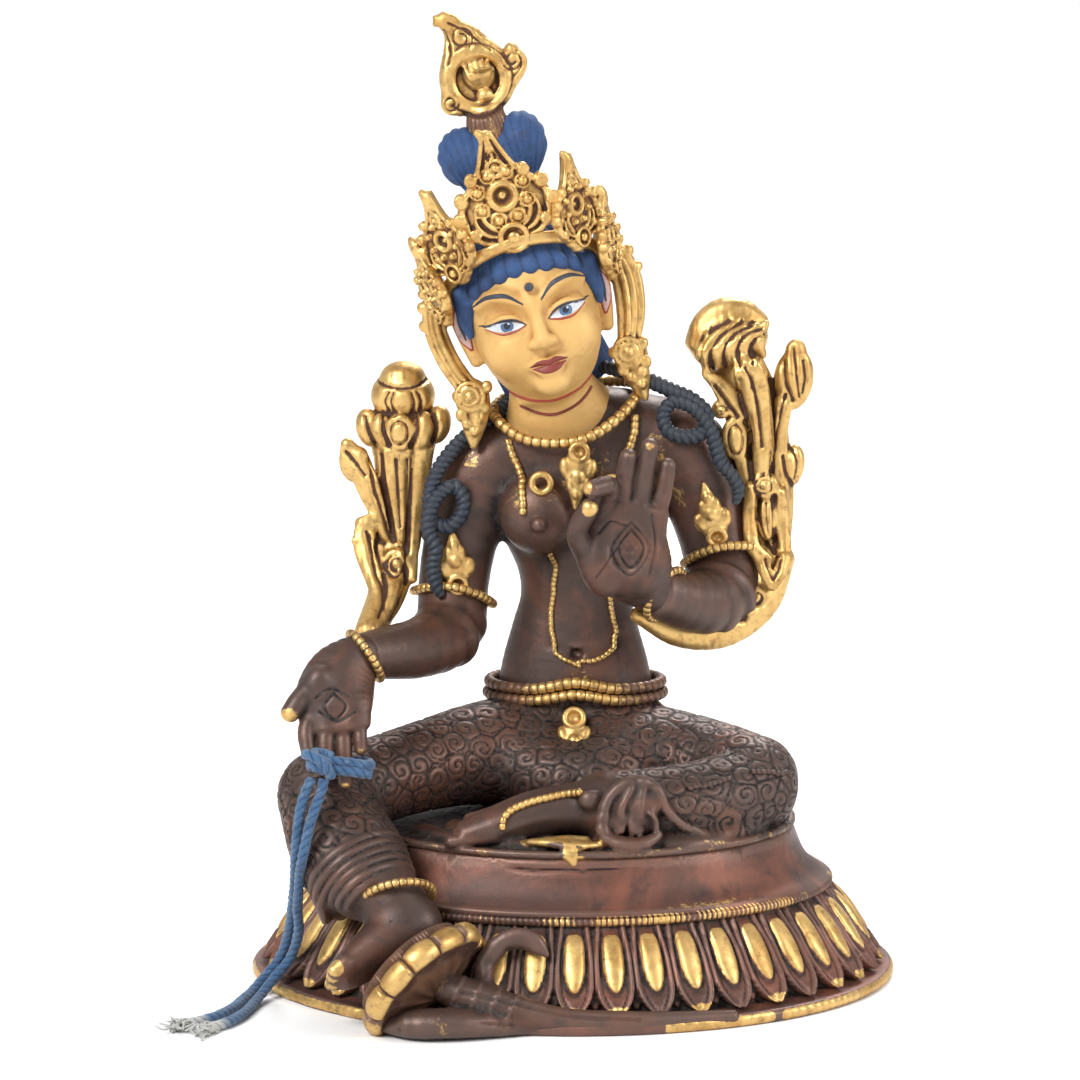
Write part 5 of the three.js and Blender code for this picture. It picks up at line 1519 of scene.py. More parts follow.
RAISED_ARM = [
    (13, 12.4, 86, 8, 8.6), (23.6, 12, 82, 9.6, 9.6), (29.8, 11.4, 69, 8.8, 9), (33, 8.4, 56, 8.2, 8.4),
    (31.6, 0.6, 50, 7.6, 7.4), (25.4, -6.6, 50.4, 6.6, 6.4), (18.4, -13, 53.4, 5.4, 5),
]
NIPPLE = (-7.6, -4.9, 67.2)
NAVEL = (0.8, 4.0, 36.8)


def model_body():
    wax = Wax((-54, -32, 56), (46, 30, 134), 0.5)
    wax.limb(TORSO, up=(0, 1, 0), domes=(0, 0.4), blend=0, steps=34)
    wax.ball((-7.4, 3.6, 68.6), (9, 8.2, 9.2), blend=2.6)
    wax.ball((10, 3.8, 69.4), (8.8, 8, 9.2), blend=2.6)
    wax.ball((1.2, -4.6, 71), (1.6, 3.4, 8), turn_matrix(x=-14), 2.0, cut=True)
    wax.limb(LOWERED_ARM, up=(0, 1, 0.2), blend=3, steps=18, domes=(0.9, 0.4))
    wax.limb(RAISED_ARM, up=(0, 1, 0.2), blend=3, steps=18, domes=(0.9, 0.4))
    wax.ball(NIPPLE, 1.65, blend=0.35)
    wax.ball(NAVEL, (1.3, 1.2, 1.0), blend=0.6, cut=True)
    return wax.skin(3)


body_corners, body_faces = model_body()
GILT_PATCHES = [
    (-3.4, -4.4, 75.4, 9, 0.4), (-5.6, -4.8, 61.6, 6, 0.38), (-13, -2, 73, 7, 0.37),
    (-22, 4.6, 79.6, 6, 0.38), (19, 4, 83, 7, 0.38), (1.4, 3, 33, 6, 0.38), (-12, -1, 88, 6, 0.36),
    (24, 4, 72, 6, 0.36), (28, -2, 46, 6, 0.37), (6, 0.4, 80, 7, 0.38), (12, -3, 62, 5, 0.36),
    (-26, 2, 66, 5, 0.34),
]
belly_edge = [FIGURE.point(p) for p in (
    (-4.8, 4, 58), (-6.8, 4.6, 46), (-5, 4.4, 38.6), (0.6, 3.6, 36.6), (6.4, 4.2, 37.8), (11.4, 6.2, 40.2),
)]
groove = 0.3 * bell(to_lines(body_corners, [belly_edge]), 0, 1.2)
body_corners = body_corners - normals_of(body_corners, body_faces) * groove[:, None]
cast("torso_and_arms", body_corners, body_faces, COPPER, spots(body_corners, GILT_PATCHES))

# %% [markdown]
# The hands are finer than the rest, so each is a block of its own with a smaller grid. A hand is a palm
# with an oval section and five fingers in three joints each, which swell at the knuckles. The lines of the
# palm, and a lozenge with a small flower in it, are cut in as shallow grooves, and the nails that show are
# gilded.

# %% Hands


def finger(wax, root, knuckle, tip, radius):
    """A finger through three points, a little fuller at each joint."""
    path = smooth_path([root, knuckle, tip], 9)
    swell = 1 + 0.06 * np.abs(np.cos(np.linspace(0, 2.6 * math.pi, 9)))
    radii = radius * np.linspace(1.05, 0.86, 9) * swell
    wax.tube([tuple(p) for p in path], radii, blend=0.55, steps=14)


def raised_hand():
    wax = Wax((-4, -32, 82), (26, -6, 124), 0.32)
    wax.limb(
        [(19.6, -12, 52.8, 5.4, 5), (18.2, -13, 53.6, 5, 4.6), (13.6, -15.6, 58.8, 8.4, 5),
         (10.6, -17.2, 66, 9.6, 4.2), (12, -18.2, 73.6, 8.8, 3.2)],
        up=(0, 1, 0), blend=0, domes=(0, 0.7), steps=14,
    )
    wax.ball((5.4, -19.4, 60.4), (4.2, 3.4, 7), turn_matrix(y=-16), 2.2)
    wax.ball((15.6, -18.4, 60.6), (3.8, 3, 6.4), turn_matrix(y=10), 2.2)
    wax.ball((11.6, -21.6, 64.6), (3, 1.6, 4.6), blend=1.8, cut=True)
    finger(wax, (10, -18.6, 72.6), (11, -19.4, 79.6), (11.8, -19.6, 84.6), 2.15)
    finger(wax, (14.2, -18.4, 73.4), (15.4, -19, 81), (16.4, -19, 86.8), 2.15)
    finger(wax, (18, -17.8, 71.6), (19.6, -18, 78), (20.3, -17.8, 82.4), 2.0)
    finger(wax, (6.4, -18.4, 72.6), (7.4, -22.6, 78.6), (3.8, -25.8, 78.4), 2.25)
    finger(wax, (3.2, -18.6, 61.6), (0.8, -22, 68.6), (3.4, -24.6, 74.2), 2.35)
    return wax.skin()


PALM_LINES = [
    [(5.4, -23, 68), (8, -23, 70.6), (11.4, -23, 69.4)], [(4.8, -23, 58.4), (7.4, -23, 62), (9.6, -23, 64.6)],
    [(12.4, -22, 70.4), (8.4, -22, 64.4), (12, -22, 58.6), (16.4, -22, 64.8), (12.4, -22, 70.4)],
    [(12.4, -22, 68.6), (9.8, -22, 64.4), (12.2, -22, 60.4), (15, -22, 64.8), (12.4, -22, 68.6)],
    [(16.8, -21, 72), (17.6, -21, 66), (16.4, -21, 59)],
]


def cut_lines(corners, faces, lines, width, depth, place=FIGURE, facing=-0.2):
    """Grooves along lines that are drawn flat, facing the front; gives the corners and where the cut is."""
    flat = corners * (1, 0, 1)
    shadows = [place.point(smooth_path(line, 24)) * (1, 0, 1) for line in lines]
    normal = normals_of(corners, faces)
    cut = bell(to_lines(flat, shadows), 0, width) * (normal[:, 1] < facing)
    return corners - normal * (depth * cut)[:, None], cut


hand, hand_faces = raised_hand()
hand, cut = cut_lines(hand, hand_faces, PALM_LINES, 0.28, 0.22)
aside, above = hand[:, 0] - 12.2, hand[:, 2] - SEAT_HEIGHT - 64.4
petals = np.abs(np.cos(np.arctan2(above, aside) * 3)) * bell(np.hypot(aside, above), 1.3, 0.5)
petals = petals * (hand[:, 1] < -18)
hand = hand + normals_of(hand, hand_faces) * (0.22 * petals)[:, None]
nails = [
    (2.0, -27.2, 78.9, 1.9, 1.0), (3.4, -26.6, 74.4, 2.0, 1.0), (11.9, -21.4, 85, 1.4, 0.42),
    (16.4, -20.8, 87, 1.5, 0.45),
]
# The palm lines are made deeper hollows, for painted shade in them.
cast(
    "raised_hand", hand, hand_faces, COPPER, spots(hand, nails + [(16, -20, 60, 2.0, 0.5)]),
    hollow=np.clip(hollows(hand, hand_faces, 20, 0.35) + 0.16 * cut, 0, 1),
)


def lowered_hand():
    wax = Wax((-66, -42, 46), (-40, -17, 82), 0.32)
    wax.limb(
        [(-44.6, -21, 41.4, 5, 4.8), (-45.4, -22, 41.4, 4.9, 4.5), (-49.8, -27, 38, 7.6, 4.2),
         (-51.6, -30.6, 33.4, 8.4, 3.8), (-51, -33.4, 27.6, 7.4, 3.2)],
        up=(0, 1, 0), blend=0, domes=(0, 0.7), steps=14,
    )
    wax.ball((-55.4, -31.6, 36.4), (3.2, 2.8, 4.6), turn_matrix(y=20), 1.8)
    wax.ball((-51, -37.2, 31.6), (2.8, 1.4, 3.2), blend=1.6, cut=True)
    finger(wax, (-55.8, -31.6, 31), (-57.6, -34.8, 27), (-57.2, -36.4, 23.6), 1.85)
    finger(wax, (-53, -33.2, 29), (-53.4, -36, 23), (-52.7, -37, 19.0), 2.0)
    finger(wax, (-49.8, -33, 29), (-49.4, -35.8, 22), (-49, -36.8, 16.4), 1.85)
    finger(wax, (-46.6, -32.2, 30), (-46, -34.6, 26.4), (-45.8, -35.6, 23.4), 1.6)
    finger(wax, (-54.2, -29.4, 36.6), (-58.2, -32.2, 34.4), (-61, -34.2, 31), 2.4)
    return wax.skin()


PALM_MARKS = [
    [(-55.4, -36, 34.4), (-52.6, -36, 36.2), (-48.4, -36, 34.8)],
    [(-54.6, -36, 31.4), (-51, -36, 29.6), (-47, -36, 31.4)],
    [(-51.6, -36, 35.4), (-53.6, -36, 32.6), (-51.4, -36, 30), (-49, -36, 32.6), (-51.6, -36, 35.4)],
]
hand, hand_faces = lowered_hand()
hand, cut = cut_lines(hand, hand_faces, PALM_MARKS, 0.3, 0.26)
nails = [(-61.6, -35.8, 30.4, 2.2, 1.0), (-45.8, -36.6, 23.2, 1.4, 0.5), (-49, -38, 16, 1.3, 0.5)]
# The palm marks are made deeper hollows, for painted shade in them.
cast(
    "lowered_hand", hand, hand_faces, COPPER, spots(hand, nails),
    hollow=np.clip(hollows(hand, hand_faces, 20, 0.35) + 0.35 * cut, 0, 1),
)

# %% [markdown]
# The head leans to one side and turns a little. The face is a plain ideal one, built on the proportions of
# drawing books: the eyes half way up, the mouth a third of the way from nose to chin. It could be sculpted
# by hand, but pressed forms keep it even on both sides: a skull of oval sections, sockets cut in, lids,
# nose and lips laid on.

# %% Head and neck
SKULL = [
    (0, 1.8, 21, 6.4, 7), (0, 1.6, 17.4, 10.6, 11.4), (0, 1.2, 11, 13.8, 15.6), (0, 0.6, 3.6, 14.6, 17.0),
    (0, -1, -3, 13.7, 15.6), (0, -3, -8.2, 11, 13.0), (0, -5.6, -12.2, 7.8, 9.8),
    (0, -7.6, -14.6, 4.8, 5.8),
]
NECK = [
    (-6.6, 6, 103, 7.8, 7.6), (-5.4, 6.8, 97, 8.8, 8.2), (-3.6, 8.8, 91.6, 11, 8.6),
    (-2, 11.4, 86.4, 14.2, 9.4),
]


def model_head():
    wax = Wax((-34, -20, 116), (18, 30, 178), 0.4)
    wax.limb(SKULL, up=(0, 1, 0), domes=(0.6, 0.4), blend=0, steps=18, place=HEAD)
    wax.limb(NECK, up=(0, 1, 0), blend=1.6, domes=(0.3, 0.1))
    wax.limb([(-6.2, -1.2, 95.4, 6.2, 1.3), (-6.4, -1, 96, 6.2, 1.2)], up=(0, 1, 0), blend=2.5, steps=1)
    for side in (-1, 1):
        def pair(x, y, z):
            return (side * x, y, z)
        wax.ball(pair(7.4, -10.6, -4.2), (5, 4.4, 5.2), blend=4, place=HEAD)
        wax.limb(
            [(*pair(2.2, -16, 5.6), 1.5, 1.2), (*pair(6.6, -15.2, 8.4), 2, 1.6),
             (*pair(11.4, -10.2, 7), 1.4, 1)],
            blend=2.4, place=HEAD,
        )
        wax.ball(pair(6.8, -17.0, 2.5), (5.0, 2.2, 2.9), turn_matrix(z=side * 16), 1.8, cut=True, place=HEAD)
        wax.ball(pair(6.7, -12.6, 2.2), (4.6, 2.9, 2.9), turn_matrix(z=side * 12), 0.6, place=HEAD)
        upper = [
            pair(2.5, -15.7, 1.0), pair(4.6, -16.0, 3.1), pair(7.2, -15.6, 3.7), pair(9.8, -13.8, 2.9),
            pair(11.6, -11.8, 2.3),
        ]
        wax.tube(upper, (0.35, 0.62, 0.72, 0.6, 0.3), blend=0.5, place=HEAD)
        lower = [pair(2.5, -15.7, 1.0), pair(4.8, -15.7, 0.0), pair(7.4, -15.0, -0.1), pair(11.4, -12, 2.2)]
        wax.tube(lower, (0.3, 0.42, 0.45, 0.3), blend=0.6, place=HEAD)
        wax.ball(pair(2.15, -17.3, -3.5), (1.35, 1.6, 1.2), blend=0.8, place=HEAD)
        wax.ball(pair(1.05, -18.1, -4.5), (0.62, 0.7, 0.45), blend=0.2, cut=True, place=HEAD)
        ear = [
            (15.2, 1.6, 8.4, 1.7, 2), (15.8, -0.2, 5, 2.2, 1.8), (15.6, -0.8, 0, 1.9, 1.7),
            (14.8, -1, -5.6, 1.5, 1.5),
        ]
        wax.limb(
            [(*pair(*place), wide, deep) for *place, wide, deep in ear],
            up=(0, 1, 0), blend=0.8, place=HEAD,
        )
    wax.limb(
        [(0, -15.4, 7.6, 1.5, 1.4), (0, -16.8, 3.6, 1.3, 1.5), (0, -17.6, 0, 1.5, 1.7),
         (0, -18.3, -3.1, 1.8, 1.8)],
        up=(0, 1, 0), blend=1.3, domes=(1, 1), place=HEAD,
    )
    wax.ball((0, -16.9, -5.9), (0.75, 1.0, 1.3), blend=0.7, cut=True, place=HEAD)
    upper_lip = [
        (-4.7, -14.9, -8.3), (-1.9, -16.35, -7.5), (0, -16.7, -7.9), (1.9, -16.35, -7.5),
        (4.7, -14.9, -8.3),
    ]
    wax.tube(upper_lip, (0.35, 0.85, 0.8, 0.85, 0.35), blend=0.7, place=HEAD)
    lower_lip = [(-4, -15, -8.8), (-1.6, -16.1, -9.6), (1.6, -16.1, -9.6), (4, -15, -8.8)]
    wax.tube(lower_lip, (0.35, 1.05, 1.05, 0.35), blend=0.6, place=HEAD)
    mouth_line = [(-4.6, -15.6, -8.4), (0, -17.7, -8.75), (4.6, -15.6, -8.4)]
    wax.tube(mouth_line, (0.3, 0.36, 0.3), blend=0.25, cut=True, place=HEAD)
    wax.ball((0, -13.6, -13.2), (3.6, 3.2, 2.6), blend=3, place=HEAD)
    wax.ball((0.2, -17.9, 9.0), (1.35, 0.8, 1.25), blend=0.15, place=HEAD)
    return wax.skin(2)


head, head_faces = model_head()
cast(
    "head_and_neck", head, head_faces, FACE_GOLD, slot="face_gold",
    hollow=hollows(head, head_faces, 16, 0.5),
)

# %% [markdown]
# The features are painted on: brows, the whites and irises of the eyes, lids, lips, the rims of the ears
# and two thin lines round the neck. Colour alone could do it, with a mask in the gold's material. Here each
# is a thin skin of its own laid on the face, so that its edge stays as crisp as a brush stroke, and it can
# keep its own shine. A stroke is a small grid of points that is dropped onto the face along a straight
# line.

# %% Paint laid on the face
face_tree = BVHTree.FromPolygons([Vector(c) for c in head], [tuple(f) for f in head_faces.tolist()])


def dropped(points, towards, lift):
    """Points moved along a direction onto the face, then lifted off it by a hair."""
    rows = []
    for point in points:
        hit, normal, _, _ = face_tree.ray_cast(Vector(point - towards * 30), Vector(towards))
        rows.append(point if hit is None else np.array(hit) + np.array(normal) * lift)
    return np.array(rows)


def laid_paint(name, grid, material, lift=0.07):
    """A closed thin skin of paint from a grid of points near the face, rows by columns."""
    rows, count = grid.shape[:2]
    towards = unit(HEAD.turn @ (0, 1, 0))
    front = dropped(HEAD.point(grid.reshape(-1, 3)), towards, lift)
    back = front + towards * 0.35
    i, j = np.meshgrid(np.arange(rows - 1), np.arange(count - 1), indexing="ij")
    here = i * count + j
    quads = np.stack([here, here + 1, here + count + 1, here + count], axis=-1).reshape(-1, 4)
    far = rows * count
    top, bottom = np.arange(count - 1), (rows - 1) * count + np.arange(count - 1)
    left, right = np.arange(rows - 1) * count, np.arange(rows - 1) * count + count - 1
    edges = [
        np.stack([top, top + far, top + 1 + far, top + 1], axis=1),
        np.stack([bottom + 1, bottom + 1 + far, bottom + far, bottom], axis=1),
        np.stack([left + count, left + count + far, left + far, left], axis=1),
        np.stack([right, right + far, right + count + far, right + count], axis=1),
    ]
    faces = np.vstack([quads, quads[:, ::-1] + far, *edges])
    corners = np.vstack([front, back])
    cross = np.cross(corners[quads[:, 2]] - corners[quads[:, 0]], corners[quads[:, 3]] - corners[quads[:, 1]])
    if (cross @ towards).mean() > 0:
        faces = faces[:, ::-1]
    return cast(name, corners, faces, material, slot="face_paint", hollow=np.full(len(corners), 0.5))


def stroke(line, widths, across=(0, 0, 1), steps=36, ribs=5):
    """The grid of a brush stroke along a line, as wide as the brush was pressed."""
    path = smooth_path([[*p, w] for p, w in zip(line, widths)], steps)
    spread = np.linspace(-0.5, 0.5, ribs)[:, None, None] * path[None, :, 3:4]
    return path[None, :, :3] + spread * np.array(across, float)


def lens(side, left, right, low_mid, high_mid, steps=22, ribs=9):
    """The grid of an eye's opening between two corners, with the middle of its lower and upper edge."""
    x = np.linspace(0, 1, steps)
    arch = (4 * x * (1 - x)) ** 0.75
    base = left[1] + (right[1] - left[1]) * x
    low = base + (low_mid - (left[1] + right[1]) / 2) * arch
    high = base + (high_mid - (left[1] + right[1]) / 2) * arch
    v = np.linspace(0, 1, ribs)[:, None]
    z = low + (high - low) * v
    across = side * (left[0] + (right[0] - left[0]) * x)
    return np.stack([np.broadcast_to(across, z.shape), np.full(z.shape, -15.0), z], axis=-1)


# %% Brows, eyes and mouth


def paint_disc(side, centre, radius, low, high, steps=18, ribs=11):
    """The grid of a round iris whose top or foot hides behind a lid."""
    x = np.linspace(-1, 1, steps) * 0.98
    reach = np.sqrt(1 - x * x) * radius
    bottom = np.maximum(centre[1] - reach, low)
    top = np.minimum(centre[1] + reach, high)
    v = np.linspace(0, 1, ribs)[:, None]
    z = bottom + (top - bottom) * v
    across = side * centre[0] + x * radius
    return np.stack([np.broadcast_to(across, z.shape), np.full(z.shape, -15.0), z], axis=-1)


for side, label in ((-1, "left"), (1, "right")):
    brow = [(side * 2.0, -16, 5.6), (side * 5.2, -16, 8.3), (side * 8.8, -14, 8.9), (side * 12.6, -10, 7.2)]
    laid_paint(f"brow_{label}", stroke(brow, (0.5, 0.95, 0.85, 0.25)), BROW_INK)
    laid_paint(f"eye_white_{label}", lens(side, (2.9, 1.1), (11.0, 2.3), 0.45, 2.75), EYE_WHITE)
    laid_paint(f"iris_{label}", paint_disc(side, (6.6, 1.75), 1.4, 0.62, 2.6), IRIS_BLUE, 0.13)
    laid_paint(f"pupil_{label}", paint_disc(side, (6.6, 1.85), 0.7, 0.6, 2.9), PUPIL_INK, 0.19)
    laid_paint(
        f"eye_glint_{label}", paint_disc(side, (6.6 + side * 0.45, 2.25), 0.24, 0.6, 2.9), EYE_WHITE, 0.24,
    )
    upper = [
        (side * 2.4, -15, 1.0), (side * 4.4, -15, 2.55), (side * 7.2, -15, 3.1), (side * 9.8, -14, 2.75),
        (side * 12.4, -11, 2.6),
    ]
    laid_paint(f"upper_lid_{label}", stroke(upper, (0.3, 0.6, 0.7, 0.6, 0.2)), BROW_INK)
    lower = [(side * 2.7, -15, 0.9), (side * 5, -15, 0.2), (side * 7.6, -15, 0.1), (side * 11.2, -13, 2.0)]
    laid_paint(f"lower_lid_{label}", stroke(lower, (0.3, 0.42, 0.42, 0.2)), LINE_RED, 0.09)
lips = [(-4.3, -15, -8.35), (-1.8, -16, -7.8), (0, -16, -8.0), (1.8, -16, -7.8), (4.3, -15, -8.35)]
laid_paint("upper_lip_paint", stroke(lips, (0.15, 1.2, 1.15, 1.2, 0.15)), LIP_RED)
lips = [(-3.8, -15, -8.8), (-1.5, -16, -9.4), (1.5, -16, -9.4), (3.8, -15, -8.8)]
laid_paint("lower_lip_paint", stroke(lips, (0.15, 1.55, 1.55, 0.15)), LIP_RED)
spot = np.array([
    [
        (0.2 + 0.95 * r * math.sin(a), -17, 9.0 + 0.9 * r * math.cos(a))
        for a in np.linspace(0, 2 * math.pi, 19)
    ]
    for r in np.linspace(0.05, 1, 4)
])
laid_paint("brow_jewel", spot, BROW_INK, 0.12)
print("face painted")

# %% Neck lines and ears
NECK_MIDDLE = (-5.2, 7.4)


def wound(name, points, radius, material):
    """A thin painted line that follows the surface round the neck's upright middle."""
    rows = []
    for point in smooth_path(points, 60):
        towards = unit((NECK_MIDDLE[0] - point[0], NECK_MIDDLE[1] - point[1], 0))
        rows.append(dropped([FIGURE.point(point)], towards, 0.05)[0])
    corners, faces, hollow = swept(np.array(rows), lambda travel, angle: (radius, 0.5), 8)
    return cast(name, corners, faces, material, slot="face_paint", hollow=hollow)


NECK_FOLD = [(-13.4, 0, 96.2), (-9.6, -4, 94.6), (-4, -5, 94.6), (1.6, -2, 97.2), (3.4, 2, 99.6)]
NECK_FOOT = [(-14, 0, 92.6), (-9, -4, 91.2), (-3, -5, 91.0), (3.2, -2, 93), (6.4, 3, 96.6)]
wound("neck_line_red", NECK_FOLD, 0.36, LINE_RED)
wound("neck_line_dark", NECK_FOOT, 0.34, LIP_RED)
for side, label in ((-1, "left"), (1, "right")):
    inner = [(side * 15.6, -2, 8.2), (side * 16.2, -2, 4.0), (side * 15.9, -2, -0.4), (side * 15.2, -2, -3)]
    laid_paint(f"ear_rim_{label}", stroke(inner, (0.7, 2.9, 2.5, 0.7), (1, 0, 0)), LINE_RED, 0.05)
    inner[0], inner[-1] = (side * 15.7, -2, 7.5), (side * 15.3, -2, -2.4)
    laid_paint(f"ear_hollow_{label}", stroke(inner, (0.4, 2.2, 1.9, 0.4), (1, 0, 0)), EAR_PINK, 0.12)
    laid_paint(f"ear_shadow_{label}", stroke(inner[:3], (0.2, 0.9, 0.3), (1, 0, 0)), BROW_INK, 0.18)

# %% [markdown]
# Her hair is combed back from a row of flat curls, bound by the crown, and drawn up into a topknot of two
# lobes. The mineral blue lies thick on it, so the strands show as soft ribs. The cap, the curls and the
# topknot are one pressed form, and the ribs are pushed up afterwards by a wave that runs round the place
# where the hair is tied.

# %% Hair
HAIR_CENTRE = np.array((0, 1.8, 7.0))
HAIR_SIZE = np.array((16.7, 18.6, 17.9))
HAIR_WAVES = 17  # half as many as the ribs round the head
LOBE_WAVES = 24
HAIRLINE_TILT = math.radians(38)
HAIRLINE_POINT = np.array((0, -17, 15.2))
HAIRLINE_UP = np.array((0, math.sin(HAIRLINE_TILT), math.cos(HAIRLINE_TILT)))


def hairline(angle):
    """The point of the hair's edge at an angle round the head, 0 in front."""
    middle = HAIR_CENTRE - HAIRLINE_UP * (HAIRLINE_UP @ (HAIR_CENTRE - HAIRLINE_POINT))
    ahead = np.array((0, -math.cos(HAIRLINE_TILT), math.sin(HAIRLINE_TILT)))
    way = math.sin(angle) * np.array((1, 0, 0)) + math.cos(angle) * ahead
    a, b = way / HAIR_SIZE, (middle - HAIR_CENTRE) / HAIR_SIZE
    reach = (-a @ b + math.sqrt((a @ b) ** 2 - (a @ a) * (b @ b - 1))) / (a @ a)
    return middle + way * reach


def model_hair():
    wax = Wax((-40, -18, 120), (16, 32, 196), 0.42)
    wax.ball(HAIR_CENTRE, HAIR_SIZE, blend=0, place=HEAD)
    wax.limb(
        [(0, 6, 8, 14.6, 12), (0, 8.6, -5, 12.6, 7.4), (2, 9.6, -16, 12.6, 5)],
        up=(0, 1, 0), blend=2, place=HEAD,
    )
    wax.slice_off(HAIRLINE_POINT, -HAIRLINE_UP, place=HEAD)
    wax.limb(
        [(0, 7.4, 8, 14.6, 11), (0, 9, -5, 12.6, 7), (2, 9.6, -16, 12.6, 5)],
        up=(0, 1, 0), blend=1.2, place=HEAD,
    )
    for step in np.linspace(-1, 1, 14):
        point = hairline(step * 1.3)
        outward = unit(point - HAIR_CENTRE)
        wax.ball(point - outward * 1.45 - HAIRLINE_UP * 0.2, (2.5, 1.7, 2.2), blend=0.3, place=HEAD)
    for side in (-1, 1):
        wax.limb(
            [(side * 14, -8.4, 10.5, 1.7, 2.4), (side * 14.6, -6.6, 5, 1.0, 1.8),
             (side * 14.6, -5.6, 0.4, 0.5, 0.8)],
            up=(1, 0, 0), blend=0.8, place=HEAD,
        )
    wax.limb(
        [(0, 3, 20, 9, 8), (0.4, 4, 27, 7.4, 7), (0.8, 4.4, 34, 7.8, 6.6), (1.0, 4.4, 38, 6.4, 5.6)],
        up=(0, 1, 0), blend=3, domes=(0.4, 0.6), place=HEAD,
    )
    wax.ball((-4.8, 4.4, 37.4), (6.2, 5.6, 7.0), turn_matrix(y=-20), 1.2, place=HEAD)
    wax.ball((7.0, 4.4, 37.0), (6.0, 5.8, 7.6), turn_matrix(y=16), 1.2, place=HEAD)
    return wax.skin(2)


hair, hair_faces = model_hair()
inner = (hair - HEAD.origin) @ HEAD.turn
round_head = np.arctan2(inner[:, 0], -(inner[:, 1] - 4))
topknot = soft_step(inner[:, 2], 27, 31)
lobe_side = np.where(inner[:, 0] < 0.8, -1, 1)
fan = np.arctan2(inner[:, 0] - 0.8 - lobe_side * 5.5, inner[:, 2] - 26)
strands = np.abs(np.sin(round_head * HAIR_WAVES)) * (1 - topknot)
strands = strands + np.abs(np.sin(fan * LOBE_WAVES)) * topknot
behind = soft_step(inner[:, 1], 8, 14) * (1 - topknot)
ribs = 0.34 * (strands - 0.6) * (1 - 0.5 * behind)
hair = hair + normals_of(hair, hair_faces) * ribs[:, None]
# Between the ribs the hollow is deepened, so painted shade lies there.
cast(
    "hair_and_topknot", hair, hair_faces, HAIR_BLUE, slot="hair_blue",
    hollow=np.clip(hollows(hair, hair_faces, 14, 0.5) + 0.3 * (0.5 - strands), 0, 1),
)

# %% [markdown]
# Two locks have slipped free. Each is a twisted tress that runs over the shoulder, makes a small loop and
# ends above the arm jewel, painted a darker indigo. A rope of two plies with a short lay gives the ribbed
# look.

# %% Tresses
TRESSES = {
    "left": [
        (-10, 13, 94, 1.5), (-15, 10.6, 91.4, 1.7), (-20.4, 6.6, 87.6, 1.8), (-26.6, 3.6, 82.4, 1.8),
        (-30.4, 2.4, 76.6, 1.8), (-31.6, 1.6, 71.4, 1.8), (-30.8, 0.9, 67, 1.8), (-27.6, 0.6, 65.9, 1.8),
        (-24.6, 0.4, 68.6, 1.7), (-24.2, 0.7, 72.4, 1.7), (-26.2, 1.0, 74.9, 1.7), (-28.8, 0.6, 73.6, 1.7),
        (-31.4, -0.2, 69.6, 1.8), (-31.8, -0.6, 65.2, 1.9), (-30.2, -0.9, 61.2, 1.8),
        (-30.8, -0.7, 57.4, 1.8), (-30.2, -0.8, 53.2, 1.7), (-29, -0.9, 50.6, 1.0),
    ],
    "right": [
        (6, 12, 100, 1.5), (10.4, 9, 99.4, 1.7), (15.6, 6.2, 98, 1.8), (21.4, 3.6, 95.8, 1.8),
        (26.6, 2.6, 93.4, 1.8), (29.4, 2.2, 90.2, 1.8), (28.2, 1.2, 86.8, 1.8), (24.2, 0.8, 85.8, 1.8),
        (20.6, 1.4, 87.4, 1.7), (19.8, 2, 90.6, 1.7), (22, 2.2, 93.4, 1.7), (25.6, 1.6, 92.6, 1.7),
        (29.6, 0.8, 88.4, 1.7), (31.2, 0.8, 84, 1.8), (32.4, 0.9, 80, 1.7), (35, 1.2, 77, 1.6),
        (36.4, 1.4, 73.8, 1.5), (35.6, 1.4, 70.8, 0.9),
    ],
}
for label, stations in TRESSES.items():
    path = smooth_path(FIGURE.stations(stations), 330)
    section = plied(1.0, 2, 3.0, 0.3)

    def tress(travel, angle):
        rope, hollow = section(travel, angle)
        return rope * path[:, 3:4], hollow

    corners, faces, hollow = swept(path[:, :3], tress, 20)
    cast(f"tress_{label}", corners, faces, INDIGO, slot="indigo", hollow=hollow)

# %% [markdown]
# A gilded finial stands on the topknot: a fluted collar, a flame shaped like a ring with a shell in it, small
# scrolls at its sides and a hooked peak. The wire of the ring and the scrolls are tubes pressed into the wax.

# %% Finial


def spiral(centre, start, turns, radius, count=26, hand=1):
    """Points of a flat scroll in the x and z of its frame, from its outer end to its middle."""
    x, y, z = centre
    share = np.linspace(0, 1, count)
    turn = math.radians(start) + hand * share * turns * 2 * math.pi
    reach = radius * (1 - share * 0.65)
    return [(x + r * math.cos(t), y, z + r * math.sin(t)) for r, t in zip(reach, turn)]


def circle(centre, radius, count=17):
    """Points of a ring in the x and z of its frame, with the first point again at its end."""
    x, y, z = centre
    return [
        (x + radius * math.cos(a), y, z + radius * math.sin(a)) for a in np.linspace(0, 2 * math.pi, count)
    ]


FINIAL = Place(HEAD.point((2.0, 4.4, 53)), HEAD.turn)
COLLAR_FLUTES = 24


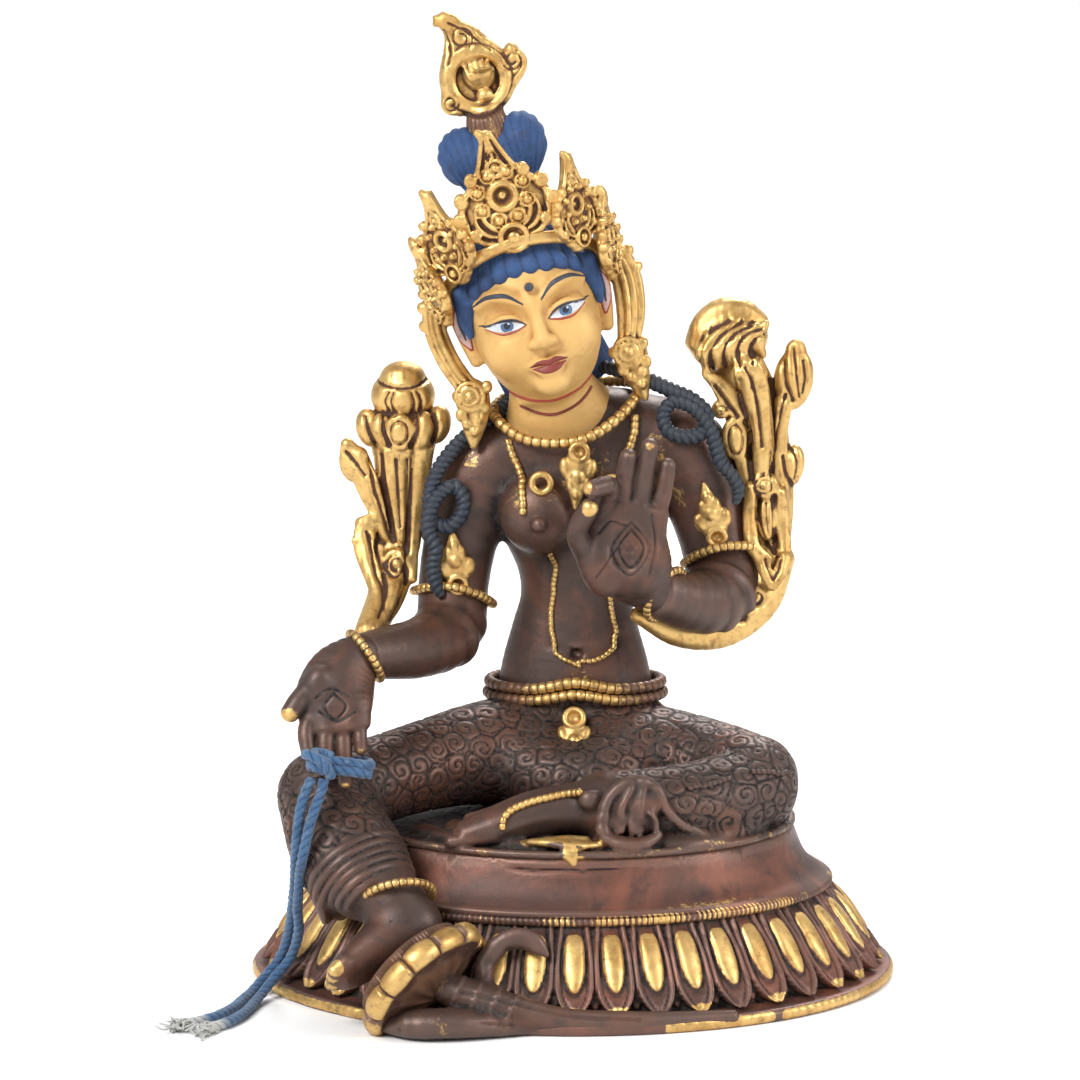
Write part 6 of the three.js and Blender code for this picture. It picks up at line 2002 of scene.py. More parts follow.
def model_finial():
    wax = Wax((-42, -1, 178), (2, 18, 214), 0.32)
    wax.limb(
        [(-0.8, 0, -12.6, 4.8, 4.6), (-0.6, 0, -9.4, 4.6, 4.4), (-0.2, 0, -6.4, 3.6, 3.2)],
        up=(0, 1, 0), blend=0, place=FINIAL,
    )
    ring = [
        (6.6 * math.cos(a), 0, 0.4 + 6.6 * math.sin(a) + 0.8 * (math.sin(a) > 0) * math.sin(a))
        for a in np.linspace(0, 2 * math.pi, 25)
    ]
    wax.limb([[*p, 1.7, 2.4] for p in ring], up=(0, 1, 0), blend=0.8, steps=30, place=FINIAL)
    wax.limb(
        [[p[0] * 0.8, -1.9, p[2] * 0.8, 0.6, 0.6] for p in ring],
        up=(0, 1, 0), blend=0.4, steps=30, place=FINIAL,
    )
    wax.ball((0, 0.9, 0), (6, 1.6, 6.4), blend=0.6, place=FINIAL)
    wax.ball((0.6, -0.6, 1.4), (3.6, 2.6, 3.6), blend=0.3, place=FINIAL)
    for step in (-2, -1, 0, 1, 2):
        shell = [
            (0.6 + step * 0.4, -1.6, -1.2), (0.6 + step * 1.05, -3.1, 1.6), (0.6 + step * 1.35, -1.6, 4.4),
        ]
        wax.tube(shell, (0.35, 0.62, 0.4), blend=0.25, steps=6, place=FINIAL)
    wax.ball((0.6, -1.4, -3.2), (1.9, 1.6, 1.6), blend=0.25, place=FINIAL)
    wax.tube(circle((0, -2.5, 0.2), 5.1, 25), 0.5, blend=0.3, steps=30, cut=True, place=FINIAL)
    wax.tube(spiral((-1.2, -2.6, 10.4), -70, 1.1, 2.2), 0.5, blend=0.3, steps=22, cut=True, place=FINIAL)
    wax.ball((9.3, -2.2, 3.2), (0.9, 1.0, 1.2), blend=0.3, cut=True, place=FINIAL)
    for scroll in (
        spiral((8.8, -1.2, 2.2), 200, 1.3, 2.5), spiral((-7.0, -1.2, -3.2), -20, 1.2, 1.9, hand=-1),
        spiral((-0.6, -1.0, 10.2), -60, 1.4, 2.6), spiral((-3.2, -0.6, 14.2), 20, 1.0, 1.3),
    ):
        wax.tube(scroll, 0.72, blend=0.4, steps=26, place=FINIAL)
    wax.limb(
        [(7, 0, -2, 1.6, 2), (9.2, 0, 1.6, 2.3, 2), (8.8, 0, 5, 1.4, 1.6)],
        up=(0, 1, 0), blend=0.8, place=FINIAL,
    )
    wax.limb(
        [(-5.4, 0, -5, 1.6, 1.8), (-7.4, 0, -3.4, 1.7, 1.6), (-7.6, 0, -1, 1.0, 1.2)],
        up=(0, 1, 0), blend=0.8, place=FINIAL,
    )
    peak = [
        (-0.4, 0, 6, 6.2, 2.4), (-0.8, 0, 9.4, 4.4, 2.3), (-1.8, 0, 12, 2.8, 2), (-3, 0, 14.2, 2, 1.7),
        (-4.6, 0, 15.2, 1.2, 1.2), (-5.2, 0, 14.4, 0.7, 0.8),
    ]
    wax.limb(peak, up=(0, 1, 0), blend=0.9, place=FINIAL)
    return wax.skin(2)


corners, faces = model_finial()
inner = (corners - FINIAL.origin) @ FINIAL.turn
on_collar = soft_step(inner[:, 2], -5.5, -7.5)
flutes = np.abs(np.sin(np.arctan2(inner[:, 0], inner[:, 1]) * COLLAR_FLUTES / 2)) * on_collar
corners = corners - normals_of(corners, faces) * (0.3 * (1 - flutes) * on_collar)[:, None]
FINIAL_GROOVES = [
    [(7.9 * math.cos(a), 0, 0.6 + 8.0 * math.sin(a)) for a in np.linspace(-2.6, 1.9, 21)],
    [(-5.2, 0, 5.4), (-4, 0, 9), (-4.4, 0, 12.6)], [(4.6, 0, 6), (2, 0, 9.4), (-0.6, 0, 12.4), (-2.8, 0, 14)],
    [(7.4, 0, -1.6), (10.2, 0, 1), (10, 0, 4.4)], spiral((-1.0, 0, 10.2), -60, 1.4, 2.7),
    spiral((8.6, 0, 2.6), 200, 1.3, 2.3), spiral((-7, 0, -3), -20, 1.2, 1.8, hand=-1),
]
corners, cut = cut_lines(corners, faces, FINIAL_GROOVES, 0.45, 0.55, FINIAL)
# The grooves count as deeper hollows, for painted shade in them.
finial_hollow = np.clip(hollows(corners, faces, 24, 0.4) + 0.2 * cut, 0, 1)
# Faces turned away from the front get less gold: painted shade on the far sides.
turned_away = soft_step(normals_of(corners, faces)[:, 1], -0.4, 0.3)
gilt = 0.8 - 0.5 * soft_step(inner[:, 2], -5, -7) - 0.4 * turned_away
cast("finial", corners, faces, GILDING, gilt, "gilt", hollow=finial_hollow)

# %% [markdown]
# The crown is beaten and chased from a richer gold than the rest: five leaves on a wire band, crowded with
# bosses, rings and scrolls, fluted ribbons at the temples, and ear pendants. Such crowded relief is
# quickest in wax, where each boss melts a little into the leaf under it.

# %% Crown


def eye_ring(wax, place, centre, radius, wire=0.55, hole=True):
    """A ring round a sunk eye, or round a boss."""
    x, y, z = centre
    wax.tube(circle(centre, radius), wire, blend=0.2, steps=20, place=place)
    if hole:
        wax.ball((x, y - 0.3, z), (radius * 0.72, 1.6, radius * 0.72), blend=0.15, cut=True, place=place)
        wax.ball((x, y + 0.9, z), (radius * 0.34, 0.6, radius * 0.34), blend=0.1, place=place)
    else:
        wax.ball((x, y, z), (radius * 0.5, 0.9, radius * 0.5), blend=0.1, place=place)


LEAF_OUTLINE = (
    (-0.03, 0.3), (0.08, 0.64), (0.2, 0.94), (0.33, 1.0), (0.46, 0.92), (0.58, 0.66), (0.7, 0.4),
    (0.85, 0.22), (1, 0.08),
)


def leaf_stand(angle, reach, foot, lean):
    """The frame of a crown leaf that stands at an angle round the head."""
    return HEAD.inside((0, 0, 0), turn_matrix(z=angle)).inside((0, -reach, foot), turn_matrix(x=lean))


WREATH_BOSSES = 8  # round the eye of a leaf


def crown_leaf(wax, stand, height, half, seed):
    """A pointed plate with a wire edge, a sunk eye in a wreath of bosses, a boss at its foot, and curls."""
    random = np.random.default_rng(seed)
    plate = [(0, 0.4, height * along, half * wide, 1.25) for along, wide in LEAF_OUTLINE]
    wax.limb(plate, up=(0, 1, 0), blend=0.6, steps=16, place=stand)
    eye = (0, -1.0, height * 0.45)
    for side in (-1, 1):
        edge = [(side * half * wide * 0.9, -0.6, height * along) for along, wide in LEAF_OUTLINE[1:]]
        wax.tube(edge, 0.05 * half + 0.12, blend=0.3, steps=18, place=stand)
        for out, rise in ((0.84, 0.0), (0.66, 0.05), (0.5, 0.1)):
            sweep = [(0.28, 0.06), (out * 0.75, 0.1), (out, 0.2), (out * 0.98, 0.31)]
            line = [(side * half * x, -1.05, height * (z + rise)) for x, z in sweep]
            wax.tube(
                line, (0.25, 0.036 * half + 0.1, 0.036 * half + 0.1, 0.2), blend=0.25, steps=10,
                place=stand,
            )
        for along, out, size in (
            (0.34, 0.96, 0.15), (0.5, 0.84, 0.15), (0.63, 0.54, 0.13), (0.17, 0.74, 0.13),
        ):
            centre = np.array((side * half * out, -0.5, height * along * random.uniform(0.96, 1.04)))
            wax.ball(centre, (half * size, 1.2, half * size * 1.2), blend=0.3, place=stand)
            curl = spiral(centre - (0, 0.9, 0), 90, 1.2, half * size * 0.9, hand=-side, count=12)
            wax.tube(curl, 0.03 * half + 0.06, blend=0.2, steps=12, place=stand)
    for k in range(WREATH_BOSSES):
        turn = (k + 0.5) / WREATH_BOSSES * 2 * math.pi
        centre = (half * 0.52 * math.sin(turn), -1.15, eye[2] + half * 0.52 * math.cos(turn))
        wax.ball(centre, (half * 0.1, 0.9, half * 0.1), blend=0.15, place=stand)
        if half > 9:
            ring = [
                (centre[0] + 1.5 * math.cos(a), -0.95, centre[2] + 1.5 * math.sin(a))
                for a in np.linspace(0, 6.3, 13)
            ]
            wax.tube(ring, 0.27, blend=0.15, steps=12, place=stand)
    eye_ring(wax, stand, eye, half * 0.27, 0.07 * half)
    eye_ring(wax, stand, (0, -1.5, height * 0.08), half * 0.27, 0.06 * half, hole=False)
    eye_ring(wax, stand, (0, -0.9, height * 0.7), half * 0.17, 0.05 * half, hole=False)
    tip = [(0, -0.2, height * 0.86), (-half * 0.05, -0.4, height * 0.97), (-half * 0.16, -0.3, height * 1.03)]
    wax.tube(tip, (1.4, 1.2, 0.8), blend=0.5, steps=5, place=stand)


def crown_band():
    rows = []
    for angle in np.linspace(0, 2 * math.pi, 41):
        front = max(0.0, -math.sin(angle))
        z = 4.5 + 14.2 * front**0.75
        inward = math.sqrt(max(0.0, 1 - 0.86 * (z - HAIR_CENTRE[2]) ** 2 / (HAIR_SIZE[2] + 2) ** 2))
        y = HAIR_CENTRE[1] + 19.8 * math.sin(angle) * (inward**0.8 if front > 0 else 1)
        rows.append((18.2 * math.cos(angle), y, z, 1.25, 1.35))
    return rows


def model_crown():
    wax = Wax((-42, -24, 112), (26, 26, 193), 0.38)
    band = crown_band()
    wax.limb(band, up=(0.1, 0.1, 1), blend=0, steps=60, place=HEAD)
    wax.tube(
        [(x * 1.045, y * 1.045, z + 0.9) for x, y, z, _, _ in band], 0.55, blend=0.3, steps=60, place=HEAD,
    )
    for side in (-1, 1):
        crown_leaf(wax, leaf_stand(47 * side, 18.4, 14.4, 8), 19.8, 7.4, 5 + side)
        crown_leaf(wax, leaf_stand(70 * side, 20.2, 5.8, 6), 18.4, 6.2, 9 + side)
        spread = 1.25 if side > 0 else 0.95
        ribbon = [
            (side * 19, 1.4, 13, 2.2, 3), (side * 21.6, 1.8, 5, 2.6 * spread, 3.2),
            (side * 20.8, 1, -4, 2.6 * spread, 3), (side * 18.2, 0.2, -11.4, 2.4, 2.6),
        ]
        wax.limb(ribbon, up=(0, 1, 0), blend=0.8, place=HEAD)
        for flute in (-0.9, -0.3, 0.3, 0.9):
            rib = [
                (x + flute * w * 0.85, y - h * math.sqrt(1 - (flute * 0.85) ** 2) - 0.05, z)
                for x, y, z, w, h in ribbon
            ]
            wax.tube(rib, 0.55, blend=0.35, steps=14, place=HEAD)
        for step, size in ((0.05, 1.5), (0.22, 1.3), (0.38, 1.2)):
            x, y, z, w, h = smooth_path(ribbon, 101)[int(step * 100)]
            wax.ball((x + side * w * 0.9, y - 1.2, z + 1), (size, size, size * 1.1), blend=0.35, place=HEAD)
        swing = -2.6 if side < 0 else 0.6
        ear = np.array((side * 18, -0.6, -13))
        wax.ball(ear, (3.9, 2.8, 4.2), blend=0.6, place=HEAD)
        eye_ring(wax, HEAD, (ear[0] - 0.4, ear[1] - 2.9, ear[2] + 0.6), 1.9, 0.5, hole=False)
        eye_ring(wax, HEAD, (ear[0] - 0.4, ear[1] - 2.6, ear[2] + 0.6), 3.0, 0.5, hole=False)
        wax.limb(
            [(*(ear + (0, 0, -2)), 3.6, 2.6), (*(ear + (swing / 2, -0.4, -6.2)), 2.6, 2),
             (*(ear + (swing, -0.4, -10.4)), 0.9, 0.9)],
            up=(0, 1, 0), blend=0.8, place=HEAD,
        )
        for x, z, size in (
            (2.6, -2.6, 1.3), (-2.6, -3, 1.3), (1.2, -4.6, 1.2), (-1.4, -5.2, 1.1), (0.2, -7.2, 1.0),
            (3.4, 1.6, 1.2), (-3.4, 1.2, 1.2),
        ):
            lump = ear + (x + swing * -z / 10.4, -1.9, z)
            wax.ball(lump, (size, 1.1, size * 1.2), blend=0.25, place=HEAD)
    return wax.skin(1)


crown, crown_faces = model_crown()
inner = (crown - HEAD.origin) @ HEAD.turn
crown_hollow = hollows(crown, crown_faces, 24, 0.36)
# Faces turned away from the front get less gold: painted shade on the far sides.
turned_away = soft_step(normals_of(crown, crown_faces)[:, 1], -0.1, 0.6)
gilt = 0.88 - 0.35 * turned_away
cast("crown_leaves_and_ribbons", crown, crown_faces, GILDING, gilt, "gilt", "crown", crown_hollow)

# %% [markdown]
# The leaf in front is the largest, and the eye goes to it first, so it is pressed in a block of its own
# with a finer grid, in which its wreath of ringed bosses stays crisp.

# %% The leaf in front
stand = leaf_stand(0, 14.4, 18.2, 8)
middle = stand.point((0, 0, 12.4))
wax = Wax(middle - (15.5, 6.5, 17), middle + (15.5, 6.5, 17), 0.27)
crown_leaf(wax, stand, 25.4, 10.6, 3)
corners, faces = wax.skin(1)
TIP_GROOVES = [[(side * 3.3, 0, 17), (side * 1.7, 0, 20.6), (side * 0.8, 0, 24)] for side in (-1, 1)]
TIP_GROOVES.append(spiral((0, 0, 20.4), 90, 1.3, 1.3))
corners, cut = cut_lines(corners, faces, TIP_GROOVES, 0.3, 0.35, stand)
# The tip grooves count as deeper hollows, for painted shade in them.
leaf_hollow = np.clip(hollows(corners, faces, 34, 0.36) + 0.15 * cut, 0, 1)
cast("crown_front_leaf", corners, faces, GILDING, 0.86, "gilt", "crown", leaf_hollow)

# %% [markdown]
# A gilded lotus climbs from each forearm past the shoulder. The lower one ends in an open flower with a
# round seed head, the other in a bud that nods inwards. Both stalks are bundles of broad leaves. The
# founder would model the swelling leaves in wax and chase the grooves between them after the cast, so it is
# done in that order here: limbs and balls for the leaves, then grooves that are drawn flat, as seen from
# the front, and sunk into the skin.

# %% Leaves and scrolls


def broad_leaf(wax, stations):
    """A smooth, swelling leaf with a thin lip along both edges."""
    wax.limb(stations, up=(0, 1, 0), blend=0.45, steps=12)
    path = smooth_path(stations, 24)
    along = unit(np.gradient(path[:, :3], axis=0))
    across = unit(np.cross((0, 1, 0), along))
    for side in (-1, 1):
        lip = path[:, :3] + across * (side * 0.8 * path[:, 3:4]) - (0, 1, 0) * (0.5 * path[:, 4:5])
        wax.tube([tuple(p) for p in lip], np.clip(0.2 * path[:, 3], 0.3, 0.6), blend=0.3, steps=16)


def drawn(*corners):
    """A line drawn flat, from pairs of x and z."""
    return [(x, 0, z) for x, z in corners]


def drawn_oval(x, z, half_width, half_height):
    return [
        (x + half_width * math.cos(a), 0, z + half_height * math.sin(a))
        for a in np.linspace(0, 2 * math.pi, 17)
    ]


# %% The open flower of the lowered arm
LOWERED_LEAVES = [
    [(-47.6, 9.4, 80.6, 2.2, 1.9), (-45.8, 8.6, 75, 2.7, 2.1), (-43.4, 7.8, 69, 2.2, 1.9),
     (-41.2, 7, 62.6, 1.4, 1.5)],
    [(-38.8, 6.4, 82, 3.1, 1.8), (-38.6, 6.8, 76, 2.8, 1.8), (-38.3, 6.8, 70, 2.2, 1.7),
     (-38.2, 6.2, 62.2, 1.3, 1.4)],
    [(-33.4, 7.4, 82.4, 2.8, 2), (-34, 7.8, 75, 2.3, 1.9), (-35, 7.6, 68, 1.9, 1.7),
     (-35.6, 6.4, 60, 1.5, 1.5), (-35.6, 3.8, 53.6, 1.2, 1.3)],
    [(-42, 7.6, 65, 1.5, 1.5), (-44.8, 7, 65.8, 2.1, 1.7), (-46.2, 6, 62.2, 2.4, 1.8),
     (-45.4, 4, 57.8, 2.2, 1.8), (-43.6, 1, 53.4, 2, 1.7), (-42.8, -2.8, 49.4, 1.9, 1.7),
     (-44, -7.2, 45.6, 1.8, 1.6), (-46.4, -11, 41.8, 1.2, 1.2)],
    [(-38.8, 3, 54.6, 2, 1.7), (-39.8, -0.6, 51, 2.1, 1.8), (-41.6, -5, 47, 1.8, 1.6),
     (-43.8, -9, 43.4, 1.2, 1.2)],
    [(-46.2, 9.4, 75.6, 2.4, 1.8), (-48.6, 9.6, 79.6, 2.8, 1.8), (-50, 9.6, 83, 1.5, 1.4)],
]
LOWERED_GROOVES = [
    drawn((-43, 96.8), (-40.6, 96.2), (-37.4, 95.9), (-34.4, 96.3), (-32.4, 97.2)),
    drawn((-40.8, 95), (-41.6, 92.8), (-40.6, 90.2)), drawn((-39.6, 95), (-40.2, 92.8), (-39.4, 90.2)),
    drawn((-35.6, 95), (-34.8, 92.8), (-35.4, 90.2)), drawn((-34.2, 95), (-33.2, 92.8), (-33.8, 90.4)),
    drawn((-41.8, 90), (-42, 87), (-40.4, 83.4)), drawn((-34.8, 90), (-34.2, 87), (-35.8, 83.2)),
    drawn((-45.8, 89.6), (-45.4, 86.4), (-43.6, 83)), drawn((-31, 90), (-30, 87.4), (-30.8, 84)),
    drawn((-42.4, 80.6), (-42, 75), (-40.8, 69), (-39.6, 62)),
    drawn((-36.4, 80), (-36.3, 73), (-36.4, 66), (-36.8, 58), (-36.8, 53)),
    drawn((-45, 79.6), (-43.8, 73.4), (-42.2, 68.4), (-40.2, 62.4)),
    drawn((-39, 80), (-38.6, 72), (-38.2, 65)), drawn((-50.2, 81.4), (-48, 79), (-46, 76.4)),
    drawn((-45.6, 64), (-44.4, 60.6), (-43.8, 56.4), (-42, 52.6), (-41.4, 49)),
    drawn((-41.6, 55), (-41.2, 51.6), (-42.4, 47.6)), drawn((-37.4, 53.6), (-38.2, 49.6), (-40, 46)),
    drawn_oval(-38.3, 86.2, 2.3, 2.8), spiral((-39, 0, 56.9), 90, 1.5, 2.6),
]


def lowered_side_lotus():
    wax = Wax((-58, -14, 74), (-24, 24, 142), 0.42)
    stalk = [
        (-45, -10, 44, 3, 3), (-41, 2, 51, 4.2, 3.4), (-38.4, 9, 61, 4.6, 3.2), (-37.8, 11, 74, 5.8, 3.4),
        (-37.6, 12, 84, 7.4, 5),
    ]
    wax.limb(stalk, up=(0, 1, 0), blend=0, steps=16)
    for leaf in LOWERED_LEAVES:
        broad_leaf(wax, leaf)
    wax.ball((-48.4, 9.8, 78.4), (3.3, 1.7, 4.4), turn_matrix(y=-16), 0.6)
    wax.limb(
        [(-40, 10.4, 68, 3, 2.2), (-42.8, 8.8, 61, 3.2, 2.2), (-41.4, 3.6, 54, 2.6, 2.2)],
        up=(0, 1, 0), blend=0.5,
    )
    wax.ball((-39, 4.6, 57), (3.3, 2.1, 3.4), blend=0.5)
    wax.ball((-37.4, 12, 86.2), (9, 6.6, 5.4), blend=0.8)
    for x, y, z, size, lean in (
        (-45, 10.4, 86.4, (3, 3.4, 4.4), -14), (-42, 7.2, 86, (2.6, 2.4, 4.2), -8),
        (-38.2, 5.2, 86.2, (3.3, 2.2, 4.3), 0), (-33.4, 6.6, 86.2, (3, 2.6, 4.6), 8),
        (-30, 9.8, 87.2, (3, 3.2, 4.4), 14), (-37.8, 17.4, 86.2, (7.2, 2.6, 4.6), 0),
    ):
        wax.ball((x, y, z), size, turn_matrix(y=lean), 0.3)
    wax.ball((-37.6, 11.6, 93.4), (7.1, 6.4, 6.2), blend=0.35)
    wax.ball((-37.6, 11.4, 97.6), (5, 4.6, 3.6), blend=0.5)
    return wax.skin(1)


# %% The nodding bud of the raised arm
RAISED_LEAVES = [
    [(41.6, 7.2, 75, 2, 1.8), (41.9, 6.6, 83, 2.5, 2.1), (40.8, 6, 91, 3, 2.2), (39.2, 4.8, 97.6, 3.4, 2.1),
     (37.8, 3.9, 101, 3, 1.8), (36.6, 4.8, 102.4, 1.8, 1.3)],
    [(37, 7.4, 89.6, 1.8, 1.6), (33.8, 6.8, 94.4, 2.3, 1.8), (31, 6.4, 97.6, 1.5, 1.4),
     (29, 6.4, 99, 0.8, 0.9)],
    [(38.8, 8, 75, 1.7, 1.6), (37.4, 7.6, 79.6, 1.8, 1.6)],
    [(45.2, 8.6, 66, 2, 1.8), (45.6, 9.4, 76, 2.2, 2), (45.2, 9.8, 84, 2.2, 2), (46.2, 10.2, 92, 2.2, 2)],
    [(39.4, 5, 74, 1.5, 1.5), (39, 4, 66.6, 1.6, 1.5), (40, 2.6, 60.6, 1.6, 1.5),
     (42.8, 2.8, 57.8, 1.7, 1.4)],
    [(45.4, 6.6, 72.6, 1.6, 1.5), (46.2, 6.8, 65.6, 1.7, 1.6), (46.6, 5.6, 59, 1.8, 1.6)],
    [(41.2, 3, 58.6, 1.5, 1.4), (42.8, 1.6, 54.8, 1.5, 1.4), (43.8, 1.2, 52.2, 0.9, 1)],
    [(46.8, 4, 58.4, 1.5, 1.4), (45.4, 2.2, 55, 1.5, 1.4), (44, 1.4, 52.2, 0.9, 1)],
]
RAISED_GROOVES = [
    drawn((36.2, 98), (37.2, 92.6), (38.8, 88), (39, 80), (39.6, 75.4)),
    drawn((43.6, 97.4), (44, 90), (44, 84), (43.6, 76)),
    drawn((37.6, 101), (39.2, 97.6), (40.6, 91), (41.6, 83)), drawn((46.8, 94), (45.6, 88.8), (43.8, 81.6)),
    drawn((31, 96.4), (33.8, 92.6), (36.2, 89.4)), drawn_oval(35.8, 84.4, 1.9, 3.5),
    drawn((48.6, 104.4), (49.2, 99.4), (50, 93.4)), drawn((46.4, 101.4), (46.8, 97), (48.6, 92.6)),
    drawn((50.8, 101.6), (51.4, 98), (50.8, 94.4)), drawn((46.4, 80.4), (47.2, 76.8), (48.8, 73.6)),
    drawn((48.6, 82), (49.6, 78.6), (49.2, 75)), drawn((41, 72.6), (41, 66.6), (42.4, 62), (44.4, 59.4)),
    drawn((44.4, 72), (44.2, 66), (45, 60.6)), drawn((42.6, 70.4), (42.8, 66), (43.6, 62.8)),
    drawn((42.4, 58.4), (43.4, 55.6), (44.2, 54), (45, 55.6), (45.6, 58.4)),
    drawn((40, 49), (37, 46.2), (32, 44.4), (26, 44.6)), spiral((42.2, 0, 74.4), 90, 1.5, 2.5),
    spiral((32.6, 0, 91), 160, 1.3, 1.7), spiral((40.6, 0, 50), 120, 1.2, 1.9),
    spiral((37.4, 0, 46.4), 120, 1.2, 1.5), drawn((28, 100.6), (27.8, 104.6), (30, 108.6), (34.4, 111)),
    drawn((30.8, 100), (30.2, 103.8), (32.4, 107.8), (37, 110.8)),
    drawn((33.6, 100.6), (33, 104), (35, 107.8), (39.4, 110.2)),
    drawn((36.4, 101.2), (36, 104.6), (37.8, 108), (41.4, 109.4)),
    drawn((39.4, 102), (39, 105.2), (40.8, 107.8), (43.4, 108)),
]


def raised_side_lotus():
    wax = Wax((12, -14, 70), (58, 24, 152), 0.44)
    strip = [
        (14, -9.6, 48, 1.8, 1.8), (23, -5.6, 43, 2.8, 2.4), (33, 0, 43.0, 4, 3.2), (41, 5, 48.8, 4.8, 3.4),
        (44.6, 9, 58, 4.8, 3.6),
    ]
    wax.limb(strip, up=(0, 1, 0), blend=0, steps=16)
    stalk = [
        (43, 9, 54, 3.8, 3), (43.8, 10.6, 66, 5, 3.2), (42.2, 11.6, 80, 6.2, 3.4), (38.6, 12, 94, 6.4, 3.6),
        (35.4, 11.6, 102, 5.8, 4),
    ]
    wax.limb(stalk, up=(0, 1, 0), blend=1, steps=14)
    for leaf in RAISED_LEAVES:
        broad_leaf(wax, leaf)
    for centre, size, lean in (
        ((35.8, 6.8, 84.4), (3.1, 2, 4.8), -8), ((42.2, 5.6, 74.2), (3.3, 2, 3.2), 0),
        ((42.8, 5.6, 66.6), (2.4, 1.6, 4.8), 0), ((48.7, 11, 97.2), (4.4, 3, 7), 8),
        ((49.2, 11, 103.2), (2.4, 2, 3), 0), ((48.2, 10.8, 77.6), (3, 2.6, 5.2), 14),
        ((32.6, 7, 91), (2.2, 2, 2.2), 0), ((40.6, 3.2, 50.2), (2.4, 1.8, 2.3), 0),
        ((37.4, 1, 46.6), (2, 1.8, 1.9), 0),
    ):
        wax.ball(centre, size, turn_matrix(y=lean), 0.45)
    bud = Place(FIGURE.point((34.4, 11, 106)), turn_matrix(y=-18))
    wax.ball((0, 0, 0), (8.8, 6.8, 7), blend=0.8, place=bud)
    for k in range(6):
        x, z = 28.6 + 2.5 * k, 104.4 + 0.55 * k
        swell = [(x + 0.6, 6.4, z - 4), (x - 0.3, 4.8, z - 0.6), (x + 1.2, 5.6, z + 3.2)]
        wax.tube(swell, (0.9, 1.3, 0.9), blend=1.2, steps=8)
    hood = [
        (-8, 0, 2, 1.4, 2.6), (-4.6, -0.4, 5.6, 2, 3), (0, -0.4, 7.2, 2.2, 3.2), (5, 0, 5.8, 2, 3),
        (8.2, 0, 2, 1.4, 2.4),
    ]
    wax.limb(hood, up=(0, 1, 0), blend=1.8, place=bud)
    return wax.skin(1)


# %% Chase and gild the lotuses
for name, model, grooves in (
    ("lotus_of_lowered_arm", lowered_side_lotus, LOWERED_GROOVES),
    ("lotus_of_raised_arm", raised_side_lotus, RAISED_GROOVES),
):
    corners, faces = model()
    corners, cut = cut_lines(corners, faces, grooves, 0.55, 0.62, facing=0.1)
    normal = normals_of(corners, faces)
    streaks = (1 - np.abs(np.sin(corners[:, 0] * 1.9 + 1.3 * np.sin(corners[:, 2] * 0.16)))) ** 3
    streaks = streaks * soft_step(normal[:, 1], 0.2, -0.5)
    corners = corners - normal * (0.1 * streaks)[:, None]
    # Grooves and streaks count as deeper hollows, for painted shade in them.
    hollow = np.clip(hollows(corners, faces, 22, 0.42) + 0.2 * cut + 0.07 * streaks, 0, 1)
    low = soft_step(corners[:, 2] - SEAT_HEIGHT, 50, 42)
    # Faces turned away from the front get less gold: painted shade on the far sides.
    turned_away = soft_step(normal[:, 1], -0.4, 0.3)
    cast(name, corners, faces, GILDING, 0.72 - 0.2 * low - 0.36 * turned_away, "gilt", hollow=hollow)

# %% [markdown]
# Jewellery: ropes of beads round the neck, arms, wrists, hips and ankles, ring pendants and leaf shaped
# ones. A rope of beads is a tube whose thickness swells once for each bead. It must lie on the body it
# adorns, so its line is drawn near the skin and each of its points is then moved to the nearest place on
# the modelled surface.

# %% Bead ropes
BEAD_SIDES = 12
BEAD_HOLLOW = 0.24  # how far the rope draws in between two beads, as a share of its radius
body_tree = BVHTree.FromPolygons([Vector(c) for c in body_corners], [tuple(f) for f in body_faces.tolist()])
leg_tree = BVHTree.FromPolygons([Vector(c) for c in legs], [tuple(f) for f in leg_faces.tolist()])


def laid_on(tree, path, lift):
    """A line moved to the nearest place on a surface and lifted off it."""
    rows = []
    for point in path:
        hit, normal, _, _ = tree.find_nearest(Vector(point))
        rows.append(np.array(hit) + np.array(normal) * lift)
    return np.array(rows)


def beads(path, radius, pitch, closed=False):
    """A rope of beads along a line, with the hollows between them."""
    length = line_length(np.vstack([path, path[:1]]) if closed else path)
    count = max(2, round(length / pitch))
    fine = smooth_path(path, count * 7, closed)

    def bead(travel, angle):
        swell = np.abs(np.sin(travel * math.pi * count / length)) ** 0.6
        # The narrow place between two beads is marked as a hollow, for painted shade there.
        return radius * (1 - BEAD_HOLLOW + BEAD_HOLLOW * swell), 0.9 - 0.6 * swell

    return swept(fine, bead, BEAD_SIDES, closed=closed)


def bead_rope(name, points, radius, pitch, gilt, tree=None, lift=0.5, closed=False, material=GILDING):
    """A named rope of beads laid on a surface."""
    path = smooth_path(FIGURE.point(points), 90, closed)
    if tree is not None:
        path = laid_on(tree, path, lift * radius)
        for _ in range(2):
            path[1:-1] = (path[:-2] + 2 * path[1:-1] + path[2:]) / 4
    corners, faces, hollow = beads(path, radius, pitch, closed)
    mask = gilt(corners) if callable(gilt) else np.full(len(corners), gilt)
    return cast(name, corners, faces, material, mask, "gilt", hollow=hollow)


def oval(centre, axis, radius, dip=0.0):
    """Points of a ring round an axis, which may dip at both sides."""
    axis = unit(axis)
    side = unit(np.cross(axis, (0, 1, 0)))
    front = np.cross(side, axis)
    rows = []
    for a in np.linspace(0, 2 * math.pi, 24, endpoint=False):
        out = radius * (math.cos(a) * side + math.sin(a) * front)
        rows.append(np.array(centre) + out + axis * dip * math.cos(a) ** 2)
    return rows


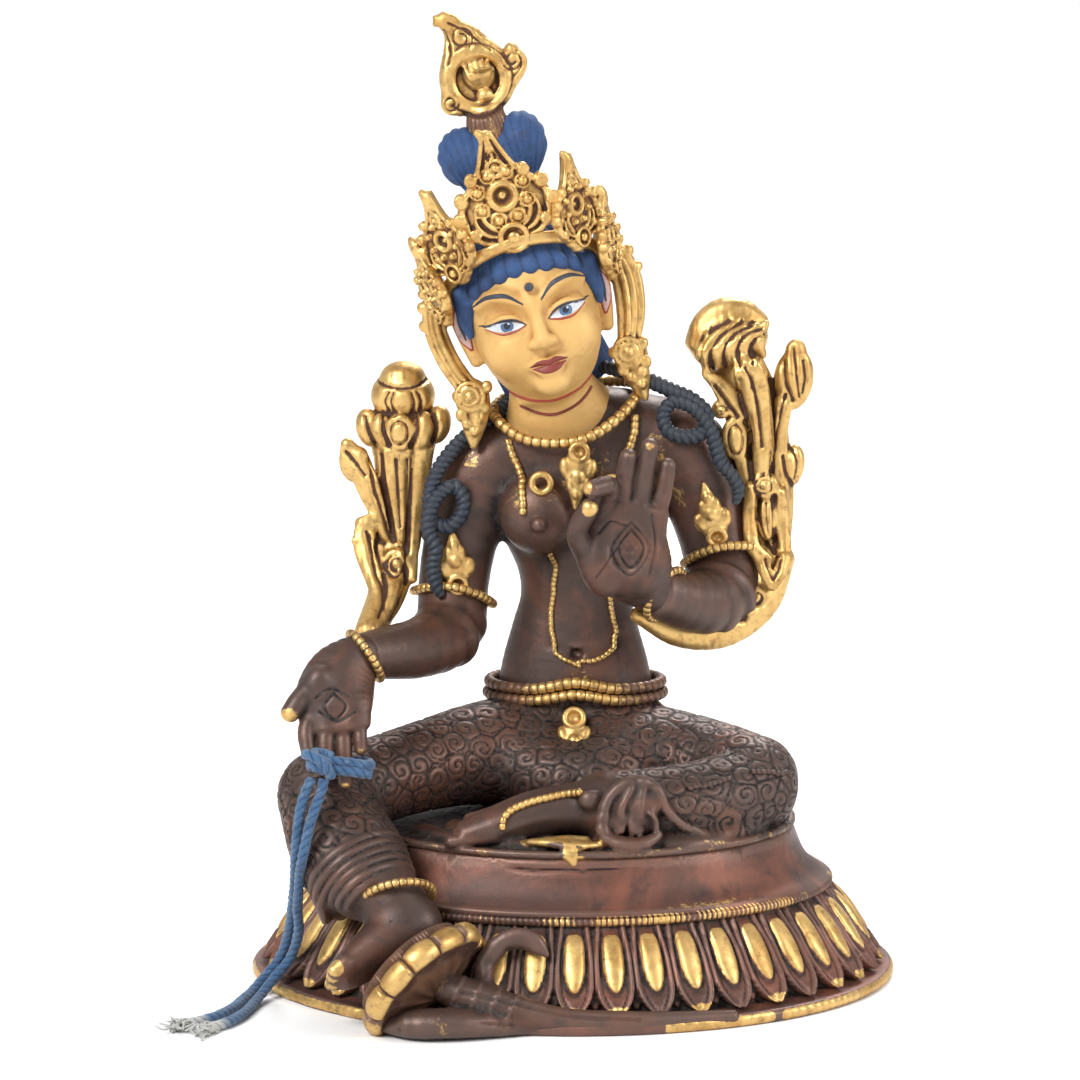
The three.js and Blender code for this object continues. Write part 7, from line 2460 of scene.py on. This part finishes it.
COLLAR = [
    (-3, -1.6, 84.8), (-11.5, 0.4, 85.8), (-17.4, 6, 90), (-14.6, 15, 92.6), (-2, 19.5, 94), (10, 16.6, 96),
    (14.6, 8, 95.8), (9.8, 1, 90), (3.4, -1, 86),
]
bead_rope("collar_beads", COLLAR, 1.25, 2.0, 0.9, closed=True)
bead_rope(
    "neck_strand_left", [(-15.0, 1.6, 86), (-12.4, -1, 79), (-10, -4, 73.4), (-8.8, -6, 70.2)], 0.85, 1.5,
    0.75, body_tree, 0.6,
)
bead_rope(
    "neck_strand_right",
    [(14.4, 0, 92.6), (13.4, -1, 86), (11.8, -3, 80), (9.6, -5, 76.4), (7.6, -6, 73.4)], 0.95, 1.5, 0.8,
    body_tree, 0.6,
)
bead_rope(
    "belly_chain",
    [(-4.4, 0, 58.4), (-6.0, 0, 51), (-6.8, 0, 45), (-6.6, 0, 41.6), (-4.6, 0, 38.4), (-1.2, 0, 36),
     (3, 0, 35.4), (7, 0, 36.8), (10, 1, 38.8), (12, 2, 41)],
    0.6, 1.15, 0.72, body_tree, 0.7,
)
bead_rope(
    "belly_chain_end", [(10.6, 1, 48.6), (11.6, 1, 45.4), (12, 2, 41.4)], 0.6, 1.15, 0.5, body_tree, 0.7,
)


def belt(height, grow, arch):
    """Points of one rope of the belt, arching up in the middle."""
    rows = []
    for angle in np.linspace(0, 2 * math.pi, 48, endpoint=False):
        front = max(0.0, -math.sin(angle))
        rise = arch * bell(math.cos(angle), 0, 0.34) * (math.sin(angle) < 0)
        x, y = 0.6 + (18.6 + grow) * math.cos(angle), 14 + (12.6 + grow) * math.sin(angle)
        rows.append((x, y - 0.2 * rise * front, height + rise))
    return rows


def belt_gilt(points):
    return 0.25 + 0.55 * bell(points[:, 0], 1, 9) * (points[:, 1] < 6)


bead_rope("belt_upper_rope", belt(28.9, 0.6, 2.0), 1.3, 1.9, belt_gilt, closed=True)
bead_rope("belt_lower_rope", belt(26.4, 1.0, 1.8), 1.25, 1.9, belt_gilt, closed=True)
ARMLETS = {
    "armlet_lowered_arm": ((-26.2, 7.9, 50.6), (0.16, 0.22, 0.96), 8.9),
    "bracelet_lowered_hand": ((-45.2, -22, 41.2), (0.8, 0.3, 0.5), 5.9),
    "armlet_raised_arm": ((33, 7.7, 59.8), (-0.17, 0.21, 0.96), 8.8),
    "bracelet_raised_hand": ((20, -12.2, 53), (0.75, -0.5, -0.42), 6.1),
}
for name, (centre, axis, radius) in ARMLETS.items():
    arch = 1.8 if "armlet" in name else 0
    bead_rope(
        name, oval(centre, axis, radius, dip=-arch), 1.05 if arch else 0.95, 1.5, 0.6 if arch else 0.42,
        closed=True,
    )
bead_rope("anklet_lowered_foot", oval(ANKLET_PLACE, (-0.17, 0.6, 0.79), 7.7), 0.95, 1.5, 0.6, closed=True)
FOLDED_CHAIN = [
    (-15.6, -34, 5.6), (-15, -35, 8.4), (-13.6, -35, 10.6), (-10, -34.4, 12.4), (-5, -33.6, 13.8),
    (0.6, -32.6, 15.2),
]
bead_rope("ankle_chain_folded_foot", FOLDED_CHAIN, 0.85, 1.4, 0.8, leg_tree, 0.6)
KNEE_BEADS = {
    "knee_beads_inner": [(24.6, -29, 13.4), (29.6, -28, 14.6), (34.4, -24.6, 15.4)],
    "knee_beads_outer": [(38.6, -20.6, 15.4), (42.4, -17.6, 14.2), (46, -14, 12.8)],
}
for name, points in KNEE_BEADS.items():
    bead_rope(name, points, 0.55, 1.3, 0.12, leg_tree, 0.5, material=COPPER)

# %% [markdown]
# The pendants are small castings with an empty setting at one end, where a stone once sat. Pressed in wax
# on a fine grid they keep their soft, worn modelling. One function makes a leaf shaped pendant, and it
# hangs at the breast, at the belt and on each upper arm, each time in its own measures.

# %% Pendants


def leaf_pendant(wax, centre, height, half, ring_end, lean=0.0, ring=1.9, tip=0.0):
    """A leaf with lobed shoulders and a ringed, empty setting at its top or its foot."""
    depth = 1.5
    stand = FIGURE.inside(centre, turn_matrix(x=tip, y=lean))
    up = 1 if ring_end == "top" else -1
    rows = [
        (0, 0, up * height * 0.42, half * 0.66, depth), (0, 0, up * height * 0.1, half, depth),
        (0, -0.2, -up * height * 0.16, half * 0.66, depth * 0.9), (0, 0, -up * height * 0.5, 0.5, 0.7),
    ]
    wax.limb(rows, up=(0, 1, 0), blend=0.4, place=stand)
    for side in (-1, 1):
        lobe = (half * 0.42, depth * 0.9, height * 0.17)
        wax.ball(
            (side * half * 0.85, 0, up * height * 0.12), lobe, turn_matrix(y=side * 14), 0.4, place=stand,
        )
        fold = (half * 0.3, depth * 0.8, height * 0.13)
        wax.ball(
            (side * half * 0.45, -0.4, -up * height * 0.12), fold, turn_matrix(y=side * 10), 0.4,
            place=stand,
        )
    wax.ball((0, -depth * 0.7, 0), (half * 0.45, depth * 0.7, half * 0.5), blend=0.3, place=stand)
    wax.ball(
        (0, -depth * 0.6, -up * height * 0.26), (half * 0.3, depth * 0.6, half * 0.42), blend=0.3,
        place=stand,
    )
    setting = up * height * 0.4
    wax.tube(circle((0, -depth * 0.75, setting), ring), ring * 0.36, blend=0.3, steps=18, place=stand)
    wax.ball((0, -depth * 1.2, setting), (ring * 0.74, 1.5, ring * 0.74), blend=0.2, cut=True, place=stand)


def pendant(name, centre, height, half, ring_end, gilt=0.7, **shape):
    reach = np.array((half * 1.5, 6, height * 0.75))
    middle = FIGURE.point(centre)
    wax = Wax(middle - reach, middle + reach, 0.26)
    leaf_pendant(wax, centre, height, half, ring_end, **shape)
    corners, faces = wax.skin(1)
    return cast(name, corners, faces, GILDING, gilt, "gilt", hollow=hollows(corners, faces, 10, 0.4))


def on_surface(tree, point, lift):
    """The place on a surface nearest to a drawn point, lifted forward."""
    hit, _, _, _ = tree.find_nearest(Vector(FIGURE.point(point)))
    place = np.array(hit) - FIGURE.origin
    return (place[0], place[1] - lift, place[2])


pendant("breast_pendant", (0.9, -3.0, 77.6), 14, 3.2, "top", lean=4, ring=1.8)
pendant("belt_pendant", (0.2, -4.6, 18.6), 13, 2.9, "top", gilt=0.66, ring=2.0, tip=-32)
pendant(
    "arm_jewel_lowered", on_surface(body_tree, (-26.2, -2, 58.6), 0.9), 13, 3.3, "foot", lean=-6, ring=1.8,
)
pendant("arm_jewel_raised", on_surface(body_tree, (30.6, -2, 69), 0.9), 13.4, 3.3, "foot", lean=-14, ring=1.8)
for name, x, z in (("ring_pendant_left", -6.6, 79.6), ("ring_pendant_right", 6.6, 82.6)):
    centre = FIGURE.point(on_surface(body_tree, (x, -10, z), 2.2))
    path = np.array(circle(centre, 2.0, 41)[:-1])
    corners, faces, hollow = swept(path, lambda travel, angle: (0.78, 0.4), 14, closed=True)
    cast(name, corners, faces, GILDING, 0.9, "gilt", hollow=hollow)
